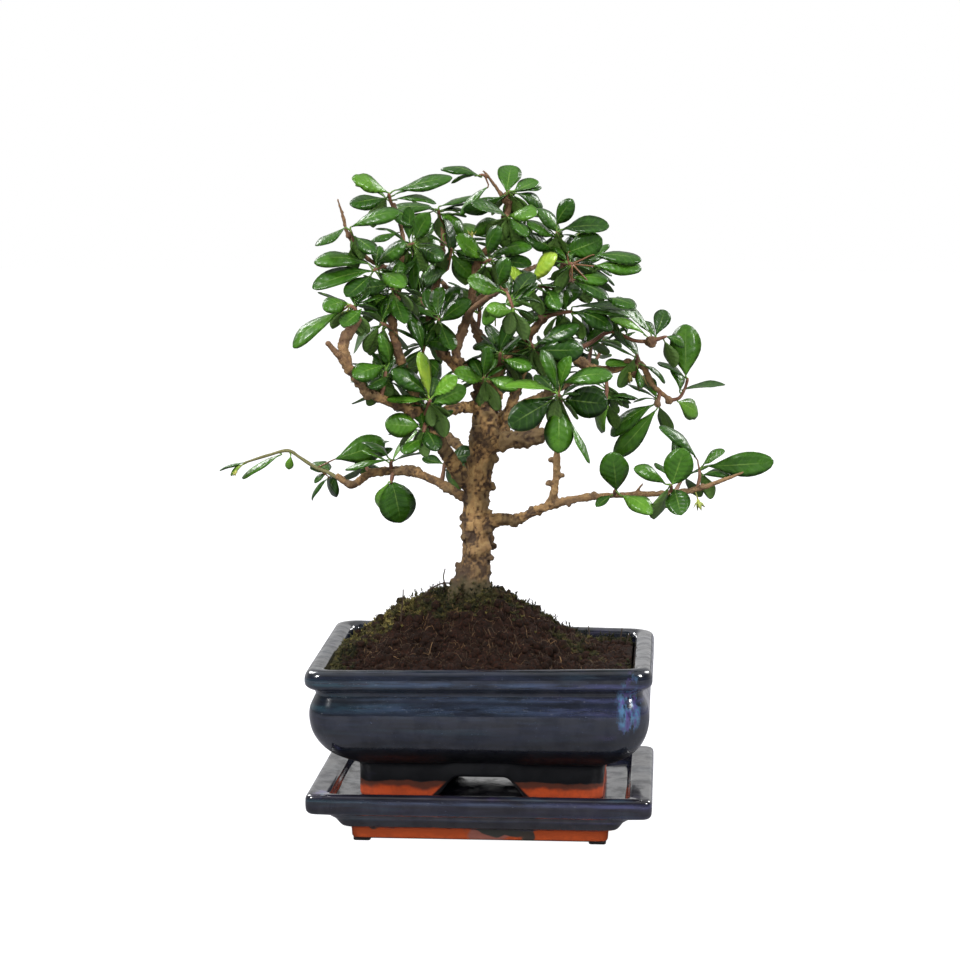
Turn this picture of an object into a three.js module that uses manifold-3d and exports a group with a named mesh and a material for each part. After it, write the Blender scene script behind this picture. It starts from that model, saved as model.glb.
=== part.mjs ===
// A Fukien tea bonsai in its rectangular glazed pot, which stands on a matching glazed saucer.
// Millimetres, +Z up, the long side of the pot along X and its front towards -Y.
import * as THREE from "three";
import { mergeVertices } from "three/addons/utils/BufferGeometryUtils.js";
import Module from "manifold-3d";

const wasm = await Module();
wasm.setup();

// Driving dimensions of the pot
const POT_LENGTH = 150;
const POT_DEPTH = 121;
const POT_TOP = 77.5;
const POT_CORNER = 8;
const POT_WALL = 5;
const POT_FLOOR = 34.5;
const RIM_WARP = 0.0003;
const FOOT_HALF_LENGTH = 53.6;
const FOOT_HALF_DEPTH = 36;
const ARCH_WIDTH_BELOW = 39.5;
const ARCH_WIDTH_ABOVE = 20;
const ARCH_HEIGHT = 9.5;
const DRAIN_RADIUS = 5;
const DRAIN_SPACING = 52;

// Driving dimensions of the saucer
const SAUCER_LENGTH = 150.2;
const SAUCER_DEPTH = 111.2;
const SAUCER_TOP = 21.6;
const SAUCER_FLOOR = 17.5;
const SAUCER_LIP = 8;
const SAUCER_CORNER = 3.5;
const SAUCER_FOOT_LENGTH = 112.8;
const SAUCER_FOOT_DEPTH = 91.6;
const SAUCER_FOOT_TOP = 6.2;
const CORNER_FOOT_HEIGHT = 1.3;
const CORNER_FOOT_LENGTH = 7.5;

// Driving dimensions of the soil mound: the height of its edge, its peak and the depth of its crumbs
const SOIL_EDGE = 74.5;
const SOIL_PEAK = 106;
const SOIL_TEXTURE = 1.1;

// The clearance that pieces keep to what carries them
const SEAT_GAP = 0.3;

// The eye from which the tree was measured: across, back and up from the pot's centre on the ground.
// The whole object stands turned by a few degrees under it.
const EYE = { across: -2.8, back: -1180, up: 295 };
const TURN = THREE.MathUtils.degToRad(4.1);

// A seeded draw in 0..1, the same on every run
function seededDraw(seed) {
  let state = seed >>> 0;
  return () => {
    state = (state + 0x6d2b79f5) >>> 0;
    let t = state;
    t = Math.imul(t ^ (t >>> 15), t | 1);
    t ^= t + Math.imul(t ^ (t >>> 7), t | 61);
    return ((t ^ (t >>> 14)) >>> 0) / 4294967296;
  };
}

// The point that is seen at (across, up) in the plane of the trunk, moved back along its line of sight
function seen(across, up, back = 0) {
  const reach = (back - EYE.back) / -EYE.back;
  const u = EYE.across + (across - EYE.across) * reach;
  const z = EYE.up + (up - EYE.up) * reach;
  return new THREE.Vector3(
    u * Math.cos(TURN) - back * Math.sin(TURN),
    u * Math.sin(TURN) + back * Math.cos(TURN),
    z,
  );
}

// The place [across, up, back] at which the eye sees a point: the reverse of seen()
function unseen(point) {
  const u = point.x * Math.cos(TURN) + point.y * Math.sin(TURN);
  const back = point.y * Math.cos(TURN) - point.x * Math.sin(TURN);
  const reach = (back - EYE.back) / -EYE.back;
  return [EYE.across + (u - EYE.across) / reach, EYE.up + (point.z - EYE.up) / reach, back];
}

const eyePoint = new THREE.Vector3(
  EYE.across * Math.cos(TURN) - EYE.back * Math.sin(TURN),
  EYE.across * Math.sin(TURN) + EYE.back * Math.cos(TURN),
  EYE.up,
);

// A closed three.js geometry as a solid that can be joined and cut
function solidOf(geometry) {
  const plain = geometry.index ? geometry.clone() : geometry;
  plain.deleteAttribute("normal");
  plain.deleteAttribute("uv");
  const merged = mergeVertices(plain, 1e-4);
  const corners = merged.index.array;
  const faces = [];
  for (let i = 0; i < corners.length; i += 3) {
    const [a, b, c] = [corners[i], corners[i + 1], corners[i + 2]];
    if (a !== b && b !== c && c !== a) faces.push(a, b, c);
  }
  return new wasm.Manifold(
    new wasm.Mesh({
      numProp: 3,
      vertProperties: new Float32Array(merged.attributes.position.array),
      triVerts: new Uint32Array(faces),
    }),
  );
}

// The largest single body of a solid, with the scraps that a cut left dropped
function largestBody(solid) {
  const bodies = solid.decompose();
  return bodies.reduce((best, body) => (body.volume() > best.volume() ? body : best));
}

function joinAll(solids) {
  return solids.reduce((whole, next) => whole.add(next));
}

// A named mesh from a solid
function meshOf(name, solid, material) {
  const made = solid.getMesh();
  const width = made.numProp;
  const position = new Float32Array(made.numVert * 3);
  for (let i = 0; i < made.numVert; i++) {
    position.set(made.vertProperties.subarray(i * width, i * width + 3), i * 3);
  }
  const geometry = new THREE.BufferGeometry();
  geometry.setAttribute("position", new THREE.BufferAttribute(position, 3));
  geometry.setIndex(new THREE.BufferAttribute(new Uint32Array(made.triVerts), 1));
  const mesh = new THREE.Mesh(geometry, material);
  mesh.name = name;
  return mesh;
}

// A profile of rings [half length, half depth, height, corner radius], revolved as a lathe is and then
// drawn out to rectangles with round corners. The profile starts and ends on the axis.
// Each side between two corners is split into sideSteps.
const CORNER_STEPS = 3;
function rectangularLathe(rings, sideSteps = 1) {
  const perCorner = CORNER_STEPS + sideSteps;
  const sides = 4 * perCorner;
  const profile = rings.map(([halfLength, , height]) => new THREE.Vector2(halfLength, height));
  const lathe = new THREE.LatheGeometry(profile, sides);
  const position = lathe.attributes.position;
  for (let spoke = 0; spoke <= sides; spoke++) {
    rings.forEach((ring, place) => {
      const [x, y] = rectanglePoint(ring, spoke % sides, perCorner);
      position.setXYZ(spoke * rings.length + place, x, y, ring[2]);
    });
  }
  return lathe;
}

// The point of a round-cornered rectangle that a spoke meets, going round from +X towards +Y
function rectanglePoint([halfLength, halfDepth, , radius], spoke, perCorner) {
  const quarter = Math.floor(spoke / perCorner);
  const step = spoke % perCorner;
  const cornerPoint = (corner, angle) => {
    const signX = corner % 4 === 0 || corner % 4 === 3 ? 1 : -1;
    const signY = corner % 4 < 2 ? 1 : -1;
    return [
      signX * (halfLength - radius) + radius * Math.cos(angle),
      signY * (halfDepth - radius) + radius * Math.sin(angle),
    ];
  };
  const quarterTurn = Math.PI / 2;
  if (step <= CORNER_STEPS) return cornerPoint(quarter, (quarter + step / CORNER_STEPS) * quarterTurn);
  const from = cornerPoint(quarter, (quarter + 1) * quarterTurn);
  const to = cornerPoint(quarter + 1, (quarter + 1) * quarterTurn);
  const share = (step - CORNER_STEPS) / (perCorner - CORNER_STEPS);
  return [from[0] + (to[0] - from[0]) * share, from[1] + (to[1] - from[1]) * share];
}

// A tube along a smooth curve through the given points, its radius running smoothly through the given radii
function taperedTube(curve, radii, sides, steps, swell = 0) {
  const frames = curve.computeFrenetFrames(steps, false);
  const tube = new THREE.CylinderGeometry(1, 1, 1, sides, steps, false);
  const position = tube.attributes.position;
  const along = new THREE.Vector3();
  for (let i = 0; i < position.count; i++) {
    const station = Math.round((0.5 - position.getY(i)) * steps);
    const t = curve.getUtoTmapping(station / steps);
    const place = t * (radii.length - 1);
    const before = Math.min(Math.floor(place), radii.length - 2);
    const radius = THREE.MathUtils.lerp(radii[before], radii[before + 1], place - before) + swell;
    curve.getPoint(t, along);
    along.addScaledVector(frames.normals[station], position.getX(i) * radius);
    along.addScaledVector(frames.binormals[station], position.getZ(i) * radius);
    position.setXYZ(i, along.x, along.y, along.z);
  }
  return tube;
}

const potGlaze = new THREE.MeshStandardMaterial({ color: 0x22314a, roughness: 0.12, metalness: 0 });
const saucerGlaze = new THREE.MeshStandardMaterial({ color: 0x24344c, roughness: 0.12, metalness: 0 });
const peat = new THREE.MeshStandardMaterial({ color: 0x2e2218, roughness: 0.95, metalness: 0 });
const bark = new THREE.MeshStandardMaterial({ color: 0x8d7152, roughness: 0.85, metalness: 0 });
const leafGreen = new THREE.MeshStandardMaterial({ color: 0x2f6420, roughness: 0.3, metalness: 0 });

// The pot: foot, waist, swelling belly, neck and a rolled rim outside, and a plain bowl inside
function makePot() {
  const halfLength = POT_LENGTH / 2;
  const halfDepth = POT_DEPTH / 2;
  const ring = (inset, height, radius) => [halfLength - inset, halfDepth - inset, height, radius];
  const footRing = (inset, height, radius) => {
    return [FOOT_HALF_LENGTH - inset, FOOT_HALF_DEPTH - inset, height, radius];
  };
  const underside = POT_FLOOR - 6;
  const outside = [
    [0, 0, underside, 0],
    footRing(8.6, underside, 3),
    footRing(7, SAUCER_FLOOR, 4),
    footRing(0, SAUCER_FLOOR, 6),
    footRing(-0.3, 35.5, 6),
    [59.6, 43.5, 39, 8],
    ring(10.2, 41.8, 10),
    ring(5, 48.3, 12),
    ring(1.9, 58, 12),
    ring(4, 66.8, 9),
    ring(1.9, 70.6, POT_CORNER),
    ring(0, 74.2, POT_CORNER),
    ring(1, 76.8, POT_CORNER),
    ring(2.6, POT_TOP, POT_CORNER),
  ];
  const inside = [
    ring(8, POT_TOP, 5),
    ring(9, 75.6, 5),
    ring(2 + POT_WALL, 58, 7),
    ring(5 + POT_WALL, 48, 7),
    ring(11 + POT_WALL, 42, 7),
    [48, 32, POT_FLOOR, 5],
    [0, 0, POT_FLOOR, 0],
  ];
  const shell = rectangularLathe([...outside, ...inside]);
  warpRim(shell);
  const drains = [-1, 1].map((side) => {
    const drain = new THREE.CylinderGeometry(DRAIN_RADIUS, DRAIN_RADIUS, 20, 10);
    drain.rotateX(Math.PI / 2);
    drain.translate((side * DRAIN_SPACING) / 2, 0, underside + 3);
    return solidOf(drain);
  });
  return meshOf("pot", solidOf(shell).subtract(joinAll([makeArch(), ...drains])), potGlaze);
}

// The pot left the kiln with its rim a little twisted: two opposite corners stand higher than the others
function warpRim(shell) {
  const position = shell.attributes.position;
  for (let i = 0; i < position.count; i++) {
    const rise = THREE.MathUtils.clamp((position.getZ(i) - 45) / (POT_TOP - 45), 0, 1);
    const twist = -RIM_WARP * position.getX(i) * position.getY(i) * rise;
    position.setZ(i, position.getZ(i) + twist);
  }
}

// The arched opening in the front and back of the foot, as one bar that is cut through both
function makeArch() {
  const arch = new THREE.Shape();
  arch.moveTo(-ARCH_WIDTH_BELOW / 2, -1);
  arch.lineTo(ARCH_WIDTH_BELOW / 2, -1);
  arch.lineTo(ARCH_WIDTH_BELOW / 2, 0);
  arch.quadraticCurveTo(ARCH_WIDTH_ABOVE / 2 + 3, ARCH_HEIGHT - 3, ARCH_WIDTH_ABOVE / 2, ARCH_HEIGHT);
  arch.lineTo(-ARCH_WIDTH_ABOVE / 2, ARCH_HEIGHT);
  arch.quadraticCurveTo(-ARCH_WIDTH_ABOVE / 2 - 3, ARCH_HEIGHT - 3, -ARCH_WIDTH_BELOW / 2, 0);
  const bar = new THREE.ExtrudeGeometry(arch, { depth: POT_DEPTH, bevelEnabled: false, curveSegments: 4 });
  bar.rotateX(Math.PI / 2);
  bar.translate(0, POT_DEPTH / 2, SAUCER_FLOOR);
  return solidOf(bar);
}

// The saucer: a tray with a rolled lip, stepped below down to a clay foot ring on four small corner feet
function makeSaucer() {
  const halfLength = SAUCER_LENGTH / 2;
  const halfDepth = SAUCER_DEPTH / 2;
  const footLength = SAUCER_FOOT_LENGTH / 2;
  const footDepth = SAUCER_FOOT_DEPTH / 2;
  const lipLow = SAUCER_TOP - SAUCER_LIP;
  const tray = rectangularLathe([
    [0, 0, SAUCER_FLOOR - 6, 0],
    [footLength - 8.4, footDepth - 8.4, SAUCER_FLOOR - 6, 3],
    [footLength - 7.4, footDepth - 7.4, CORNER_FOOT_HEIGHT, 3],
    [footLength - 0.5, footDepth - 0.5, CORNER_FOOT_HEIGHT, 4],
    [footLength, footDepth, SAUCER_FOOT_TOP, 4],
    [footLength + 4, footDepth + 2.2, SAUCER_FOOT_TOP + 1.2, 4],
    [footLength + 6.1, footDepth + 4.2, SAUCER_FOOT_TOP + 4.4, 4],
    [footLength + 8.6, footDepth + 6, SAUCER_FOOT_TOP + 6.2, 4],
    [halfLength - 1.5, halfDepth - 1.5, lipLow, SAUCER_CORNER],
    [halfLength, halfDepth, lipLow + 2.6, SAUCER_CORNER],
    [halfLength, halfDepth, SAUCER_TOP - 2, SAUCER_CORNER],
    [halfLength - 0.8, halfDepth - 0.8, SAUCER_TOP - 0.5, SAUCER_CORNER],
    [halfLength - 2, halfDepth - 2, SAUCER_TOP, 3],
    [halfLength - 9.6, halfDepth - 5.4, SAUCER_TOP - 0.4, 3],
    [halfLength - 11.4, halfDepth - 6.8, SAUCER_FLOOR + 0.2, 3],
    [halfLength - 13, halfDepth - 8, SAUCER_FLOOR, 3],
    [0, 0, SAUCER_FLOOR, 0],
  ]);
  const feet = [];
  for (const sideX of [-1, 1]) {
    for (const sideY of [-1, 1]) {
      const foot = new THREE.BoxGeometry(CORNER_FOOT_LENGTH, 6, CORNER_FOOT_HEIGHT + 1);
      const x = sideX * (footLength - 1.2 - CORNER_FOOT_LENGTH / 2);
      const y = sideY * (footDepth - 4.2);
      foot.translate(x, y, (CORNER_FOOT_HEIGHT + 1) / 2);
      feet.push(solidOf(foot));
    }
  }
  return meshOf("saucer", joinAll([solidOf(tray), ...feet]), saucerGlaze);
}

// The height of the mound: steep on the right, with a long shoulder on the left, and a crumbly surface
const MOUND_CREST = { x: -8, y: 4 };
function soilHeight(x, y) {
  const spread = x < MOUND_CREST.x ? 50 : 38;
  const across = Math.exp(-(((x - MOUND_CREST.x) / spread) ** 2));
  const along = Math.exp(-(((y - MOUND_CREST.y) / 31) ** 2));
  const crumbs = Math.sin(x * 0.83 + y * 0.31) * Math.sin(y * 0.94 - x * 0.22 + 1.3);
  return SOIL_EDGE + (SOIL_PEAK - SOIL_EDGE) * across * along + SOIL_TEXTURE * crumbs;
}

// The soil fills the bowl of the pot and leaves holes for the wood that stands in it
function makeSoil(roots) {
  const halfLength = POT_LENGTH / 2;
  const halfDepth = POT_DEPTH / 2;
  const slack = 2 * SEAT_GAP;
  const ring = (inset, height, radius) => [halfLength - inset, halfDepth - inset, height, radius];
  const walls = [
    [0, 0, POT_FLOOR, 0],
    [48 - slack, 32 - slack, POT_FLOOR, 5],
    ring(11 + POT_WALL + slack, 42, 7),
    ring(5 + POT_WALL + slack, 48, 7),
    ring(2 + POT_WALL + slack, 58, 7),
  ];
  const top = [1, 0.83, 0.64, 0.46, 0.29, 0.13, 0].map((share) => [
    (halfLength - 9 - slack) * share,
    (halfDepth - 9 - slack) * share,
    SOIL_EDGE,
    Math.max(5, (halfDepth - 9) * (1 - share) * 1.6) * share,
  ]);
  const body = rectangularLathe([...walls, ...top], 5);
  const position = body.attributes.position;
  for (let i = 0; i < position.count; i++) {
    if (position.getZ(i) !== SOIL_EDGE) continue;
    position.setZ(i, soilHeight(position.getX(i), position.getY(i)));
  }
  return meshOf("soil", solidOf(body).subtract(roots), peat);
}

// The wood, each limb as stations [across, up, back, radius] in the view of seen(), from its root outwards
const LIMBS = {
  trunk: [
    [-6.5, 88, 0, 9.4], [-6, 98, 0, 8.4], [-5.5, 108, 0, 7.5], [-4.3, 120, 0, 6.6], [-4.5, 130, 0, 6.3],
    [-4.8, 140, 0, 5.9], [-4, 150, 1, 5.6], [-2.5, 160, 1, 5.5], [-1, 170, 1, 5.5], [-0.5, 180, 1, 5.6],
    [0, 190, 0, 5.6], [0, 199, 0, 4.4], [-1, 206, 0, 2.6],
  ],
  root_left: [[-7, 112, -2, 3.4], [-12.5, 108, -4, 3.2], [-15.5, 99, -6, 2.6], [-18, 92, -7, 2]],
  root_right: [[-3, 104, 3, 3.4], [4, 99, 7, 2.8], [11, 90, 10, 2]],
  leader: [
    [-2, 196, 0, 3], [-8, 203, 1, 2.4], [-13.5, 209, 2, 2.1], [-10, 221, 4, 2], [-7, 232, 6, 1.9],
    [-5, 242, 7, 1.9], [-3, 252, 8, 1.8], [3, 259, 8, 1.7], [7, 267, 8, 1.6], [10, 276, 7, 1.5],
    [9, 281.5, 6, 1.1],
  ],
  leader_left_tip: [[9, 276, 7, 1.1], [4, 284, 5, 0.9], [-1.5, 291, 3, 0.7]],
  leader_right_tip: [[9.5, 278, 7, 1], [14, 283, 9, 0.8], [16, 286.5, 10, 0.6]],
  leader_back: [
    [-7, 232, 6, 1.6], [6, 240, 18, 1.5], [18, 247, 31, 1.3], [28, 251, 43, 1], [36, 253, 52, 0.8],
  ],
  left_upright: [
    [-9, 201, 2, 2.6], [-17, 208, 6, 2.3], [-25, 220, 12, 2.1], [-24, 230, 15, 2], [-22, 241, 17, 1.8],
    [-20, 252, 19, 1.6], [-19, 262, 21, 1.3], [-20, 270, 22, 1],
  ],
  left_limb: [
    [-6, 149, -1, 3.4], [-12, 157, -5, 3.4], [-16, 163, -9, 3.3], [-20, 170, -14, 3], [-24, 177, -19, 3],
    [-30, 183, -24, 2.6], [-40, 187.5, -30, 2.1], [-52, 193, -38, 2.1], [-59, 201, -43, 2],
    [-63, 207, -46, 1.8],
    [-71, 215.5, -50, 1.2],
  ],
  left_link: [[-4, 187, -1, 3.2], [-15, 185.5, -10, 2.4], [-22, 182.5, -17, 2.2], [-27, 180, -21, 2]],
  left_riser: [
    [-30, 184, -24, 2.4], [-34, 197, -27, 2.3], [-38, 207, -28, 2.2], [-41, 219, -26, 2],
    [-41, 229, -22, 1.8],
    [-39, 241, -16, 1.6], [-37.5, 252, -9, 1.4], [-37, 263, -3, 1.2], [-41, 277, 2, 0.9],
  ],
  left_stub: [[-61, 205, -44.5, 1.9], [-63.5, 214, -43, 2.4], [-60, 221, -40, 1.9], [-56, 226, -38, 1.2]],
  left_twig: [
    [-38, 247, -13, 1.2], [-46, 249, -18, 1.1], [-52, 252, -22, 1.1], [-58, 258, -25, 1],
    [-61.5, 264, -27, 0.9],
    [-63, 270, -28, 0.8], [-65.5, 278.5, -30, 0.6],
  ],
  low_left_limb: [
    [-6, 144, 0, 2.6], [-12, 147.5, 4, 2.2], [-22, 153, 11, 1.9], [-34, 158, 19, 2.2], [-42, 158, 24, 2],
    [-52, 156.5, 29, 1.9], [-60, 151.8, 33, 2], [-67, 156, 36, 1.4],
  ],
  low_right_limb: [
    [-3, 132, -1, 3.8], [5, 136, -4, 3.3], [14, 136.5, -8, 2.3], [27, 142, -13, 2.1],
    [40, 145.3, -18, 1.7],
    [58, 147, -24, 1.4], [78, 147.8, -30, 1.3], [93, 149.5, -34, 1.3], [106, 154, -37, 1],
    [115, 157.5, -39, 0.7],
  ],
  low_right_spur: [[66, 147.5, -26.5, 0.8], [70, 152.5, -29, 0.6]],
  shoot: [
    [27, 141, -13, 2.2], [30, 147, -15, 1.9], [31, 155, -18, 1.5], [31.5, 167, -23, 1.4],
    [32, 178, -28, 1.3],
    [33, 191, -33, 1.4],
  ],
  cut_stub: [[0, 168, -1, 3.4], [8, 171.5, -4, 3.4], [16, 172.5, -8, 3.6], [24.5, 173.5, -12, 3]],
  cut_stub_spur: [[20, 174, -10, 1.6], [24, 181, -13, 1.1]],
  right_second: [
    [3, 170, 2, 3], [7, 175, 4, 2.7], [11, 187, 6, 2.5], [15, 200, 8, 2.4], [16.5, 212, 9, 2.1],
    [20, 219, 9, 1.3],
  ],
  right_leader: [
    [0, 199, 0, 3.6], [7, 207, 2, 3.2], [12, 213, 4, 2.9], [19, 219, 6, 2.2], [25, 226, 5, 1.8],
    [33, 242, 2, 1.8],
    [34, 252, 2, 1.3], [32, 264, 3, 1],
  ],
  right_limb: [
    [14, 209, 7, 2.4], [25, 212, 11, 2.2], [35, 211, 15, 2.1], [45, 204.5, 19, 2.1], [54, 203, 23, 2.1],
    [64, 205.5, 27, 2.1], [69, 205, 29, 1.8], [74, 196, 31, 1.4], [83, 189, 33, 1.1],
  ],
  back_left: [
    [-5, 156, 3, 2.8], [-9, 165, 16, 2.5], [-18, 174, 31, 2.1], [-30, 183, 46, 1.6], [-41, 191, 58, 1],
  ],
  back_right: [
    [0, 176, 4, 2.8], [10, 184, 18, 2.4], [24, 191, 33, 2], [38, 198, 46, 1.5], [48, 206, 57, 1],
  ],
  back_upper: [
    [0, 192, 4, 2.6], [1, 207, 18, 2.2], [-5, 222, 31, 1.8], [-14, 236, 43, 1.4], [-24, 246, 52, 0.9],
  ],
  front_upper: [
    [-9.5, 224, 8, 1.7], [-8.5, 226, 0, 1.6], [-6, 230, -14, 1.4], [2, 236, -33, 1.2],
    [9, 239, -56, 0.8],
  ],
};
const LIMB_SIDES = { trunk: 9, left_limb: 6, left_riser: 6, low_right_limb: 6, leader: 6, right_limb: 6 };

function limbTube(name, swell = 0) {
  const stations = LIMBS[name];
  const radii = stations.map((station) => station[3]);
  const steps = Math.max(3, stations.length - 1);
  return solidOf(taperedTube(curveOf(stations), radii, LIMB_SIDES[name] ?? 5, steps, swell));
}

// The trunk with all its limbs, which grew as one piece
function makeWood() {
  return joinAll(Object.keys(LIMBS).map((name) => limbTube(name)));
}

// The hole that the trunk and the roots leave in the soil
function rootHole() {
  return joinAll(["trunk", "root_left", "root_right"].map((name) => limbTube(name, SEAT_GAP)));
}

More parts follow.
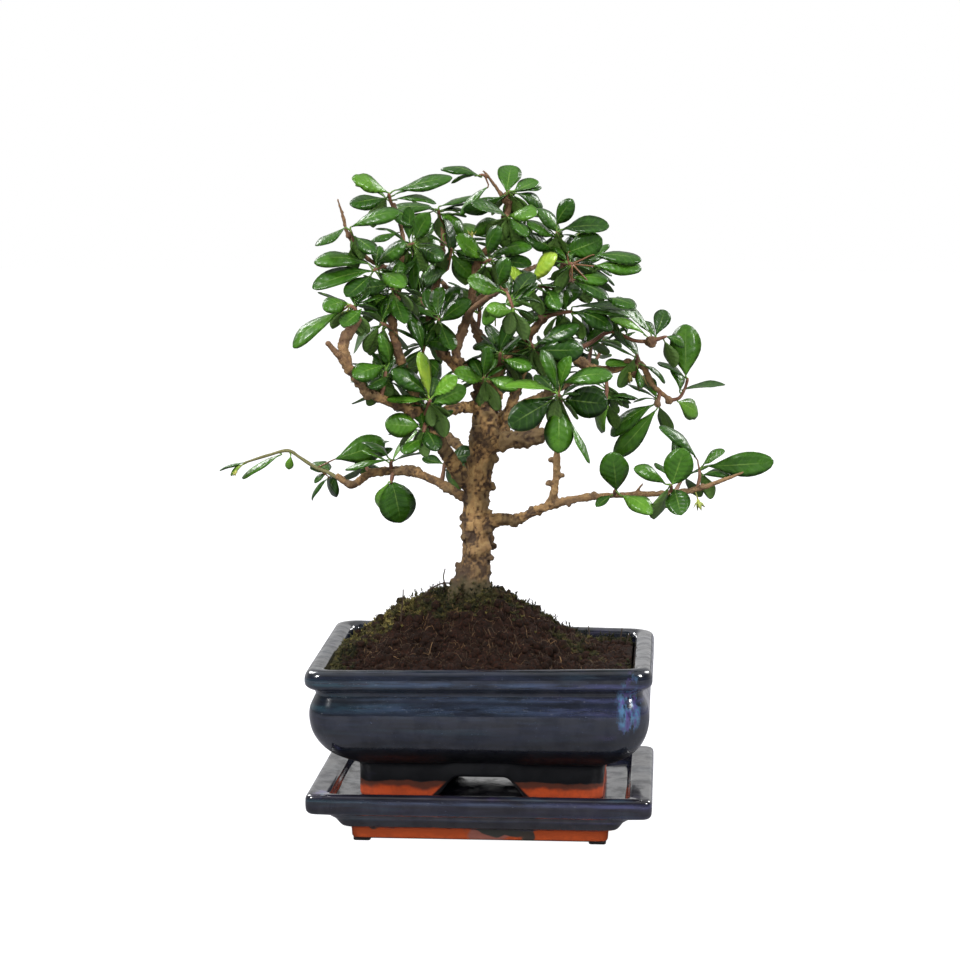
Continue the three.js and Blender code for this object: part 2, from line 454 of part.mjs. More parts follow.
// The sprays. A twig is stations [across, up, back, radius] that start inside the limb that carries it.
// A leaf is [across and up of its base, across and up of its tip, width], all as the eye sees it.
// The further leaves, counted by more, follow the rule of inwardLeaf() and fill the spray on its far side.
const SPRAYS = {
  low_left_shoot: {
    twig: [
      [-65, 154, 35.5, 1.1], [-70, 157, 37, 1], [-76, 159.5, 38, 0.9], [-83, 164, 39, 0.8],
      [-88, 167, 39, 0.9],
      [-97, 165, 38, 0.7], [-108, 161.5, 36, 0.6],
    ],
    leaves: [
      [-68, 163, -45, 171, 13], [-70, 158, -77, 162, 7], [-71, 157, -77, 153, 3], [-70, 155, -78, 145, 2],
      [-67, 156, -69, 147, 7], [-91, 165.5, -109, 155, 3.5], [-87, 165, -88, 158.5, 4],
      [-108, 161, -114, 156, 2.5],
    ],
    more: 1,
  },
  low_left_mid: {
    twig: [[-42, 158, 24, 1.2], [-42.5, 161, 21, 1], [-42, 163, 18, 0.8]],
    leaves: [[-43, 163, -63, 159, 3], [-42, 162, -31, 176, 3]],
    more: 3,
  },
  low_left_hanging: {
    twig: [[-41.5, 158, 24, 1.2], [-42, 155, 20, 1], [-42.5, 152.5, 16, 0.8]],
    leaves: [[-42, 153, -38, 134.5, 17], [-43.5, 153, -47, 140, 8]],
    more: 0,
  },
  low_left_inner: {
    twig: [[-20, 152, 10, 1.1], [-19, 158, 13, 1], [-18.5, 162, 15, 0.8]],
    leaves: [[-19, 161, -28.5, 164, 4.5], [-17, 163, -5, 166, 8]],
    more: 2,
  },
  left_elbow: {
    twig: [[-28, 181.5, -23, 1.2], [-27.5, 178, -28, 1], [-28, 175, -30, 0.8]],
    leaves: [[-30, 178, -45, 179, 11], [-28, 172, -37, 166, 6], [-27, 176, -22, 167, 8]],
    more: 0,
  },
  left_end: {
    twig: [[-57, 225, -38.5, 1.1], [-58, 230, -40, 0.9], [-61, 232, -41, 0.8]],
    leaves: [[-64, 229, -86, 213.5, 7], [-62, 233, -72, 230, 8], [-55, 230, -64, 223, 7]],
    more: 3,
  },
  left_shelf: {
    twig: [[-41, 221, -25, 1.2], [-45, 223, -29, 1], [-47, 224, -32, 0.8]],
    leaves: [[-46, 224, -48.5, 237, 9.5], [-47, 223, -59, 211, 4], [-46, 221, -44, 206, 7]],
    more: 2,
  },
  left_limb_spur: {
    twig: [[-47, 190.5, -34.5, 1.2], [-45.5, 196, -36, 1], [-44.5, 203, -37, 0.8]],
    leaves: [[-45, 205, -59, 200, 9], [-44, 200, -52, 195, 6], [-43, 206, -47, 219, 5]],
    more: 2,
  },
  left_rosette: {
    twig: [[-27.5, 182, -23, 1.3], [-26, 186, -29, 1.1], [-25, 190, -34, 0.9]],
    leaves: [
      [-26, 192, -42, 203, 9], [-25.5, 191, -29.5, 211, 6], [-24, 191, -13, 200, 7],
      [-24, 188, -9, 195, 9],
      [-27, 190, -44, 190, 4],
    ],
    more: 1,
  },
  left_inner_spur: {
    twig: [[-24, 219, 11, 1.1], [-27, 215, 5, 1], [-28, 211, 0, 0.8]],
    leaves: [[-28, 210, -34, 229, 7], [-27, 215, -15, 213, 6], [-27, 208, -20, 200, 8]],
    more: 2,
  },
  heart_low: {
    twig: [[0, 196, -3, 1.2], [-1, 198, -11, 1], [-1, 200, -16, 0.8]],
    leaves: [[-2, 198, -14, 202, 7], [-1, 200, 1, 213, 6], [1, 199, 14, 195, 7]],
    more: 2,
  },
  heart_high: {
    twig: [[5, 205, -1, 1.2], [6, 208, -7, 1], [6, 211, -11, 0.8]],
    leaves: [[6, 211, 14, 227, 7], [5, 211, -5, 215, 6], [7, 208, 20, 204, 7]],
    more: 2,
  },
  upright_spur: {
    twig: [[-23, 226, 13, 1.1], [-21.5, 226, 6, 1], [-21, 225, -1, 0.8]],
    leaves: [
      [-21, 224, -7, 234, 8], [-21, 227, -32, 228.5, 3], [-20, 223, -15, 212, 7],
      [-22, 226, -26, 239, 8],
    ],
    more: 3,
  },
  leader_front: {
    twig: [[8.5, 239, -54.5, 0.9], [10.5, 234, -57, 0.8], [12, 230, -58, 0.7]],
    leaves: [[12, 229, 0, 230, 7], [7, 238, -8, 243, 8], [10, 233, -2, 224, 7], [6, 240, 10, 252, 7]],
    more: 1,
  },
  shoot_rosette: {
    twig: [[33, 189, -32, 1.4], [32.5, 191, -38, 1.2], [32, 192, -43, 0.9]],
    leaves: [
      [31, 193, 8, 196, 4], [30, 190, 10, 178, 13], [32, 188, 32.5, 166, 13], [35, 190, 54, 188, 14],
      [33, 197, 56, 201, 8], [31, 194, 25, 212, 6], [33, 195, 37, 209, 6], [37, 181, 46.5, 161.5, 3],
    ],
    more: 1,
  },
  right_leader_spur: {
    twig: [[18, 217, 6, 1.4], [20, 214, -2, 1.1], [21, 213, -8, 0.9]],
    leaves: [[21, 212, 43, 212, 12], [22, 214, 41, 223, 8], [19, 212, 12, 201, 8]],
    more: 2,
  },
  right_drop: {
    twig: [[52, 203.5, 22, 1.2], [53.5, 196, 17, 1], [53, 189, 12, 0.8]],
    leaves: [[54, 186, 50, 176, 7], [53, 190, 66, 191, 4], [53, 194, 42, 190, 7]],
    more: 2,
  },
  right_hero: {
    twig: [[81.5, 189.5, 32.8, 1], [85.5, 190.5, 32, 0.9], [88, 194.5, 31, 0.8], [89.5, 199.5, 29, 0.7]],
    leaves: [
      [88.5, 200, 88, 223.5, 14.5], [86.5, 194, 106, 197, 3], [86, 193, 83, 205, 5.5],
      [85, 189, 94.5, 183, 9],
    ],
    more: 1,
  },
  right_low_node: {
    twig: [[77, 193.5, 31.5, 1], [76.5, 190, 28, 0.9], [76, 188, 25, 0.8]],
    leaves: [[75, 188, 55, 174, 8], [76, 186, 57, 164, 10]],
    more: 2,
  },
  right_bend: {
    twig: [[66, 205.5, 28, 1.2], [67, 208, 23, 1], [66.5, 210, 19, 0.8]],
    leaves: [
      [65, 211, 55, 229, 4], [65, 206, 53, 206, 4], [68, 208, 60, 219, 4], [70, 205, 79.5, 197.5, 3],
      [67, 204, 69, 195, 4],
    ],
    more: 2,
  },
  right_reach: {
    twig: [
      [37, 210.5, 15.5, 1.3], [46, 215, 19, 1.1], [55, 220, 20, 1], [66, 216, 17, 0.9],
      [73, 216, 14, 1.1],
      [80, 218, 12, 0.7],
    ],
    leaves: [
      [71, 218, 55, 226, 4], [73, 219, 58, 236, 5], [75, 218, 79, 230, 8], [56, 221, 44, 215, 7],
      [79, 218, 88, 214, 5],
    ],
    more: 2,
  },
  callus_low: {
    twig: [[25, 226, 4, 1.3], [31, 228, -2, 1.1], [38, 229, -7, 0.8]],
    leaves: [
      [38, 229, 56, 221, 8], [38, 228, 64, 227, 4], [38, 231, 66, 230, 4], [31, 229, 36, 218, 8],
      [26, 227, 13, 222, 7],
    ],
    more: 2,
  },
  long_limb_inner: {
    twig: [[57, 147, -24, 1], [57.5, 149, -28, 0.9], [58, 149, -31, 0.7]],
    leaves: [[58, 149, 56, 166, 13], [60, 147, 74, 139, 8], [56, 147, 49, 142, 4]],
    more: 0,
  },
  long_limb_middle: {
    twig: [[82, 148.2, -31, 1], [82.5, 150.5, -34, 0.9], [82, 152, -37, 0.7]],
    leaves: [[80, 152, 66, 159, 6], [83, 152, 88, 168, 13], [84, 149.5, 87, 138.5, 11]],
    more: 1,
  },
  long_limb_end: {
    twig: [[94, 149.8, -34, 1], [95, 155, -32, 0.9], [95, 159, -30, 0.7]],
    leaves: [
      [98, 160, 128, 162, 11], [94, 163, 77, 178, 5], [96, 160, 106, 167, 4], [96, 156, 111, 157, 5],
    ],
    more: 1,
  },
  top_left: {
    twig: [[-39.5, 272, 0, 1], [-42, 277, -5, 0.9], [-43, 281, -9, 0.8]],
    leaves: [
      [-43, 281, -59, 287.5, 7], [-44, 279, -60, 276, 7], [-41, 282, -15, 288, 6.5],
      [-41, 278, -22, 277, 3],
      [-42, 275, -31, 267, 7],
    ],
    more: 3,
  },
  twig_middle: {
    twig: [[-58, 258, -25, 0.9], [-59, 262, -30, 0.8], [-60, 265, -33, 0.7]],
    leaves: [[-60, 266, -38, 273, 7], [-62, 266, -75, 258, 4], [-58, 262, -49, 255, 7]],
    more: 1,
  },
  left_top_shelf: {
    twig: [[-46, 249, -18, 1.1], [-48, 248, -25, 1], [-50, 247, -31, 0.8]],
    leaves: [
      [-52, 250, -76, 251, 7], [-50, 247, -77, 240, 8], [-51, 245, -62, 236, 8], [-49, 250, -36, 259, 7],
      [-47, 246, -36, 240, 8],
    ],
    more: 2,
  },
  left_top_under: {
    twig: [[-40, 238, -17, 1.1], [-41, 239, -23, 1], [-42, 239, -28, 0.8]],
    leaves: [[-42, 241, -57, 239, 8], [-40, 237, -54, 231, 8], [-41, 236, -36, 224, 8]],
    more: 2,
  },
  riser_top: {
    twig: [[-37.5, 256, -6, 1.2], [-34, 258, -12, 1], [-32, 259, -17, 0.8]],
    leaves: [
      [-34, 260, -34, 275, 6], [-31, 260, -25, 272, 8], [-33, 255, -36, 243, 7], [-31, 255, -32, 239, 6],
      [-38, 264, -51, 260, 3], [-30, 257, -19, 252, 8],
    ],
    more: 2,
  },
  upright_top: {
    twig: [[-20, 260, 20, 1.1], [-17, 258, 12, 1], [-15, 256, 5, 0.8]],
    leaves: [
      [-17, 247, -28, 243, 8], [-17, 251, -17.5, 270, 5], [-14, 256, -3, 251, 9], [-19, 263, -4, 267, 6],
      [-16, 254, -6, 244, 8],
    ],
    more: 3,
  },
  upright_tip: {
    twig: [[-20, 268, 21.5, 1], [-21, 272, 18, 0.9], [-21, 274, 15, 0.7]],
    leaves: [[-22, 274, -45, 272, 6], [-21, 275, -3, 280.5, 3], [-20, 272, -10, 264, 6]],
    more: 3,
  },
  crown_left_tip: {
    twig: [[0, 288, 4, 0.8], [-1.5, 289, 1, 0.7], [-3, 289, -1, 0.6]],
    leaves: [[-2, 288, -20, 292, 4], [1, 284, -12, 272, 4]],
    more: 1,
  },
  crown_tip: {
    twig: [[9.5, 279, 6.5, 1], [10, 281, 3, 0.9], [10, 282, 0, 0.7]],
    leaves: [
      [9, 281, 11, 293.5, 11], [12, 282, 22.5, 287, 6], [13, 281, 25, 275, 6], [8, 280, -10, 273, 7],
    ],
    more: 2,
  },
  crown_middle: {
    twig: [[8, 270, 8, 1.2], [9, 271, 1, 1], [9, 271, -5, 0.8]],
    leaves: [[9, 271, -6, 276, 5], [10, 271, 22, 272, 7], [10, 270, 18, 262, 6], [7, 269, -6, 264, 7]],
    more: 3,
  },
  leader_spur: {
    twig: [[-3, 251, 8, 1.3], [0, 251, 0, 1.1], [2, 252, -7, 0.9]],
    leaves: [
      [4, 254, 20, 257.5, 6], [3, 251, 20, 250, 6], [-2, 249, 9, 241, 8], [-1, 252, -13, 262, 8],
      [1, 253, 6, 266, 7],
    ],
    more: 3,
  },
  bright_tip: {
    twig: [[33, 239, 2.5, 1], [26, 240, -4, 0.9], [19, 240.5, -12, 0.7]],
    leaves: [[20, 242, 31, 254, 7], [18, 240, 9, 248, 5], [21, 238, 9, 232, 7], [26, 240, 32, 230, 8]],
    more: 2,
  },
  right_top: {
    twig: [[32.5, 259, 3, 1.2], [31.5, 262, -3, 1], [31, 264, -8, 0.8]],
    leaves: [
      [30, 256, 17, 262, 7], [30, 262, 18, 268, 5], [31, 267, 38, 278, 8], [33, 265, 54, 267, 8],
      [34, 262, 22, 274, 6],
    ],
    more: 3,
  },
  right_shelf: {
    twig: [[34, 250, 2, 1.2], [36, 250, -6, 1], [38, 250, -13, 0.8]],
    leaves: [
      [36, 255, 51, 261, 12], [47, 254, 68.5, 252, 6], [47, 249, 68.5, 248, 8], [37, 244, 54, 243, 6],
      [38, 242, 54, 235, 5], [52, 235, 66, 231, 5],
    ],
    more: 3,
  },
  back_left_end: {
    twig: [[-38, 189, 54.5, 1], [-44, 194, 60, 0.9], [-48, 200, 65, 0.7]],
    leaves: [],
    more: 8,
  },
  back_left_middle: {
    twig: [[-20, 175.5, 33, 1.2], [-24, 184, 38, 1], [-26, 193, 42, 0.8]],
    leaves: [],
    more: 8,
  },
  back_right_end: {
    twig: [[46, 204, 54.5, 1], [50, 210, 60, 0.9], [52, 217, 64, 0.7]],
    leaves: [],
    more: 8,
  },
  back_right_middle: {
    twig: [[26, 192, 35, 1.2], [28, 199, 41, 1], [30, 208, 45, 0.8]],
    leaves: [],
    more: 8,
  },
  back_upper_end: {
    twig: [[-22, 244.5, 50.5, 1], [-28, 250, 55, 0.9], [-33, 255, 58, 0.7]],
    leaves: [],
    more: 8,
  },
  back_upper_middle: {
    twig: [[-4, 220, 29.5, 1.2], [-3, 229, 37, 1], [-5, 238, 43, 0.8]],
    leaves: [],
    more: 8,
  },
  back_crown: {
    twig: [[30, 251.5, 45, 1.1], [36, 250, 53, 0.9], [43, 251, 58, 0.7]],
    leaves: [],
    more: 8,
  },
  back_crown_inner: {
    twig: [[12, 243.5, 24.5, 1.1], [10, 252, 30, 0.9], [9, 262, 34, 0.7]],
    leaves: [],
    more: 8,
  },
  behind_heart: {
    twig: [[0, 193, 3, 1.3], [6, 199, 14, 1.1], [9, 206, 22, 0.8]],
    leaves: [],
    more: 8,
  },
  behind_riser: {
    twig: [[-41, 229, -22, 1.1], [-43, 233, -12, 0.9], [-44, 238, -4, 0.7]],
    leaves: [],
    more: 7,
  },
  behind_upright: {
    twig: [[-24, 230, 15, 1.1], [-28, 233, 25, 0.9], [-31, 239, 34, 0.7]],
    leaves: [],
    more: 8,
  },
  behind_leader: {
    twig: [[33, 242, 2, 1.1], [38, 243, 13, 0.9], [42, 246, 23, 0.7]],
    leaves: [],
    more: 8,
  },
  behind_right_limb: {
    twig: [[45, 204.5, 19, 1.2], [46, 210, 30, 1], [47, 217, 40, 0.7]],
    leaves: [],
    more: 8,
  },
  behind_low_left: {
    twig: [[-52, 156.5, 29, 1.1], [-54, 161, 38, 0.9], [-56, 165, 45, 0.7]],
    leaves: [],
    more: 5,
  },
  behind_low_right: {
    twig: [[84, 148.2, -31.5, 1.1], [86, 152, -21, 0.9], [88, 156, -13, 0.7]],
    leaves: [],
    more: 5,
  },
};

// A blade is obovate: [share of its length, share of its width on each side of the midrib]
const BLADE_OUTLINE = [[0.32, 0.28], [0.68, 0.5], [0.92, 0.34]];
const SLIM_OUTLINE = [[0.38, 0.36], [0.77, 0.48]];
const NECK = [0.03, 0.06];
const SLIM_BELOW = 9.5;
const LONG_STALK = 3.5;
const BLADE_THICKNESS = 1.1;
const WIDTH_PER_LENGTH = 0.5;
const LEAF_LENGTH = { least: 14.5, most: 20.5 };
const GOLDEN_ANGLE = Math.PI * (3 - Math.sqrt(5));

// The ways in which a seen leaf may lie on its line of sight, best first: how far its tip swings outwards,
// and whether its upper face looks up or down. A leaf that follows the rule turns round its twig instead.
const ATTITUDES = [
  { swing: 1, face: 1 }, { swing: -1, face: 1 }, { swing: 0.5, face: 1 }, { swing: -0.5, face: 1 },
  { swing: 0, face: 1 }, { swing: 1, face: -1 }, { swing: -1, face: -1 }, { swing: 0, face: -1 },
];

function curveOf(stations) {
  const points = stations.map(([across, up, back]) => seen(across, up, back));
  return new THREE.CatmullRomCurve3(points, false, "centripetal");
}

// The point at a share of a twig's length, on the axis of its tube: one straight piece for each station
function pointOnTwig(twig, share) {
  const curve = curveOf(twig);
  const place = share * twig.length;
  const piece = Math.min(Math.floor(place), twig.length - 1);
  const from = curve.getPointAt(piece / twig.length);
  return from.lerp(curve.getPointAt((piece + 1) / twig.length), place - piece);
}

// The point of a twig that lies nearest to a place in the eye's view, leaving out the part inside its limb
const TWIG_SHARES = [0.25, 0.35, 0.45, 0.55, 0.65, 0.75, 0.85, 0.96];
function nearestOnTwig(twig, across, up) {
  let best = { gap: Infinity };
  for (const share of TWIG_SHARES) {
    const point = pointOnTwig(twig, share);
    const [pointAcross, pointUp, back] = unseen(point);
    const gap = Math.hypot(pointAcross - across, pointUp - up);
    if (gap < best.gap) best = { gap, point, back };
  }
  return best;
}

// A leaf that is seen: base, tip and width are read in the view, and its depth follows from its length
function seenLeaf(twig, [baseAcross, baseUp, tipAcross, tipUp, width], traits, attitude) {
  const { point: root, back } = nearestOnTwig(twig, baseAcross, baseUp);
  const shown = Math.hypot(tipAcross - baseAcross, tipUp - baseUp);
  const small = width <= 5 && shown < 13;
  const length = Math.max(shown * 1.02, small ? shown * 1.15 : traits.length);
  const depth = Math.min(Math.sqrt(length * length - shown * shown), shown);
  const outwards = back > 0 ? 1 : -1;
  const base = seen(baseAcross, baseUp, back);
  const tip = seen(tipAcross, tipUp, back + outwards * attitude.swing * depth);
  const fullWidth = Math.max(width, Math.min(WIDTH_PER_LENGTH * length, 10));
  const axis = tip.clone().sub(base).normalize();
  const sight = eyePoint.clone().sub(base);
  sight.addScaledVector(axis, -sight.dot(axis)).normalize();
  const side = new THREE.Vector3().crossVectors(axis, sight);
  if (side.z * attitude.face < 0) side.negate();
  const facing = Math.min(1, width / fullWidth);
  const normal = sight.multiplyScalar(facing).addScaledVector(side, Math.sqrt(1 - facing * facing));
  return { root, base, tip, normal: normal.normalize(), width: fullWidth, ...traits };
}

// A leaf by rule: the leaves turn round their twig by the golden angle, on the side away from the eye
const LEAN_FORWARD = 0.5;
const LEAN_OUT = 0.85;
const STALK = 1.5;
function inwardLeaf(twig, order, spray, traits, attitude) {
  const root = pointOnTwig(twig, THREE.MathUtils.lerp(0.96, 0.4, (order * 0.618) % 1));
  const end = seen(...twig[twig.length - 1]);
  const start = seen(...twig[0]);
  const lead = spray.leaves.length ? root.clone().sub(eyePoint) : end.sub(start);
  lead.normalize();
  const level = new THREE.Vector3(lead.y, -lead.x, 0).normalize();
  const steep = new THREE.Vector3().crossVectors(lead, level);
  const angle = (order + 0.5) * GOLDEN_ANGLE + ATTITUDES.indexOf(attitude) * 0.83;
  const axis = lead.multiplyScalar(LEAN_FORWARD);
  axis.addScaledVector(level, LEAN_OUT * Math.cos(angle));
  axis.addScaledVector(steep, LEAN_OUT * Math.sin(angle)).normalize();
  const base = root.clone().addScaledVector(axis, STALK);
  const tip = base.clone().addScaledVector(axis, traits.length * 0.92);
  const normal = new THREE.Vector3(0, 0, 1).addScaledVector(level, 0.35 * Math.sin(order * 2.1));
  normal.addScaledVector(axis, -normal.dot(axis)).normalize();
  return { root, base, tip, normal, width: traits.length * WIDTH_PER_LENGTH, ...traits };
}

// The corners of a blade's section: [side of the midrib, share of the rib's height, which way it swells].
// A blade that is swollen to keep others clear gets thick edges as well.
const SECTION = [[0, 1, 0], [1, 0, 0], [-1, 0, 0]];
const SWOLLEN_SECTION = [[0, 1, 1], [1, 0, 1], [1, 0, -1], [-1, 0, -1], [-1, 0, 1]];

// The solid blade of a leaf with its stalk: a tube whose rings are drawn flat to the blade's outline.
// Its rib stands below two halves that fold up, or above two that fold down, and it arches over its length.
function bladeSolid({ root, base, tip, normal, width, arch, fold }, swell = 0) {
  const plain = width < SLIM_BELOW ? SLIM_OUTLINE : BLADE_OUTLINE;
  const outline = base.distanceTo(root) > LONG_STALK ? [NECK, ...plain] : plain;
  const section = swell ? SWOLLEN_SECTION : SECTION;
  const steps = outline.length + 1;
  const blade = new THREE.CylinderGeometry(1, 1, 1, section.length, steps, false);
  const position = blade.attributes.position;
  const run = tip.clone().sub(base);
  const length = run.length();
  const axis = run.clone().normalize();
  const ribSide = fold > 0 ? -1 : 1;
  const across = new THREE.Vector3().crossVectors(normal, axis).multiplyScalar(ribSide);
  const point = new THREE.Vector3();
  for (let i = 0; i < position.count; i++) {
    const station = Math.round((0.5 - position.getY(i)) * steps);
    if (station === 0) {
      point.copy(root).addScaledVector(axis, -swell);
      point.addScaledVector(across, position.getX(i) * 2 * swell);
      point.addScaledVector(normal, ribSide * position.getZ(i) * 2 * swell);
    } else if (station === steps) {
      point.copy(tip).addScaledVector(axis, swell);
    } else {
      const turn = Math.atan2(position.getX(i), position.getZ(i)) / (2 * Math.PI);
      const [side, rib, way] = section[Math.round((turn + 1) * section.length) % section.length];
      const [share, half] = outline[station - 1];
      const rise = arch * length * 4 * share * (1 - share);
      point.copy(base).addScaledVector(run, share).addScaledVector(across, side * (half * width + swell));
      point.addScaledVector(normal, rise + ribSide * (rib * BLADE_THICKNESS + way * swell));
    }
    position.setXYZ(i, point.x, point.y, point.z);
  }
  return solidOf(blade);
}

function boxesMeet(a, b) {
  return [0, 1, 2].every((axis) => a.min[axis] <= b.max[axis] && b.min[axis] <= a.max[axis]);
}

function sharedVolume(solid, box, others) {
  return others.reduce(
    (sum, other) => (boxesMeet(box, other.box) ? sum + solid.intersect(other.solid).volume() : sum),
    0,
  );
}

// Each leaf takes the first attitude in which it clears the leaves that stand already and the wood.
// Where none does, it takes the one that crosses least, and a leaf by rule is left out.
const OWN_SPRAY_WEIGHT = 0.4;
const CROSSING_ALLOWED = 0.05;
function placeLeaf(attitudes, standing, own, wood, mustStand) {
  let best = { cost: Infinity };
  for (const leaf of attitudes) {
    const solid = bladeSolid(leaf);
    const fat = bladeSolid(leaf, SEAT_GAP);
    const box = fat.boundingBox();
    const cost =
      sharedVolume(fat, box, standing) +
      sharedVolume(solid, box, [wood]) +
      OWN_SPRAY_WEIGHT * sharedVolume(solid, box, own);
    if (cost < best.cost - 1e-6) best = { cost, solid, fat, box };
    if (cost < CROSSING_ALLOWED) break;
  }
  return mustStand || best.cost < 1 ? best : null;
}

// The traits that a leaf draws: its real length, how it arches and whether its halves fold up or down
function leafTraits(draw) {
  return {
    length: THREE.MathUtils.lerp(LEAF_LENGTH.least, LEAF_LENGTH.most, draw()),
    arch: THREE.MathUtils.lerp(-0.01, 0.11, draw()),
    fold: THREE.MathUtils.lerp(-1, 1, draw()),
  };
}

// The leaves of one spray: those that the eye sees, and then those that follow the rule
function leavesOf(spray, draw, standing, wood) {
  const own = [];
  for (const row of spray.leaves) {
    const traits = leafTraits(draw);
    const attitudes = ATTITUDES.map((attitude) => seenLeaf(spray.twig, row, traits, attitude));
    own.push(placeLeaf(attitudes, standing, own, wood, true));
  }
  for (let order = 0; order < spray.more; order++) {
    const traits = leafTraits(draw);
    const attitudes = ATTITUDES.map((attitude) => inwardLeaf(spray.twig, order, spray, traits, attitude));
    const leaf = placeLeaf(attitudes, standing, own, wood, false);
    if (leaf) own.push(leaf);
  }
  return own;
}

function twigSolid(twig, swell = 0) {
  const radii = twig.map((station) => station[3]);
  return solidOf(taperedTube(curveOf(twig), radii, 4, twig.length, swell));
}

function boxed(solid) {
  return { solid, box: solid.boundingBox() };
}

// A spray cut back to a small gap where it meets the wood and the sprays that stand before it
function trimmedSpray(whole, fatWood, before) {
  let solid = whole.subtract(fatWood);
  for (const other of before) {
    if (!boxesMeet(solid.boundingBox(), other.box)) continue;
    if (solid.intersect(other.solid).volume() < 1e-4) continue;
    for (const fat of other.fatPieces) {
      if (boxesMeet(solid.boundingBox(), fat.box)) solid = solid.subtract(fat.solid);
    }
  }
  return largestBody(solid);
}

// All sprays in turn. Every twig stands first, so that no leaf crosses another spray's twig.
function makeSprays(wood) {
  const woodPiece = boxed(wood);
  const fatWood = joinAll(Object.keys(LIMBS).map((name) => limbTube(name, SEAT_GAP)));
  const sprays = Object.entries(SPRAYS);
  const fatTwigs = sprays.map(([, spray]) => boxed(twigSolid(spray.twig, SEAT_GAP)));
  const standing = [];
  const made = [];
  sprays.forEach(([name, spray], number) => {
    const otherTwigs = fatTwigs.filter((twig) => twig !== fatTwigs[number]);
    const own = leavesOf(spray, seededDraw(1000 + number), [...otherTwigs, ...standing], woodPiece);
    const whole = joinAll([twigSolid(spray.twig), ...own.map((leaf) => leaf.solid)]);
    const solid = trimmedSpray(whole, fatWood, made);
    const fatPieces = [fatTwigs[number], ...own.map(({ fat, box }) => ({ solid: fat, box }))];
    made.push({ name, fatPieces, ...boxed(solid) });
    standing.push(...fatPieces.slice(1));
  });
  return made;
}

// The whole plant on its saucer, moved so that the origin lies on the ground under its outline's middle
const bonsai = new THREE.Group();
const wood = makeWood();
bonsai.add(makeSaucer());
bonsai.add(makePot());
bonsai.add(makeSoil(rootHole()));
bonsai.add(meshOf("trunk_and_branches", wood, bark));
for (const spray of makeSprays(wood)) {
  bonsai.add(meshOf("spray_" + spray.name, spray.solid, leafGreen));
}
const outline = new THREE.Box3().setFromObject(bonsai);
const middle = outline.getCenter(new THREE.Vector3());
bonsai.position.set(-middle.x, -middle.y, 0);

export default bonsai;
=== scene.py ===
"""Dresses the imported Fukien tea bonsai: glazed pot and saucer, mossy soil, barked wood and glossy leaves.

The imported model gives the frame. Every piece made here lies where its CAD node lies, in metres, and stands
for it. Shapes are surfaces worked out with numpy on grids. The tree is described in the view from which it
was measured: a place is (across, up) in the plane of the trunk and a depth behind that plane, as SightLine
says.
"""

import logging
import math
from collections.abc import Callable, Sequence
from dataclasses import dataclass, field, fields
from enum import Enum, IntEnum

import bpy
import numpy as np
from mathutils import Matrix, Vector
from mathutils.bvhtree import BVHTree


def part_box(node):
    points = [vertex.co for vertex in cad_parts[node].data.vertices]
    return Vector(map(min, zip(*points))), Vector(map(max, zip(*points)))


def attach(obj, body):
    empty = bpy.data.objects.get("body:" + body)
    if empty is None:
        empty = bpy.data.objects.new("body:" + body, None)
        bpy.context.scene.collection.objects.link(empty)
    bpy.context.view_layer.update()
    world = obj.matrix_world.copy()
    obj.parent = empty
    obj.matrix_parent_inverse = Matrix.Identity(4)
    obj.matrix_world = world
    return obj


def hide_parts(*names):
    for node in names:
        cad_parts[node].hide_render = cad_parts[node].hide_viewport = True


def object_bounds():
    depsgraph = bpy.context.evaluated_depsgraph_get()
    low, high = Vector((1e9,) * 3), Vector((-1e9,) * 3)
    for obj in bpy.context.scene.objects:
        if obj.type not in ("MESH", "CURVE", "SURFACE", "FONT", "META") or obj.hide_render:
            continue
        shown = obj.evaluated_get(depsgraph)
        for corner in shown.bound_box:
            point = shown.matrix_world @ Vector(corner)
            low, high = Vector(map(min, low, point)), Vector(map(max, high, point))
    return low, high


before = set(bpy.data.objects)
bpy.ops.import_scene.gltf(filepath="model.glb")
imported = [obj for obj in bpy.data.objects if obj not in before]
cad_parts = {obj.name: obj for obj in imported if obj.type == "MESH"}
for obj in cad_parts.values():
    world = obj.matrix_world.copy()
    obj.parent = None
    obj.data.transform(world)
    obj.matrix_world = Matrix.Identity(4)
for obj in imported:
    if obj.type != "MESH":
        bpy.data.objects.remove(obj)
CAD_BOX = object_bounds()

LOG = logging.getLogger("bonsai")
MM = 0.001
BODY = "root"

Array = np.ndarray
Socket = bpy.types.NodeSocket


class Slot(Enum):
    """The record's material slots."""

    POT = "pot_glaze"
    SAUCER = "saucer_glaze"
    SOIL = "soil"
    BARK = "bark"
    LEAF = "leaf"


class Seed(IntEnum):
    """The seeds of the noises; each layer of a noise takes the next number."""

    LIMB_COARSE = 3
    LIMB_FINE = 4
    POT_SWAY = 5
    LUMP = 5
    KNOB = 7
    TWIG = 9
    SAUCER_SWAY = 11
    CLODS = 21
    CRUMBS = 27
    GRAINS = 31
    MOSS = 41
    BARK_KNOTS = 61
    BARK_PLATES = 62
    BARK_CRACKS = 63
    BARK_GRAIN = 64
    BURR_PATCHES = 65
    BURRS = 66
    SMALL_BURRS = 67


def smoothstep(low: float, high: float, value: Array) -> Array:
    """A ramp from 0 at low to 1 at high with a soft start and end: 3 t squared less 2 t cubed."""
    t = np.clip((np.asarray(value, float) - low) / (high - low), 0, 1)
    return t * t * (3 - 2 * t)


def unit(vectors: Array) -> Array:
    """Vectors, or one vector, scaled to a length of one."""
    lengths = np.linalg.norm(vectors, axis=-1, keepdims=True)
    return vectors / np.maximum(lengths, 1e-12)


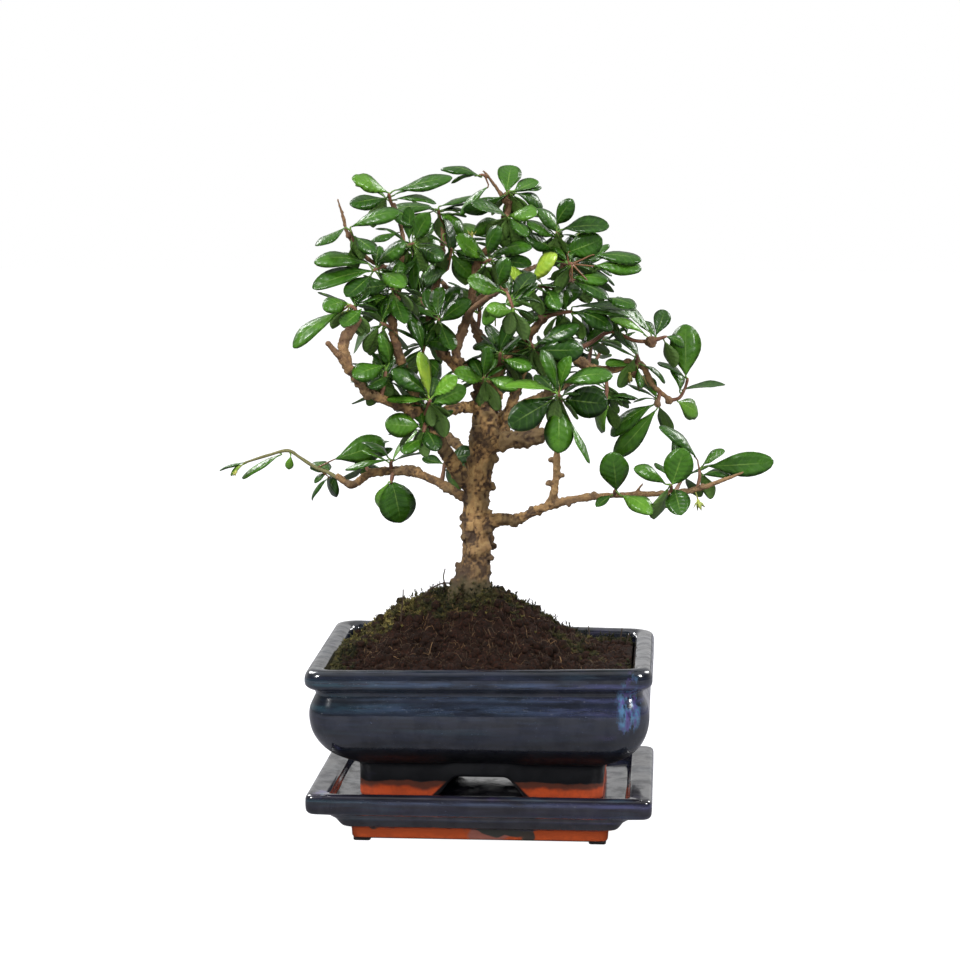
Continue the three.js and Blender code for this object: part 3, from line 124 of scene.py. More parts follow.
def lattice_value(corner: Array, seed: int) -> Array:
    """A fixed draw from 0 to 1 for each corner of a whole-number lattice: the bits of its indices, mixed.

    Args:
        corner: Whole numbers, one row of three for each corner.
        seed: Another seed gives another lattice.

    Returns:
        One value for each row.
    """
    mixed = corner[:, 0] * 73856093 ^ corner[:, 1] * 19349663 ^ corner[:, 2] * 83492791 ^ seed * 2654435761
    mixed = (mixed ^ (mixed >> 15)) * 2246822519 & 0xFFFFFFFF
    mixed = (mixed ^ (mixed >> 13)) * 3266489917 & 0xFFFFFFFF
    return ((mixed ^ (mixed >> 16)) & 0xFFFFFF) / 0xFFFFFF


def smooth_noise(points: Array, cell: float, seed: int) -> Array:
    """Value noise: the draws at the eight corners of a cell, blended by a smoothstep along each axis.

    Args:
        points: Places, one row of three each.
        cell: The side of a cell, in the units of the points.
        seed: The seed of the lattice.

    Returns:
        A value from -1 to 1 for each place.
    """
    scaled = points / cell
    low = np.floor(scaled).astype(np.int64)
    share = smoothstep(0, 1, scaled - low)
    total = np.zeros(len(points))
    for corner in np.ndindex(2, 2, 2):
        weight = np.prod(np.where(np.array(corner) == 1, share, 1 - share), axis=1)
        total += weight * lattice_value(low + np.array(corner), seed)
    return 2 * total - 1


def layered_noise(points: Array, cell: float, layers: int, seed: int) -> Array:
    """Value noises summed, each with half the cell and half the strength of the one before it."""
    total = sum(smooth_noise(points, cell / 2**n, seed + n) / 2**n for n in range(layers))
    return total / (2 - 2.0 ** (1 - layers))


def seeded_draw(seed: int) -> Callable[[], float]:
    """Draws from 0 to 1: a 32-bit counter, stepped by a fixed odd number and mixed by two products.

    Args:
        seed: Where the counter starts.

    Returns:
        A function that gives the next draw.
    """
    state = seed
    word = 0xFFFFFFFF

    def draw() -> float:
        """The next draw.

        Returns:
            A number from 0 to 1.
        """
        nonlocal state
        state = (state + 0x6D2B79F5) & word
        t = ((state ^ state >> 15) * (state | 1)) & word
        t ^= (t + ((t ^ t >> 7) * (t | 61) & word)) & word
        return ((t ^ t >> 14) & word) / 2**32

    return draw


@dataclass(frozen=True)
class SightLine:
    """The eye from which the tree was measured, in millimetres from the pot's middle on the ground.

    The object stands turned by a few degrees under it. across runs to the right, back away from the eye.
    """

    across: float = -2.8
    back: float = -1180.0
    up: float = 295.0
    turn: float = math.radians(4.1)
    shift: tuple[float, float] = (0.0, 0.0)

    def place(self, across: Array, back: Array, up: Array) -> Array:
        """Turns (across, back, up) into the part's own x, y and z, in millimetres.

        Args:
            across: To the right, as the eye sees it.
            back: Away from the eye.
            up: Above the ground.

        Returns:
            Rows of x, y and z.
        """
        cos, sin = math.cos(self.turn), math.sin(self.turn)
        x = np.asarray(across * cos - back * sin + self.shift[0], float)
        y = np.asarray(across * sin + back * cos + self.shift[1], float)
        return np.stack([x, y, np.asarray(up, float) + 0 * x], axis=-1)

    def seen(self, stations: Array) -> Array:
        """The points seen at (across, up) in the trunk's plane, moved back along their lines of sight.

        Args:
            stations: Rows of across, up and back.

        Returns:
            Rows of x, y and z.
        """
        rows = np.asarray(stations, float)
        back = rows[..., 2]
        reach = (back - self.back) / -self.back
        across = self.across + (rows[..., 0] - self.across) * reach
        up = self.up + (rows[..., 1] - self.up) * reach
        return self.place(across, back, up)

    def unseen(self, point: Array) -> Array:
        """The (across, up, back) at which the eye sees a point: the reverse of seen.

        Args:
            point: Rows of x, y and z.

        Returns:
            Rows of across, up and back.
        """
        cos, sin = math.cos(self.turn), math.sin(self.turn)
        x = point[..., 0] - self.shift[0]
        y = point[..., 1] - self.shift[1]
        across = x * cos + y * sin
        back = y * cos - x * sin
        reach = (back - self.back) / -self.back
        return np.stack(
            [
                self.across + (across - self.across) / reach,
                self.up + (point[..., 2] - self.up) / reach,
                back,
            ],
            axis=-1,
        )

    def eye(self) -> Array:
        """The eye's own place."""
        return self.place(np.float64(self.across), np.float64(self.back), np.float64(self.up))


def pot_middle() -> tuple[float, float]:
    """The x and y of the pot's middle, in millimetres: every measure of the tree counts from there."""
    low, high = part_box("pot")
    return ((low.x + high.x) / 2 / MM, (low.y + high.y) / 2 / MM)


SIGHT = SightLine(shift=pot_middle())


class Curve:
    """A smooth curve through given points: a centripetal Catmull-Rom spline.

    Between two points the curve is a cubic. Its slopes there come from the neighbours, weighed by the square
    roots of the distances, and past each end the last chord is repeated.
    """

    LENGTH_STEPS = 200

    def __init__(self, points: Array) -> None:
        """Keeps the points and measures the curve along 200 chords.

        Args:
            points: Rows of x, y and z.
        """
        self.points = np.asarray(points, float)
        ends = [2 * self.points[0] - self.points[1], 2 * self.points[-1] - self.points[-2]]
        self.padded = np.vstack([ends[0], self.points, ends[1]])
        self.shares = np.linspace(0, 1, self.LENGTH_STEPS + 1)
        chords = np.linalg.norm(np.diff(self.at(self.shares), axis=0), axis=1)
        self.lengths = np.concatenate([[0], np.cumsum(chords)])

    def at(self, share: Array) -> Array:
        """The points at shares of the curve's own parameter, from 0 to 1.

        Args:
            share: Shares, from 0 at the start to 1 at the end.

        Returns:
            Rows of x, y and z.
        """
        pieces = len(self.points) - 1
        place = np.atleast_1d(share) * pieces
        index = np.clip(np.floor(place).astype(int), 0, pieces - 1)
        t = (place - index)[:, None]
        p0, p1, p2, p3 = (self.padded[index + n] for n in range(4))
        pairs = ((p0, p1), (p1, p2), (p2, p3))
        d0, d1, d2 = (np.linalg.norm(b - a, axis=1)[:, None] ** 0.5 for a, b in pairs)
        slope1 = ((p1 - p0) / d0 - (p2 - p0) / (d0 + d1) + (p2 - p1) / d1) * d1
        slope2 = ((p2 - p1) / d1 - (p3 - p1) / (d1 + d2) + (p3 - p2) / d2) * d1
        cubic = 2 * p1 - 2 * p2 + slope1 + slope2
        square = -3 * p1 + 3 * p2 - 2 * slope1 - slope2
        return p1 + slope1 * t + square * t**2 + cubic * t**3

    def by_length(self, share: Array) -> Array:
        """The points at shares of the curve's length."""
        return self.at(self.parameter(share))

    def parameter(self, share: Array) -> Array:
        """The curve's own parameter at shares of its length."""
        return np.interp(np.atleast_1d(share) * self.lengths[-1], self.lengths, self.shares)

    @property
    def length(self) -> float:
        """The whole length."""
        return float(self.lengths[-1])


def new_mesh(name: str, points: Array, faces: Array) -> bpy.types.Object:
    """A smooth-shaded mesh object in the scene, its points turned from millimetres into metres.

    Args:
        name: The object's name.
        points: Rows of x, y and z in millimetres.
        faces: Rows of three corner numbers.

    Returns:
        The object, at the origin.
    """
    mesh = bpy.data.meshes.new(name)
    points = np.asarray(points, float) * MM
    mesh.vertices.add(len(points))
    mesh.vertices.foreach_set("co", points.astype(np.float32).ravel())
    mesh.loops.add(faces.size)
    mesh.loops.foreach_set("vertex_index", faces.astype(np.int32).ravel())
    mesh.polygons.add(len(faces))
    mesh.polygons.foreach_set("loop_start", np.arange(0, faces.size, 3, dtype=np.int32))
    mesh.polygons.foreach_set("use_smooth", np.ones(len(faces), bool))
    mesh.update(calc_edges=True)
    mesh.validate()
    piece = bpy.data.objects.new(name, mesh)
    bpy.context.scene.collection.objects.link(piece)
    return piece


def set_attribute(piece: bpy.types.Object, name: str, values: Array) -> None:
    """Writes one number, or one row of three, for each vertex as a named attribute of the mesh.

    Args:
        piece: The mesh object.
        name: The attribute's name.
        values: A number, or a row of three, for each vertex.
    """
    kind = "FLOAT" if values.ndim == 1 else "FLOAT_VECTOR"
    layer = piece.data.attributes.new(name, kind, "POINT")
    layer.data.foreach_set("value" if values.ndim == 1 else "vector", values.astype(np.float32).ravel())


def grid_faces(rows: int, columns: int, turned: int | None = None) -> Array:
    """The triangles of a grid whose points run row by row, each row a ring, two for each square.

    Args:
        rows: Points along the first parameter.
        columns: Points along the second.
        turned: The first column whose squares are split along their other diagonal, if any are.

    Returns:
        Rows of three corner numbers, facing along the first parameter's side crossed with the second's.
    """
    row, column = np.meshgrid(np.arange(rows - 1), np.arange(columns), indexing="ij")
    following = (column + 1) % columns
    here = row * columns + column
    beside = row * columns + following
    below = here + columns
    across = beside + columns
    triangles = np.stack([here, below, across, here, across, beside], axis=-1)
    if turned is not None:
        other = np.stack([here, below, beside, below, across, beside], axis=-1)
        triangles = np.where((column < turned)[..., None], triangles, other)
    return triangles.reshape(-1, 3)


class Parts:
    """Gathers points, triangles and vertex attributes of many small shapes into one mesh."""

    def __init__(self) -> None:
        """Starts empty."""
        self.points: list[Array] = []
        self.faces: list[Array] = []
        self.values: dict[str, list[Array]] = {}
        self.count = 0

    def add(self, points: Array, faces: Array, **values: Array | float) -> None:
        """Adds one shape.

        Args:
            points: Rows of x, y and z in millimetres.
            faces: Rows of three corner numbers that count from this shape's first point.
            **values: For each attribute one number, or one for each point, or one row for each point.
        """
        self.points.append(points)
        self.faces.append(faces + self.count)
        self.count += len(points)
        for name, value in values.items():
            whole = np.asarray(value, float)
            full = np.full(len(points), float(whole)) if whole.ndim == 0 else whole
            self.values.setdefault(name, []).append(full)

    def build(self, name: str) -> bpy.types.Object:
        """The mesh object of all shapes, with their attributes.

        Args:
            name: The object's name.

        Returns:
            The object.
        """
        piece = new_mesh(name, np.vstack(self.points), np.vstack(self.faces))
        for attribute, values in self.values.items():
            set_attribute(piece, attribute, np.concatenate(values))
        return piece


def swept_tube(centres: Array, radii: Array, sides: int) -> tuple[Array, Array]:
    """A tube along a line of points, closed at both ends by a pole.

    Each ring lies across the line's direction. Its first spoke is carried from ring to ring with the least
    turning: the spoke before, less its share along the new direction, made one long again.

    Args:
        centres: Rows of x, y and z along the middle.
        radii: The radius at each.
        sides: Points round each ring.

    Returns:
        The points and the triangles.
    """
    tangents = unit(np.gradient(centres, axis=0))
    spokes = np.empty_like(centres)
    spoke = np.cross(tangents[0], [0.31, -0.95, 0.12])
    for ring, tangent in enumerate(tangents):
        spoke = spoke - tangent * (spoke @ tangent)
        spoke = spoke / np.linalg.norm(spoke)
        spokes[ring] = spoke
    others = np.cross(tangents, spokes)
    turn = np.arange(sides) / sides
    cos = np.cos(2 * np.pi * turn)[None, :, None]
    sin = np.sin(2 * np.pi * turn)[None, :, None]
    rings = centres[:, None] + radii[:, None, None] * (cos * spokes[:, None] + sin * others[:, None])
    count = len(centres)
    ends = np.stack([centres[0], centres[-1]])
    points = np.vstack([rings.reshape(-1, 3), ends])
    body = grid_faces(count, sides)
    first = np.arange(sides)
    after = (first + 1) % sides
    low, high = count * sides, count * sides + 1
    top = (count - 1) * sides
    caps = np.vstack(
        [
            np.stack([first, after, np.full(sides, low)], axis=-1),
            np.stack([top + after, top + first, np.full(sides, high)], axis=-1),
        ]
    )
    return points, np.vstack([body[:, ::-1], caps[:, ::-1]])


class RoundedBox:
    """Rings that are rectangles with round corners, all with the same number of points.

    The points go round from +X towards +Y: an arc at each corner, then even steps along the side. A point of
    an arc is the arc's centre, which lies its radius inside the corner, plus the radius along the spoke.
    """

    def __init__(self, corner_steps: int, side_steps: int) -> None:
        """Lays out one turn.

        Args:
            corner_steps: Steps round each corner.
            side_steps: Steps along each side.
        """
        self.per_quarter = corner_steps + side_steps
        self.count = 4 * self.per_quarter
        step = np.arange(self.count) % self.per_quarter
        self.quarter = np.arange(self.count) // self.per_quarter
        self.arc = np.minimum(step / corner_steps, 1)
        self.along = np.clip((step - corner_steps) / side_steps, 0, 1)

    def ring(self, half_length: Array, half_depth: Array, radius: Array) -> tuple[Array, Array]:
        """The x and y of the points of one ring, or of many when the sizes are columns.

        Args:
            half_length: Half the size along X.
            half_depth: Half the size along Y.
            radius: The radius of the corners.

        Returns:
            The x and the y of each point.
        """
        angle = (self.quarter + self.arc) * np.pi / 2
        signs_x = np.array([1, -1, -1, 1, 1])
        signs_y = np.array([1, 1, -1, -1, 1])
        x = signs_x[self.quarter] * (half_length - radius) + radius * np.cos(angle)
        y = signs_y[self.quarter] * (half_depth - radius) + radius * np.sin(angle)
        next_x = signs_x[self.quarter + 1] * (half_length - radius) + radius * np.cos(angle)
        next_y = signs_y[self.quarter + 1] * (half_depth - radius) + radius * np.sin(angle)
        return x + (next_x - x) * self.along, y + (next_y - y) * self.along


def smooth_profile(rings: Sequence[Sequence[float]], spacing: float) -> Array:
    """Rings [half length, half depth, height, corner radius], refined along a smooth curve through them.

    Args:
        rings: The rings that shape the profile.
        spacing: The distance between two refined rings, in millimetres.

    Returns:
        Rows of the same four numbers.
    """
    curve = Curve(np.array(rings, float))
    steps = max(2, round(curve.length / spacing))
    return curve.by_length(np.linspace(0, 1, steps + 1))


def wall_surface(profile: Array, layout: RoundedBox, middle: tuple[float, float]) -> tuple[Array, Array]:
    """The closed surface of a profile of rings whose first and last ring are closed by a point on the axis.

    Args:
        profile: Rows of half length, half depth, height and corner radius, from below to above and inwards.
        layout: How many points a ring has.
        middle: The axis, as x and y.

    Returns:
        The points and the triangles.
    """
    columns = [profile[:, n][:, None] for n in (0, 1, 3)]
    x, y = layout.ring(*columns)
    z = np.broadcast_to(profile[:, 2][:, None], x.shape)
    rings = np.stack([x + middle[0], y + middle[1], z], axis=-1)
    ends = np.array([[middle[0], middle[1], profile[0, 2]], [middle[0], middle[1], profile[-1, 2]]])
    points = np.vstack([rings.reshape(-1, 3), ends])
    body = grid_faces(len(profile), layout.count)[:, ::-1]
    first = np.arange(layout.count)
    after = (first + 1) % layout.count
    low, high = len(points) - 2, len(points) - 1
    top = (len(profile) - 1) * layout.count
    bottom_cap = np.stack([after, first, np.full(layout.count, low)], axis=-1)
    top_cap = np.stack([top + first, top + after, np.full(layout.count, high)], axis=-1)
    return points, np.vstack([body, bottom_cap, top_cap])


def cut_away(piece: bpy.types.Object, cutter: bpy.types.Object) -> None:
    """Cuts one mesh out of another for good, and removes the cutter.

    Args:
        piece: The mesh object.
        cutter: The closed mesh that is cut out of it.
    """
    modifier = piece.modifiers.new("cut", "BOOLEAN")
    modifier.object = cutter
    modifier.solver = "EXACT"
    bake_modifiers(piece)
    bpy.data.objects.remove(cutter)


def bake_modifiers(piece: bpy.types.Object) -> None:
    """Replaces a mesh by what its modifiers make of it.

    Args:
        piece: The mesh object.
    """
    evaluated = piece.evaluated_get(bpy.context.evaluated_depsgraph_get())
    mesh = bpy.data.meshes.new_from_object(evaluated)
    piece.modifiers.clear()
    piece.data = mesh


def finish_piece(
    piece: bpy.types.Object, slot: Slot, material: bpy.types.Material, *nodes: str
) -> bpy.types.Object:
    """Gives a piece its material and its body, and hides the CAD nodes that it stands for.

    Args:
        piece: The finished mesh object.
        slot: The record's slot. It is not used.
        material: What it is made of.
        *nodes: The CAD nodes that it replaces.

    Returns:
        The piece.
    """
    piece.data.materials.clear()
    piece.data.materials.append(material)
    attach(piece, BODY)
    if nodes:
        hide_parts(*nodes)
    LOG.info("%s: %d faces", piece.name, len(piece.data.polygons))
    return piece


@dataclass
class Saucer:
    """The glazed tray: a rolled lip, a flat floor, and steps down to a clay foot on four small feet."""

    half_length: float = 75.1
    half_depth: float = 55.6
    top: float = 22.4
    floor: float = 17.5
    lip: float = 8.8
    corner: float = 3.5
    foot_half_length: float = 56.4
    foot_half_depth: float = 45.8
    foot_top: float = 6.2
    foot_height: float = 1.3
    foot_length: float = 7.5
    foot_width: float = 6.0
    spacing: float = 0.9

    def profile(self) -> Array:
        """The rings from the middle below, out over the foot, up to the lip and in along the floor.

        Returns:
            Rows of half length, half depth, height and corner radius.
        """
        a, b = self.half_length, self.half_depth
        fa, fb = self.foot_half_length, self.foot_half_depth
        low = self.top - self.lip
        under = self.floor - 6
        below = [
            (8, 8, under, 1), (fa - 9, fb - 9, under, 3), (fa - 8.4, fb - 8.4, under - 0.4, 3),
            (fa - 7.5, fb - 7.5, self.foot_height + 0.4, 3), (fa - 7, fb - 7, self.foot_height, 3),
            (fa - 1, fb - 1, self.foot_height, 4), (fa - 0.5, fb - 0.5, self.foot_height + 0.4, 4),
            (fa, fb, self.foot_top - 0.3, 4), (fa + 0.8, fb + 0.3, self.foot_top + 0.1, 4),
        ]
        steps = [
            (fa + 3.6, fb + 1.9, self.foot_top + 0.9, 4), (fa + 4.2, fb + 2.3, self.foot_top + 1.4, 4),
            (fa + 6, fb + 4.1, self.foot_top + 4, 4), (fa + 6.4, fb + 4.4, self.foot_top + 4.5, 4),
            (fa + 8.2, fb + 5.7, self.foot_top + 5.8, 4), (fa + 9, fb + 6.3, self.foot_top + 6.5, 4),
            (a - 2.6, b - 2.1, low - 0.1, self.corner), (a - 1.2, b - 1.2, low + 0.2, self.corner),
        ]
        lip = [
            (a - 0.25, b - 0.25, low + 1.5, self.corner), (a, b, low + 3, self.corner),
            (a, b, self.top - 2.2, self.corner), (a - 0.35, b - 0.35, self.top - 0.9, self.corner),
            (a - 1.2, b - 1.2, self.top - 0.2, self.corner), (a - 2.2, b - 2.2, self.top, 3),
            (a - 9, b - 4.9, self.top - 0.3, 3), (a - 10, b - 5.7, self.top - 0.8, 3),
            (a - 11, b - 6.5, self.floor + 0.8, 3), (a - 12, b - 7.2, self.floor + 0.15, 3),
            (a - 14, b - 9, self.floor, 3), (20, 12, self.floor, 2), (8, 6, self.floor, 1),
        ]
        return smooth_profile(below + steps + lip, self.spacing)

    def corner_foot(self, side_x: int, side_y: int) -> tuple[Array, Array]:
        """A small flat foot under one corner of the foot ring: a low round-cornered block.

        Args:
            side_x: 1 on the right, -1 on the left.
            side_y: 1 behind, -1 in front.

        Returns:
            The points and the triangles.
        """
        a, b = self.foot_length / 2, self.foot_width / 2
        rings = [
            (1, 1, 0, 0.4), (a - 0.4, b - 0.4, 0, 0.8), (a, b, 0.35, 1), (a, b, 1.9, 1), (1, 1, 2.1, 0.4),
        ]
        x, y = pot_middle()
        centre = (
            x + side_x * (self.foot_half_length - 1.2 - self.foot_length / 2),
            y + side_y * (self.foot_half_depth - 4.2),
        )
        return wall_surface(np.array(rings, float), RoundedBox(3, 2), centre)

    def build(self, material: bpy.types.Material) -> bpy.types.Object:
        """Makes the saucer with its feet and dresses it.

        Args:
            material: What the piece is made of.

        Returns:
            The finished piece.
        """
        parts = Parts()
        points, faces = wall_surface(self.profile(), RoundedBox(6, 44), pot_middle())
        sway = layered_noise(points, 23.0, 3, Seed.SAUCER_SWAY)[:, None] * np.array([0.12, 0.12, 0.1])
        soft = smoothstep(self.foot_height, self.foot_top + 2, points[:, 2])[:, None]
        parts.add(points + sway * soft, faces)
        for side_x in (-1, 1):
            for side_y in (-1, 1):
                parts.add(*self.corner_foot(side_x, side_y))
        piece = parts.build("saucer_body")
        return finish_piece(piece, Slot.SAUCER, material, "saucer")


@dataclass
class Pot:
    """The pot: a clay foot with an arch in its front and back, a swelling belly, a neck and a rolled rim."""

    half_length: float = 75.0
    half_depth: float = 60.5
    top: float = 78.7
    corner: float = 8.0
    wall: float = 5.0
    floor: float = 34.5
    foot_half_length: float = 53.6
    foot_half_depth: float = 36.0
    foot_low: float = 17.5
    foot_wall: float = 7.0
    arch_half_width: float = 19.75
    arch_half_crown: float = 10.0
    arch_height: float = 9.5
    arch_ceiling: float = 35.0
    drain_radius: float = 5.0
    drain_spacing: float = 52.0
    warp: float = 0.0003
    warp_low: float = 45.0
    spacing: float = 0.85

    def outside(self) -> list[tuple[float, float, float, float]]:
        """The rings of the outside, from the foot's lower edge to the top of the rim.

        Returns:
            The rings.
        """
        a, b, c = self.half_length, self.half_depth, self.corner
        fa, fb = self.foot_half_length, self.foot_half_depth
        return [
            (fa - 0.8, fb - 0.8, self.foot_low, 6), (fa - 0.2, fb - 0.2, self.foot_low + 0.6, 6),
            (fa, fb, self.foot_low + 1.8, 6), (fa + 0.2, fb + 0.2, 31.6, 6), (fa + 0.8, fb + 0.8, 32.8, 6),
            (58, 41.5, 34.4, 8), (62.5, 46.6, 37, 9), (a - 8.6, b - 9.2, 40, 10.5),
            (a - 4.6, b - 5, 44.8, 12),
            (a - 2.2, b - 2.4, 50.4, 12), (a - 1.3, b - 1.5, 56, 12), (a - 1.6, b - 1.8, 60.5, 11.5),
            (a - 3.4, b - 3.4, 65, 10), (a - 4.2, b - 4.2, 67, 9), (a - 3.7, b - 3.7, 68.6, 8.5),
            (a - 1.5, b - 1.5, 70.2, c), (a - 0.3, b - 0.3, 71.7, c), (a, b, 73.8, c),
            (a - 0.2, b - 0.2, 75.8, c),
            (a - 1.1, b - 1.1, 77.7, c), (a - 2.8, b - 2.8, self.top - 0.1, c),
            (a - 4.8, b - 4.8, self.top, c - 1),
        ]

    def inside(self) -> list[tuple[float, float, float, float]]:
        """The rings of the inside, from the rim down to the floor.

        Returns:
            The rings.
        """
        a, b, w = self.half_length, self.half_depth, self.wall
        return [
            (a - 7, b - 7, self.top - 0.5, 5.5), (a - 8.4, b - 8.4, self.top - 1.6, 5), (a - 9, b - 9, 75, 5),
            (a - 2 - w, b - 2 - w, 58, 7), (a - 5 - w, b - 5 - w, 48, 7), (a - 11 - w, b - 11 - w, 42, 7),
            (46, 30, self.floor, 5), (20, 14, self.floor, 3), (6, 5, self.floor, 1),
        ]

    def underneath(self) -> list[tuple[float, float, float, float]]:
        """The rings of the hollow under the floor, from its middle to the foot's lower edge.

        Returns:
            The rings.
        """
        fa, fb, w = self.foot_half_length, self.foot_half_depth, self.foot_wall
        under = self.floor - 6
        return [
            (6, 5, under, 1), (20, 14, under, 3), (fa - w - 2.2, fb - w - 2.2, under, 3),
            (fa - w - 1.2, fb - w - 1.2, under - 0.8, 3), (fa - w, fb - w, self.foot_low + 0.7, 4),
            (fa - w + 0.6, fb - w + 0.6, self.foot_low, 4), (fa - 3, fb - 3, self.foot_low, 5),
        ]

    def raise_arches(self, points: Array, middle: tuple[float, float]) -> None:
        """Lifts the foot's lower edge into an arch in the front and in the back.

        Under the arch the foot's wall is squeezed upwards: each height keeps its share between the lower
        edge, which follows the arch, and the line where the foot ends.

        Args:
            points: Rows of x, y and z in millimetres.
            middle: The x and y of the pot's middle.
        """
        x = np.abs(points[:, 0] - middle[0])
        y = np.abs(points[:, 1] - middle[1])
        slope = np.clip((self.arch_half_width - x) / (self.arch_half_width - self.arch_half_crown), 0, 1)
        arch = self.arch_height * np.sin(slope * np.pi / 2) ** 1.4
        z = points[:, 2]
        outer = y > self.foot_half_depth - self.foot_wall / 2
        ceiling = np.where(outer, self.arch_ceiling, self.floor - 6)
        behind_wall = y > self.foot_half_depth - self.foot_wall - 1.3
        in_wall = behind_wall & (z < ceiling) & (x < self.arch_half_width)
        share = (z - self.foot_low) / (ceiling - self.foot_low)
        lifted = self.foot_low + arch + share * (ceiling - self.foot_low - arch)
        points[:, 2] = np.where(in_wall, lifted, z)

    def warp_rim(self, points: Array, middle: tuple[float, float]) -> None:
        """Twists the rim as the kiln left it: two opposite corners stand a little higher than the others."""
        ramp = np.clip((points[:, 2] - self.warp_low) / (self.top - self.warp_low), 0, 1)
        points[:, 2] -= self.warp * (points[:, 0] - middle[0]) * (points[:, 1] - middle[1]) * ramp

    def drains(self, middle: tuple[float, float]) -> bpy.types.Object:
        """Two upright round bars where water runs out through the floor.

        Args:
            middle: The x and y of the pot's middle.

        Returns:
            The bars as one object.
        """
        parts = Parts()
        for side in (-1, 1):
            x = middle[0] + side * self.drain_spacing / 2
            line = np.array([[x, middle[1], z] for z in (20.0, 26.0, 32.0, 38.0)])
            points, faces = swept_tube(line, np.full(4, self.drain_radius), 20)
            parts.add(points, faces)
        return parts.build("drain_cutter")

    def build(self, material: bpy.types.Material) -> bpy.types.Object:
        """Makes the pot and dresses it.

        Args:
            material: What the piece is made of.

        Returns:
            The finished piece.
        """
        middle = pot_middle()
        rings = self.underneath() + self.outside() + self.inside()
        points, faces = wall_surface(smooth_profile(rings, self.spacing), RoundedBox(12, 64), middle)
        sway = layered_noise(points, 31.0, 3, Seed.POT_SWAY)[:, None] * np.array([0.16, 0.16, 0.1])
        points += sway * smoothstep(self.floor, self.floor + 8, points[:, 2])[:, None]
        self.raise_arches(points, middle)
        self.warp_rim(points, middle)
        piece = new_mesh("pot_body", points, faces)
        cut_away(piece, self.drains(middle))
        piece.data.shade_smooth()
        return finish_piece(piece, Slot.POT, material, "pot")


@dataclass(frozen=True)
class Swell:
    """A soft rise over the middle (x, y), one high there: it falls off with the distance's square."""

    x: float
    y: float
    spread_x: float | Array
    spread_y: float
    height: float = 1.0

    def at(self, x: Array, y: Array) -> Array:
        """Its height at places, all counted from the pot's middle."""
        bell = np.exp(-(((x - self.x) / self.spread_x) ** 2) - ((y - self.y) / self.spread_y) ** 2)
        return self.height * bell


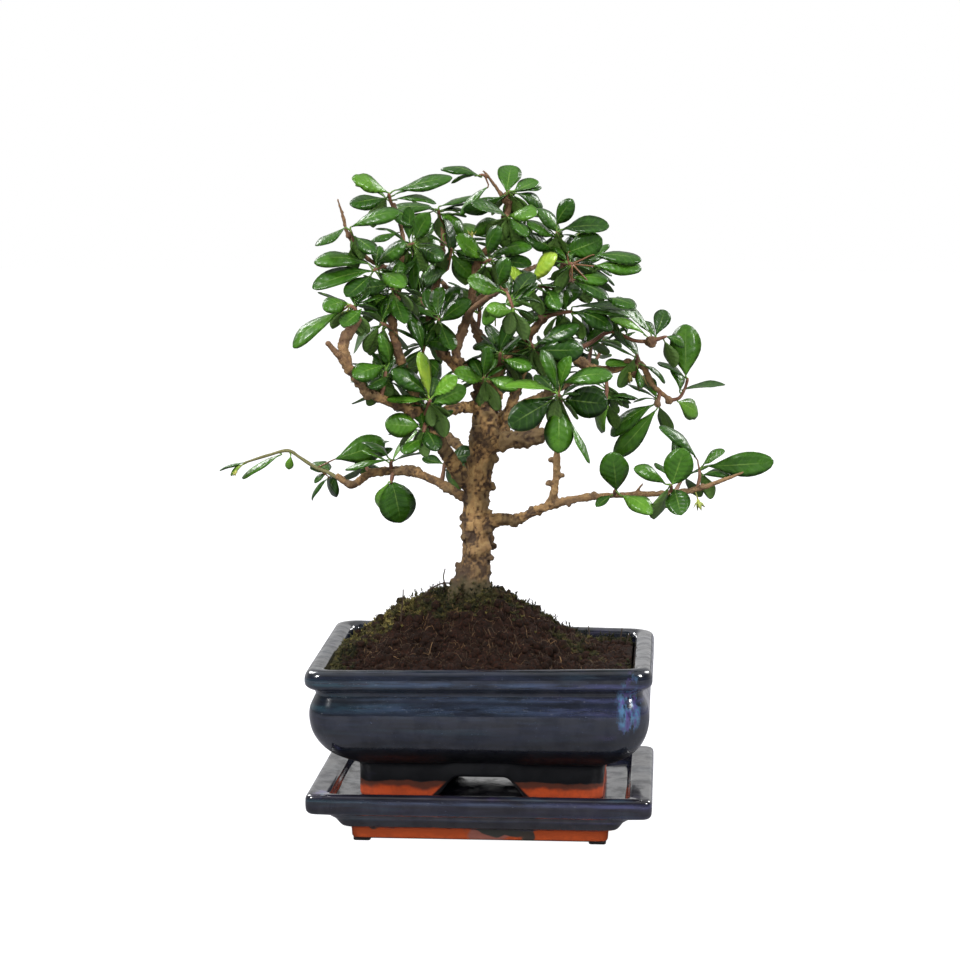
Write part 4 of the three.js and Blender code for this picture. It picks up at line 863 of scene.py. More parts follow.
@dataclass
class Soil:
    """The mound of peat: a bed of clods, crumbs and grains, mossy round the trunk and on its shoulders."""

    edge: float = 74.5
    peak: float = 106.0
    texture: float = 1.1
    crest: tuple[float, float] = (-8.0, 4.0)
    rise: Swell = Swell(24, 6, 13, 15, 2.4)
    left_dip: Swell = Swell(-27, 4, 11, 18, 2.0)
    far_left_dip: Swell = Swell(-58, 12, 15, 26, 3.2)
    by_trunk: Swell = Swell(-4, 4, 44, 22)
    bare_front: Swell = Swell(2, -36, 44, 17)
    spread_left: float = 50.0
    spread_right: float = 38.0
    spread_deep: float = 31.0
    half_length: float = 65.4
    half_depth: float = 50.9
    floor: float = 34.5
    clod: float = 5.6
    crumb: float = 2.6
    grain: float = 1.3
    lumps: int = 1900
    rings: int = 84
    seed: int = 71

    def mound(self, x: Array, y: Array) -> Array:
        """The mound's height: a bell, wider on its left, with low crossing waves, a swell and dips.

        Args:
            x: Places along the pot, from its middle.
            y: Places across the pot, from its middle.

        Returns:
            The height at each place.
        """
        spread = np.where(x < self.crest[0], self.spread_left, self.spread_right)
        bell = Swell(*self.crest, spread, self.spread_deep).at(x, y)
        waves = np.sin(x * 0.83 + y * 0.31) * np.sin(y * 0.94 - x * 0.22 + 1.3)
        right = self.rise.at(x, y)
        left = self.left_dip.at(x, y) + self.far_left_dip.at(x, y)
        left += 3.0 * smoothstep(-48, -62, x) * smoothstep(-22, 10, y)
        behind = 1.3 * smoothstep(18, 40, y)
        return self.edge + (self.peak - self.edge) * bell + self.texture * waves * 0.5 + right - left - behind

    def crumbs(self, x: Array, y: Array) -> Array:
        """The depth of the crumb at a place: coarse clods, then crumbs, then grains, each a smooth noise.

        Args:
            x: Places along the pot, from its middle.
            y: Places across the pot, from its middle.

        Returns:
            The depth at each place.
        """
        flat = np.stack([x, y, np.zeros_like(x)], axis=-1)
        clods = layered_noise(flat, self.clod, 2, Seed.CLODS)
        crumbs = smooth_noise(flat, self.crumb, Seed.CRUMBS)
        grains = smooth_noise(flat, self.grain, Seed.GRAINS)
        return 2.0 * clods + 1.2 * crumbs + 0.6 * grains

    def mossiness(self, x: Array, y: Array) -> Array:
        """How mossy a place is, from 0 to 1: round the trunk, along the left shoulder and in patches.

        Args:
            x: Places along the pot, from its middle.
            y: Places across the pot, from its middle.

        Returns:
            The share of moss at each place.
        """
        flat = np.stack([x, y, np.zeros_like(x)], axis=-1)
        patches = layered_noise(flat, 15.0, 3, Seed.MOSS)
        near_trunk = self.by_trunk.at(x, y)
        shoulder = smoothstep(-22, -50, x) * np.exp(-(((y + 8) / 24) ** 2))
        behind = smoothstep(2, 22, y)
        bare = self.bare_front.at(x, y)
        rim = smoothstep(-50, -62, x)
        share = 0.95 * near_trunk + 0.72 * shoulder + 0.5 * (behind + rim) + 0.85 * patches
        share = share - 0.7 * bare * (1 - rim)
        return smoothstep(0.15, 0.6, share)

    def surface(self) -> tuple[Array, Array, Array]:
        """The soil's top as rings that shrink from the pot's wall to the middle, over a plain body.

        Returns:
            The points, the triangles and each point's mossiness.
        """
        layout = RoundedBox(10, 62)
        share = np.linspace(1, 0.012, self.rings)
        a, b = self.half_length, self.half_depth
        radius = 5 * (1 - share) + 5
        profile = np.stack([a * share, b * share, np.full_like(share, self.edge), radius * share], axis=-1)
        body = [
            (8, 6, self.floor, 2), (47.4, 31.4, self.floor, 5), (58, 43.5, 42, 7), (64, 49.5, 48, 7),
            (a, b, 60, 7),
        ]
        rings = np.vstack([np.array(body, float), profile])
        points, faces = wall_surface(rings, layout, (0.0, 0.0))
        top = points[:, 2] >= self.edge - 1e-6
        x, y = points[:, 0], points[:, 1]
        inset = 1 - np.maximum(np.abs(x) / a, np.abs(y) / b)
        calm = smoothstep(0.0, 0.03, inset)
        height = self.mound(x, y) + self.crumbs(x, y) * (0.35 + 0.65 * calm)
        points[:, 2] = np.where(top, height, points[:, 2])
        moss = self.mossiness(x, y)
        points[:, :2] += np.array(pot_middle())
        return points, faces, moss

    def scatter(self, count: int, draw: np.random.Generator, reach: float = 0.96) -> tuple[Array, Array]:
        """Random places on the soil, as x and y from the pot's middle, inside the pot's wall.

        Args:
            count: How many places.
            draw: The source of the draws.
            reach: The share of the soil's half sizes that is used.

        Returns:
            The x and the y of each place.
        """
        x = draw.uniform(-1, 1, count) * self.half_length * reach
        y = draw.uniform(-1, 1, count) * self.half_depth * reach
        return x, y

    def on_top(self, x: Array, y: Array) -> Array:
        """The surface's points over places counted from the pot's middle.

        Args:
            x: Places along the pot, from its middle.
            y: Places across the pot, from its middle.

        Returns:
            Rows of x, y and z.
        """
        z = self.mound(x, y) + self.crumbs(x, y)
        middle = pot_middle()
        return np.stack([x + middle[0], y + middle[1], z], axis=-1)

    def build(self, material: bpy.types.Material) -> bpy.types.Object:
        """Makes the bed of soil and dresses it.

        Args:
            material: What the piece is made of.

        Returns:
            The finished piece.
        """
        points, faces, moss = self.surface()
        parts = Parts()
        parts.add(points, faces, moss=moss)
        self.add_lumps(parts)
        return finish_piece(parts.build("soil_bed"), Slot.SOIL, material, "soil")

    def add_lumps(self, parts: Parts) -> None:
        """Adds loose crumbs of peat: small balls with noise on their radius, half sunk.

        Args:
            parts: Gathers the shapes.
        """
        draw = np.random.default_rng(self.seed)
        x, y = self.scatter(self.lumps, draw)
        size = 0.5 + 1.9 * draw.random(self.lumps) ** 3
        centres = self.on_top(x, y)
        centres[:, 2] += size * 0.15
        polar = np.linspace(0, np.pi, 5)[1:-1]
        ball, ball_faces = unit_ball(polar, 6)
        moss = self.mossiness(x, y)
        for index in range(len(x)):
            rough = 1 + 0.5 * smooth_noise(ball + index * 3.1, 0.7, Seed.LUMP)[:, None]
            parts.add(centres[index] + ball * rough * size[index], ball_faces, moss=0.6 * moss[index])


def unit_ball(polar: Array, sides: int) -> tuple[Array, Array]:
    """A ball of radius one: rings at the given polar angles, closed by a point above and below.

    Args:
        polar: The rings' angles from the pole above, in radians.
        sides: Points round each ring.

    Returns:
        The points and the triangles.
    """
    turn = np.arange(sides) * 2 * np.pi / sides
    x = np.sin(polar)[:, None] * np.cos(turn)
    y = np.sin(polar)[:, None] * np.sin(turn)
    z = np.broadcast_to(np.cos(polar)[:, None], x.shape)
    rings = np.stack([x, y, z], axis=-1).reshape(-1, 3)
    points = np.vstack([rings, [[0, 0, 1], [0, 0, -1]]])
    body = grid_faces(len(polar), sides)
    first = np.arange(sides)
    after = (first + 1) % sides
    high, low = len(rings), len(rings) + 1
    last = (len(polar) - 1) * sides
    top = np.stack([first, after, np.full(sides, high)], axis=-1)
    bottom = np.stack([last + after, last + first, np.full(sides, low)], axis=-1)
    return points, np.vstack([body, top, bottom])


def spikes(root: Array, out: Array, side: Array, length: Array) -> tuple[Array, Array]:
    """One slim four-sided spike for each root, widest at a third of its length and pointed at both ends.

    Args:
        root: Where each spike starts.
        out: The way each spike points.
        side: A direction across each spike.
        length: Each spike's length.

    Returns:
        Five points for each spike, and the triangles.
    """
    reach = length[:, None]
    width = 0.2 * reach
    keel = np.cross(out, side)
    base = root - out * 0.3 * reach
    waist = root + out * 0.35 * reach
    ends = np.stack(
        [base, waist + side * width, waist + keel * width * 0.7, waist - side * width, root + out * reach],
        axis=1,
    )
    pattern = np.array([[0, 2, 1], [0, 3, 2], [0, 1, 3], [4, 1, 2], [4, 2, 3], [4, 3, 1]])
    faces = (pattern[None] + 5 * np.arange(len(root))[:, None, None]).reshape(-1, 3)
    return ends.reshape(-1, 3), faces


@dataclass
class Moss:
    """Cushions of moss and taller sprigs: every leaflet is a spike, and the moss climbs the trunk's foot."""

    soil: Soil
    bark: Array
    tries: int = 8400
    leaflets: int = 6
    sprigs: int = 340
    sprig_tiers: int = 8
    tier_turn: float = 2.4
    climb_share: float = 0.32
    foot: tuple[float, float] = (94.0, 111.0)
    seed: int = 83

    def climbing(self, draw: np.random.Generator) -> Array:
        """Places on the trunk's foot, closer together towards the ground.

        Args:
            draw: The source of the draws.

        Returns:
            Rows of x, y and z.
        """
        low, high = self.foot
        share = (high - self.bark[:, 2]) / (high - low)
        near = self.bark[(share > 0) & (share < 1)]
        keep = draw.random(len(near)) < self.climb_share * smoothstep(high, low, near[:, 2])
        return near[keep]

    def rosettes(self, parts: Parts, root: Array, size: Array, draw: np.random.Generator) -> None:
        """Adds a rosette of leaflets on each root, turned evenly round it with a lean of its own for each.

        Args:
            parts: Gathers the shapes.
            root: Where each one starts.
            size: The length of each root's leaflets.
            draw: The source of the draws.
        """
        count = len(root)
        shade = draw.random(count)
        turn = draw.uniform(0, 2 * np.pi, count)
        for leaflet in range(self.leaflets):
            angle = turn + leaflet * 2 * np.pi / self.leaflets + draw.uniform(-0.4, 0.4, count)
            lean = draw.uniform(0.35, 1.25, count)
            self.leaflet(parts, root, angle, lean, size, shade)

    def leaflet(
        self, parts: Parts, root: Array, angle: Array, lean: Array, size: Array, shade: Array
    ) -> None:
        """Adds one leaflet on each root, turned by an angle round the vertical and leaning away from it.

        Args:
            parts: Gathers the shapes.
            root: Where each one starts.
            angle: Each leaflet's turn round the vertical, in radians.
            lean: Each leaflet's lean from the vertical, in radians.
            size: Each leaflet's length.
            shade: Each leaflet's shade, from 0 to 1.
        """
        level = np.zeros_like(angle)
        flat = np.stack([np.cos(angle), np.sin(angle), level], axis=-1)
        side = np.stack([-np.sin(angle), np.cos(angle), level], axis=-1)
        out = flat * np.sin(lean)[:, None] + np.array([0.0, 0.0, 1.0]) * np.cos(lean)[:, None]
        points, faces = spikes(root, out, side, size)
        parts.add(points, faces, shade=np.repeat(shade, 5))

    def add_sprigs(self, parts: Parts, draw: np.random.Generator) -> None:
        """Adds taller sprigs: leaflets in tiers up a leaning stem, each tier turned on from the last.

        Args:
            parts: Gathers the shapes.
            draw: The source of the draws.
        """
        x, y = self.soil.scatter(self.sprigs * 3, draw)
        keep = np.argsort(-self.soil.mossiness(x, y) - 0.4 * draw.random(len(x)))[:self.sprigs]
        root = self.soil.on_top(x[keep], y[keep])
        height = draw.uniform(1.6, 4.6, self.sprigs)
        slope = draw.normal(0, 0.35, (2, self.sprigs))
        stem = unit(np.stack([slope[0], slope[1], np.ones(self.sprigs)], axis=-1))
        shade = draw.random(self.sprigs)
        turn = draw.uniform(0, 2 * np.pi, self.sprigs)
        for tier in range(self.sprig_tiers):
            place = root + stem * (height * (tier + 0.5) / self.sprig_tiers)[:, None]
            size = draw.uniform(1.1, 1.9, self.sprigs)
            lean = draw.uniform(0.3, 0.9, self.sprigs)
            self.leaflet(parts, place, turn + tier * self.tier_turn, lean, size, shade * 0.6)

    def build(self, material: bpy.types.Material) -> bpy.types.Object:
        """Makes the moss where the soil is mossy and dresses it.

        Args:
            material: What the piece is made of.

        Returns:
            The finished piece.
        """
        draw = np.random.default_rng(self.seed)
        x, y = self.soil.scatter(self.tries, draw, 0.985)
        keep = self.soil.mossiness(x, y) * 0.85 > draw.random(self.tries)
        root = self.soil.on_top(x[keep], y[keep])
        crest = smoothstep(80, 100, root[:, 2])
        parts = Parts()
        size = draw.uniform(0.8, 2.1, len(root)) * (1 + 0.6 * crest * draw.random(len(root)))
        self.rosettes(parts, root, size, draw)
        climbers = self.climbing(draw)
        self.rosettes(parts, climbers, draw.uniform(0.8, 2.0, len(climbers)), draw)
        self.add_sprigs(parts, draw)
        return finish_piece(parts.build("moss"), Slot.SOIL, material)


@dataclass
class Fibres:
    """Pale root fibres that lie on the peat, and a few dark wiry stalks that stand or arch over it."""

    soil: Soil
    count: int = 1100
    stations: int = 7
    seed: int = 97
    stalks: tuple[tuple[tuple[float, float, float], ...], ...] = (
        ((-19, 103, -2), (-18.6, 107, -2), (-19.2, 110, -1), (-18.4, 114, -1)),
        ((-12, 105, -3), (-17, 107.5, -5), (-23, 106, -8), (-29, 101, -11)),
        ((-38.4, 89, -9), (-37.9, 95, -9), (-37.3, 101, -9), (-37.2, 104.5, -9)),
        ((46, 78, 22), (46.3, 84, 22), (45.8, 88, 23)),
        ((60, 76, 26), (60.4, 83, 26), (61, 87, 26)),
        ((62.5, 76, 27), (63.5, 82, 27), (64.5, 84.5, 27)),
    )

    def lie(self, draw: np.random.Generator) -> Array:
        """The line of one fibre: a short wandering curve on the ground that lifts a little at its ends.

        Args:
            draw: The source of the draws.

        Returns:
            Rows of x, y and z.
        """
        start_x, start_y = (value[0] for value in self.soil.scatter(1, draw, 0.85))
        heading = draw.uniform(0, 2 * np.pi) + np.cumsum(draw.normal(0, 0.45, self.stations))
        step = draw.uniform(0.3, 1.4)
        x = np.clip(start_x + np.cumsum(np.cos(heading)) * step, -62, 62)
        y = np.clip(start_y + np.cumsum(np.sin(heading)) * step, -48, 48)
        lift = 0.5 + draw.uniform(0, 1.6) * np.linspace(-1, 1, self.stations) ** 2
        line = self.soil.on_top(x, y)
        line[:, 2] += lift
        line[0, 2] -= 1.6
        return line

    def build(self, material: bpy.types.Material) -> bpy.types.Object:
        """Makes the fibres and stalks as thin tapering tubes and dresses them.

        Args:
            material: What the piece is made of.

        Returns:
            The finished piece.
        """
        draw = np.random.default_rng(self.seed)
        parts = Parts()
        for _ in range(self.count):
            line = self.lie(draw)
            radius = draw.uniform(0.06, 0.15) * np.linspace(1, 0.5, len(line))
            points, faces = swept_tube(line, radius, 3)
            parts.add(points, faces, pale=0.1 + 0.75 * draw.random() ** 6)
        for stations in self.stalks:
            line = Curve(SIGHT.seen(np.array(stations, float))).by_length(np.linspace(0, 1, 9))
            points, faces = swept_tube(line, np.linspace(0.4, 0.27, 9), 5)
            parts.add(points, faces, pale=0.05)
        return finish_piece(parts.build("root_fibres"), Slot.SOIL, material)


Rows = tuple[tuple[float, ...], ...]

LIMBS: dict[str, Rows] = {
    "trunk": (
        (-6.5, 88, 0, 9.4), (-6, 98, 0, 8.4), (-5.5, 108, 0, 7.5), (-4.3, 120, 0, 6.6),
        (-4.5, 130, 0, 6.3), (-4.8, 140, 0, 5.9), (-4, 150, 1, 5.6), (-2.5, 160, 1, 5.5),
        (-1, 170, 1, 5.5), (-0.5, 180, 1, 5.6), (0, 190, 0, 5.6), (0, 199, 0, 4.4), (-1, 206, 0, 2.6),
    ),
    "root_left": ((-7, 112, -2, 3.4), (-12.5, 108, -4, 3.2), (-15.5, 99, -6, 2.6), (-18, 92, -7, 2)),
    "root_right": ((-3, 104, 3, 3.4), (4, 99, 7, 2.8), (11, 90, 10, 2)),
    "leader": (
        (-2, 196, 0, 3), (-8, 203, 1, 2.4), (-13.5, 209, 2, 2.1), (-10, 221, 4, 2), (-7, 232, 6, 1.9),
        (-5, 242, 7, 1.9), (-3, 252, 8, 1.8), (3, 259, 8, 1.7), (7, 267, 8, 1.6), (10, 276, 7, 1.5),
        (9, 281.5, 6, 1.1),
    ),
    "leader_left_tip": ((9, 276, 7, 1.1), (4, 284, 5, 0.9), (-1.5, 291, 3, 0.7)),
    "leader_right_tip": ((9.5, 278, 7, 1), (14, 283, 9, 0.8), (16, 286.5, 10, 0.6)),
    "leader_back": (
        (-7, 232, 6, 1.6), (6, 240, 18, 1.5), (18, 247, 31, 1.3), (28, 251, 43, 1), (36, 253, 52, 0.8),
    ),
    "left_upright": (
        (-9, 201, 2, 2.6), (-17, 208, 6, 2.3), (-25, 220, 12, 2.1), (-24, 230, 15, 2),
        (-22, 241, 17, 1.8), (-20, 252, 19, 1.6), (-19, 262, 21, 1.3), (-20, 270, 22, 1),
    ),
    "left_limb": (
        (-6, 149, -1, 3.4), (-12, 157, -5, 3.4), (-16, 163, -9, 3.3), (-20, 170, -14, 3),
        (-24, 177, -19, 3), (-30, 183, -24, 2.6), (-40, 187.5, -30, 2.1), (-52, 193, -38, 2.1),
        (-59, 201, -43, 2), (-63, 207, -46, 1.8), (-71, 215.5, -50, 1.2),
    ),
    "left_link": ((-4, 187, -1, 3.2), (-15, 185.5, -10, 2.4), (-22, 182.5, -17, 2.2), (-27, 180, -21, 2)),
    "left_riser": (
        (-30, 184, -24, 2.4), (-34, 197, -27, 2.3), (-38, 207, -28, 2.2), (-41, 219, -26, 2),
        (-41, 229, -22, 1.8), (-39, 241, -16, 1.6), (-37.5, 252, -9, 1.4), (-37, 263, -3, 1.2),
        (-41, 277, 2, 0.9),
    ),
    "left_stub": (
        (-61, 205, -44.5, 1.9), (-63.5, 214, -43, 2.4), (-60, 221, -40, 1.9), (-56, 226, -38, 1.2),
    ),
    "left_twig": (
        (-38, 247, -13, 1.2), (-46, 249, -18, 1.1), (-52, 252, -22, 1.1), (-58, 258, -25, 1),
        (-61.5, 264, -27, 0.9), (-63, 270, -28, 0.8), (-65.5, 278.5, -30, 0.6),
    ),
    "low_left_limb": (
        (-6, 144, 0, 2.6), (-12, 147.5, 4, 2.2), (-22, 153, 11, 1.9), (-34, 158, 19, 2.2),
        (-42, 158, 24, 2), (-52, 156.5, 29, 1.9), (-60, 151.8, 33, 2), (-67, 156, 36, 1.4),
    ),
    "low_right_limb": (
        (-3, 132, -1, 3.8), (5, 136, -4, 3.3), (14, 136.5, -8, 2.3), (27, 142, -13, 2.1),
        (40, 145.3, -18, 1.7), (58, 147, -24, 1.4), (78, 147.8, -30, 1.3), (93, 149.5, -34, 1.3),
        (106, 154, -37, 1), (115, 157.5, -39, 0.7),
    ),
    "low_right_spur": ((66, 147.5, -26.5, 0.8), (70, 152.5, -29, 0.6)),
    "shoot": (
        (27, 141, -13, 2.2), (30, 147, -15, 1.9), (31, 155, -18, 1.5), (31.5, 167, -23, 1.4),
        (32, 178, -28, 1.3), (33, 191, -33, 1.4),
    ),
    "cut_stub": ((0, 168, -1, 3.4), (8, 171.5, -4, 3.4), (16, 172.5, -8, 3.6), (24.5, 173.5, -12, 3)),
    "cut_stub_spur": ((20, 174, -10, 1.6), (24, 181, -13, 1.1)),
    "right_second": (
        (3, 170, 2, 3), (7, 175, 4, 2.7), (11, 187, 6, 2.5), (15, 200, 8, 2.4), (16.5, 212, 9, 2.1),
        (20, 219, 9, 1.3),
    ),
    "right_leader": (
        (0, 199, 0, 3.6), (7, 207, 2, 3.2), (12, 213, 4, 2.9), (19, 219, 6, 2.2), (25, 226, 5, 1.8),
        (33, 242, 2, 1.8), (34, 252, 2, 1.3), (32, 264, 3, 1),
    ),
    "right_limb": (
        (14, 209, 7, 2.4), (25, 212, 11, 2.2), (35, 211, 15, 2.1), (45, 204.5, 19, 2.1),
        (54, 203, 23, 2.1), (64, 205.5, 27, 2.1), (69, 205, 29, 1.8), (74, 196, 31, 1.4),
        (83, 189, 33, 1.1),
    ),
    "back_left": (
        (-5, 156, 3, 2.8), (-9, 165, 16, 2.5), (-18, 174, 31, 2.1), (-30, 183, 46, 1.6),
        (-41, 191, 58, 1),
    ),
    "back_right": (
        (0, 176, 4, 2.8), (10, 184, 18, 2.4), (24, 191, 33, 2), (38, 198, 46, 1.5), (48, 206, 57, 1),
    ),
    "back_upper": (
        (0, 192, 4, 2.6), (1, 207, 18, 2.2), (-5, 222, 31, 1.8), (-14, 236, 43, 1.4),
        (-24, 246, 52, 0.9),
    ),
    "front_upper": (
        (-9.5, 224, 8, 1.7), (-8.5, 226, 0, 1.6), (-6, 230, -14, 1.4), (2, 236, -33, 1.2),
        (9, 239, -56, 0.8),
    ),
}


@dataclass(frozen=True)
class Knob:
    """A knot, bud scar or callus: a lump seen at (across, up, back) with its radius, all in millimetres."""

    across: float
    up: float
    back: float
    radius: float


KNOBS = (
    Knob(-12, 112, -3, 2.5), Knob(-12.8, 115.5, -2, 1.5), Knob(2, 119, -4, 1.7), Knob(-9.5, 128, -4, 2.1),
    Knob(1.5, 132, -4, 2), Knob(-10.5, 137, -1, 1.9), Knob(-9, 146, -3, 2.2), Knob(2.5, 151, -3, 1.8),
    Knob(-7, 163, -2, 2), Knob(4, 164, -2, 1.8), Knob(-5, 177, -3, 1.9), Knob(5.5, 186, -2, 1.9),
    Knob(-5, 192, -2, 2.2), Knob(3, 124, 5, 2), Knob(-6, 142, 5, 2), Knob(-3, 158, 5, 2.1),
    Knob(2, 172, 5, 2),
    Knob(28, 152.5, -16, 1.5), Knob(34, 156, -19, 1.3), Knob(28.5, 163, -21, 1.3), Knob(33, 171, -25, 1.1),
    Knob(25, 226, 3.5, 2.5), Knob(33, 243, 1.5, 2.9), Knob(35, 246, 1, 1.8), Knob(73, 215, 13.5, 2.4),
    Knob(76, 188, 26, 2), Knob(81, 189, 32, 1.7), Knob(24, 174, -12, 2.9), Knob(18, 170.5, -9, 1.9),
    Knob(66, 201, 27, 2.2), Knob(54, 202, 22, 2), Knob(42, 206, 18, 1.9), Knob(-52, 192, -38.5, 2),
    Knob(-40, 186.5, -30.5, 1.9), Knob(-33, 183, -26, 2.2), Knob(-59, 202, -43.5, 1.8),
    Knob(-63, 217, -43, 2.1),
    Knob(-39, 212, -28, 2), Knob(-42, 226, -23, 1.9), Knob(-36, 258, -6, 1.6), Knob(-60.5, 151.5, 32, 2.1),
    Knob(-34, 159, 18, 2), Knob(-44, 157.5, 24, 1.8), Knob(13, 134.5, -8, 1.9), Knob(20, 140.5, -10, 1.7),
    Knob(37, 143, -18, 1.5), Knob(48, 147.5, -21, 1.3), Knob(66, 147, -27, 1.2), Knob(96, 151, -35, 1.5),
    Knob(-10, 222, 3.5, 1.9), Knob(-6, 243, 6, 1.8), Knob(8, 270, 7, 1.9), Knob(10, 277, 6, 1.8),
    Knob(-23, 236, 15, 1.7), Knob(-19, 255, 19, 1.6), Knob(16, 206, 8, 2), Knob(-61, 262.5, -27, 1.5),
)


@dataclass
class Wood:
    """The trunk and its limbs, grown together: tubes and knots, melted into one skin of rough bark."""

    skin_cell: float = 0.58
    melt_rounds: int = 3
    station_gap: float = 1.3
    sides: int = 14
    knob_seed: int = 19
    at_once: int = 4000
    skin: Array | None = None

    def limb_line(self, name: str) -> tuple[Array, Array]:
        """The middle line and the radius of a limb at close, even steps along it.

        Args:
            name: The limb's name.

        Returns:
            The line's points and the radius at each.
        """
        rows = np.array(LIMBS[name], float)
        curve = Curve(SIGHT.seen(rows))
        steps = max(4, round(curve.length / self.station_gap))
        parameter = curve.parameter(np.linspace(0, 1, steps + 1))
        radius = np.interp(parameter * (len(rows) - 1), np.arange(len(rows)), rows[:, 3])
        return curve.at(parameter), radius

    def shapes(self) -> Parts:
        """All tubes and knots, still overlapping.

        Returns:
            The shapes.
        """
        parts = Parts()
        for name in LIMBS:
            line, radius = self.limb_line(name)
            bumps = 1 + 0.07 * smooth_noise(line, 6.0, Seed.LIMB_COARSE)
            bumps = bumps + 0.05 * smooth_noise(line, 2.6, Seed.LIMB_FINE)
            points, faces = swept_tube(line, radius * bumps, self.sides)
            parts.add(points, faces)
        ball, faces = unit_ball(np.linspace(0, np.pi, 9)[1:-1], 12)
        for number, knob in enumerate(KNOBS):
            centre = SIGHT.seen(np.array([knob.across, knob.up, knob.back]))
            rough = 1 + 0.22 * smooth_noise(ball + 5.0 * number, 0.9, Seed.KNOB)[:, None]
            parts.add(centre + ball * rough * knob.radius, faces)
        self.add_scars(parts)
        return parts

    def add_scars(self, parts: Parts) -> None:
        """Adds many small bud scars at drawn places on every limb: lumps that stand half out of its side.

        Args:
            parts: Gathers the shapes.
        """
        draw = np.random.default_rng(self.knob_seed)
        ball, faces = unit_ball(np.linspace(0, np.pi, 7)[1:-1], 9)
        for name in LIMBS:
            line, radius = self.limb_line(name)
            inner = np.arange(2, len(line) - 1)
            picks = draw.choice(inner, size=max(2, len(inner) // 4))
            for pick in picks:
                tangent = unit(line[min(pick + 1, len(line) - 1)] - line[pick - 1])
                side = unit(np.cross(tangent, draw.normal(size=3)))
                size = radius[pick] * draw.uniform(0.24, 0.42) + 0.25
                parts.add(line[pick] + side * radius[pick] * 0.92 + ball * size, faces)

    def nearest(self, points: Array) -> tuple[Array, Array, Array]:
        """For each point the nearest place on a limb.

        Args:
            points: Rows of x, y and z in millimetres.

        Returns:
            The limb's radius there, how far along the limb it lies, and the limb's direction.
        """
        centres, radii, along, tangents = [], [], [], []
        for name in LIMBS:
            line, radius = self.limb_line(name)
            steps = np.linalg.norm(np.diff(line, axis=0), axis=1)
            centres.append(line)
            radii.append(radius)
            along.append(np.concatenate([[0], np.cumsum(steps)]))
            tangents.append(unit(np.gradient(line, axis=0)))
        centre = np.vstack(centres)
        radius = np.concatenate(radii)
        best = np.empty(len(points), int)
        for low in range(0, len(points), self.at_once):
            block = points[low:low + self.at_once]
            square = (block**2).sum(1)[:, None] - 2 * block @ centre.T + (centre**2).sum(1)
            gaps = np.sqrt(np.maximum(square, 0)) - radius
            best[low:low + self.at_once] = np.argmin(gaps, axis=1)
        return radius[best], np.concatenate(along)[best], np.vstack(tangents)[best]

    def bark_height(self, points: Array, radius: Array, along: Array, tangent: Array) -> Array:
        """The height of the bark over the smooth wood, in millimetres.

        It is a sum of layered noises: broad knots, crusty plates that are drawn out along the limb, and
        grain. Each grows with the limb's radius, so that young wood stays nearly smooth.

        Args:
            points: Rows of x, y and z in millimetres.
            radius: The wood's radius at each point.
            along: How far along its limb each point lies, in millimetres.
            tangent: The direction of the limb at each point.

        Returns:
            The height of the bark at each point.
        """
        growth = smoothstep(0.3, 3.6, radius)
        across = points - tangent * (points * tangent).sum(1)[:, None]
        drawn_out = across + tangent * (along * 0.45)[:, None]
        knots = np.maximum(layered_noise(points, 6.5, 2, Seed.BARK_KNOTS), 0) ** 1.5
        plates = layered_noise(drawn_out, 2.6, 3, Seed.BARK_PLATES)
        seams = np.abs(smooth_noise(drawn_out, 2.2, Seed.BARK_CRACKS))
        cracks = -np.maximum(0.25 - seams, 0) * 2.6
        grain = smooth_noise(points, 0.9, Seed.BARK_GRAIN)
        burrs = np.maximum(smooth_noise(points, 1.9, Seed.BURRS), 0)
        burrs = burrs + 0.6 * np.maximum(smooth_noise(points, 1.2, Seed.SMALL_BURRS), 0)
        patch = self.burr_patches(points)
        coarse = 1.5 * knots + 0.5 * plates + 0.6 * cracks
        rough = (0.2 + growth) * coarse + (0.4 + 0.6 * growth) * patch * 1.2 * burrs
        return rough + (0.1 + 0.12 * growth) * grain

    def burr_patches(self, points: Array) -> Array:
        """Where the bark is set with small dark burrs, from 0 to 1: in patches a few millimetres wide."""
        return smoothstep(0.02, 0.3, layered_noise(points, 9.0, 2, Seed.BURR_PATCHES))

    def on_knobs(self, points: Array) -> Array:
        """How far a point lies on a knob, from 0 to 1.

        Args:
            points: Rows of x, y and z in millimetres.

        Returns:
            The share of burr at each point.
        """
        most = np.zeros(len(points))
        for knob in KNOBS:
            gap = np.linalg.norm(points - SIGHT.seen(np.array([knob.across, knob.up, knob.back])), axis=1)
            most = np.maximum(most, smoothstep(2.0, 1.25, gap / knob.radius))
        return most

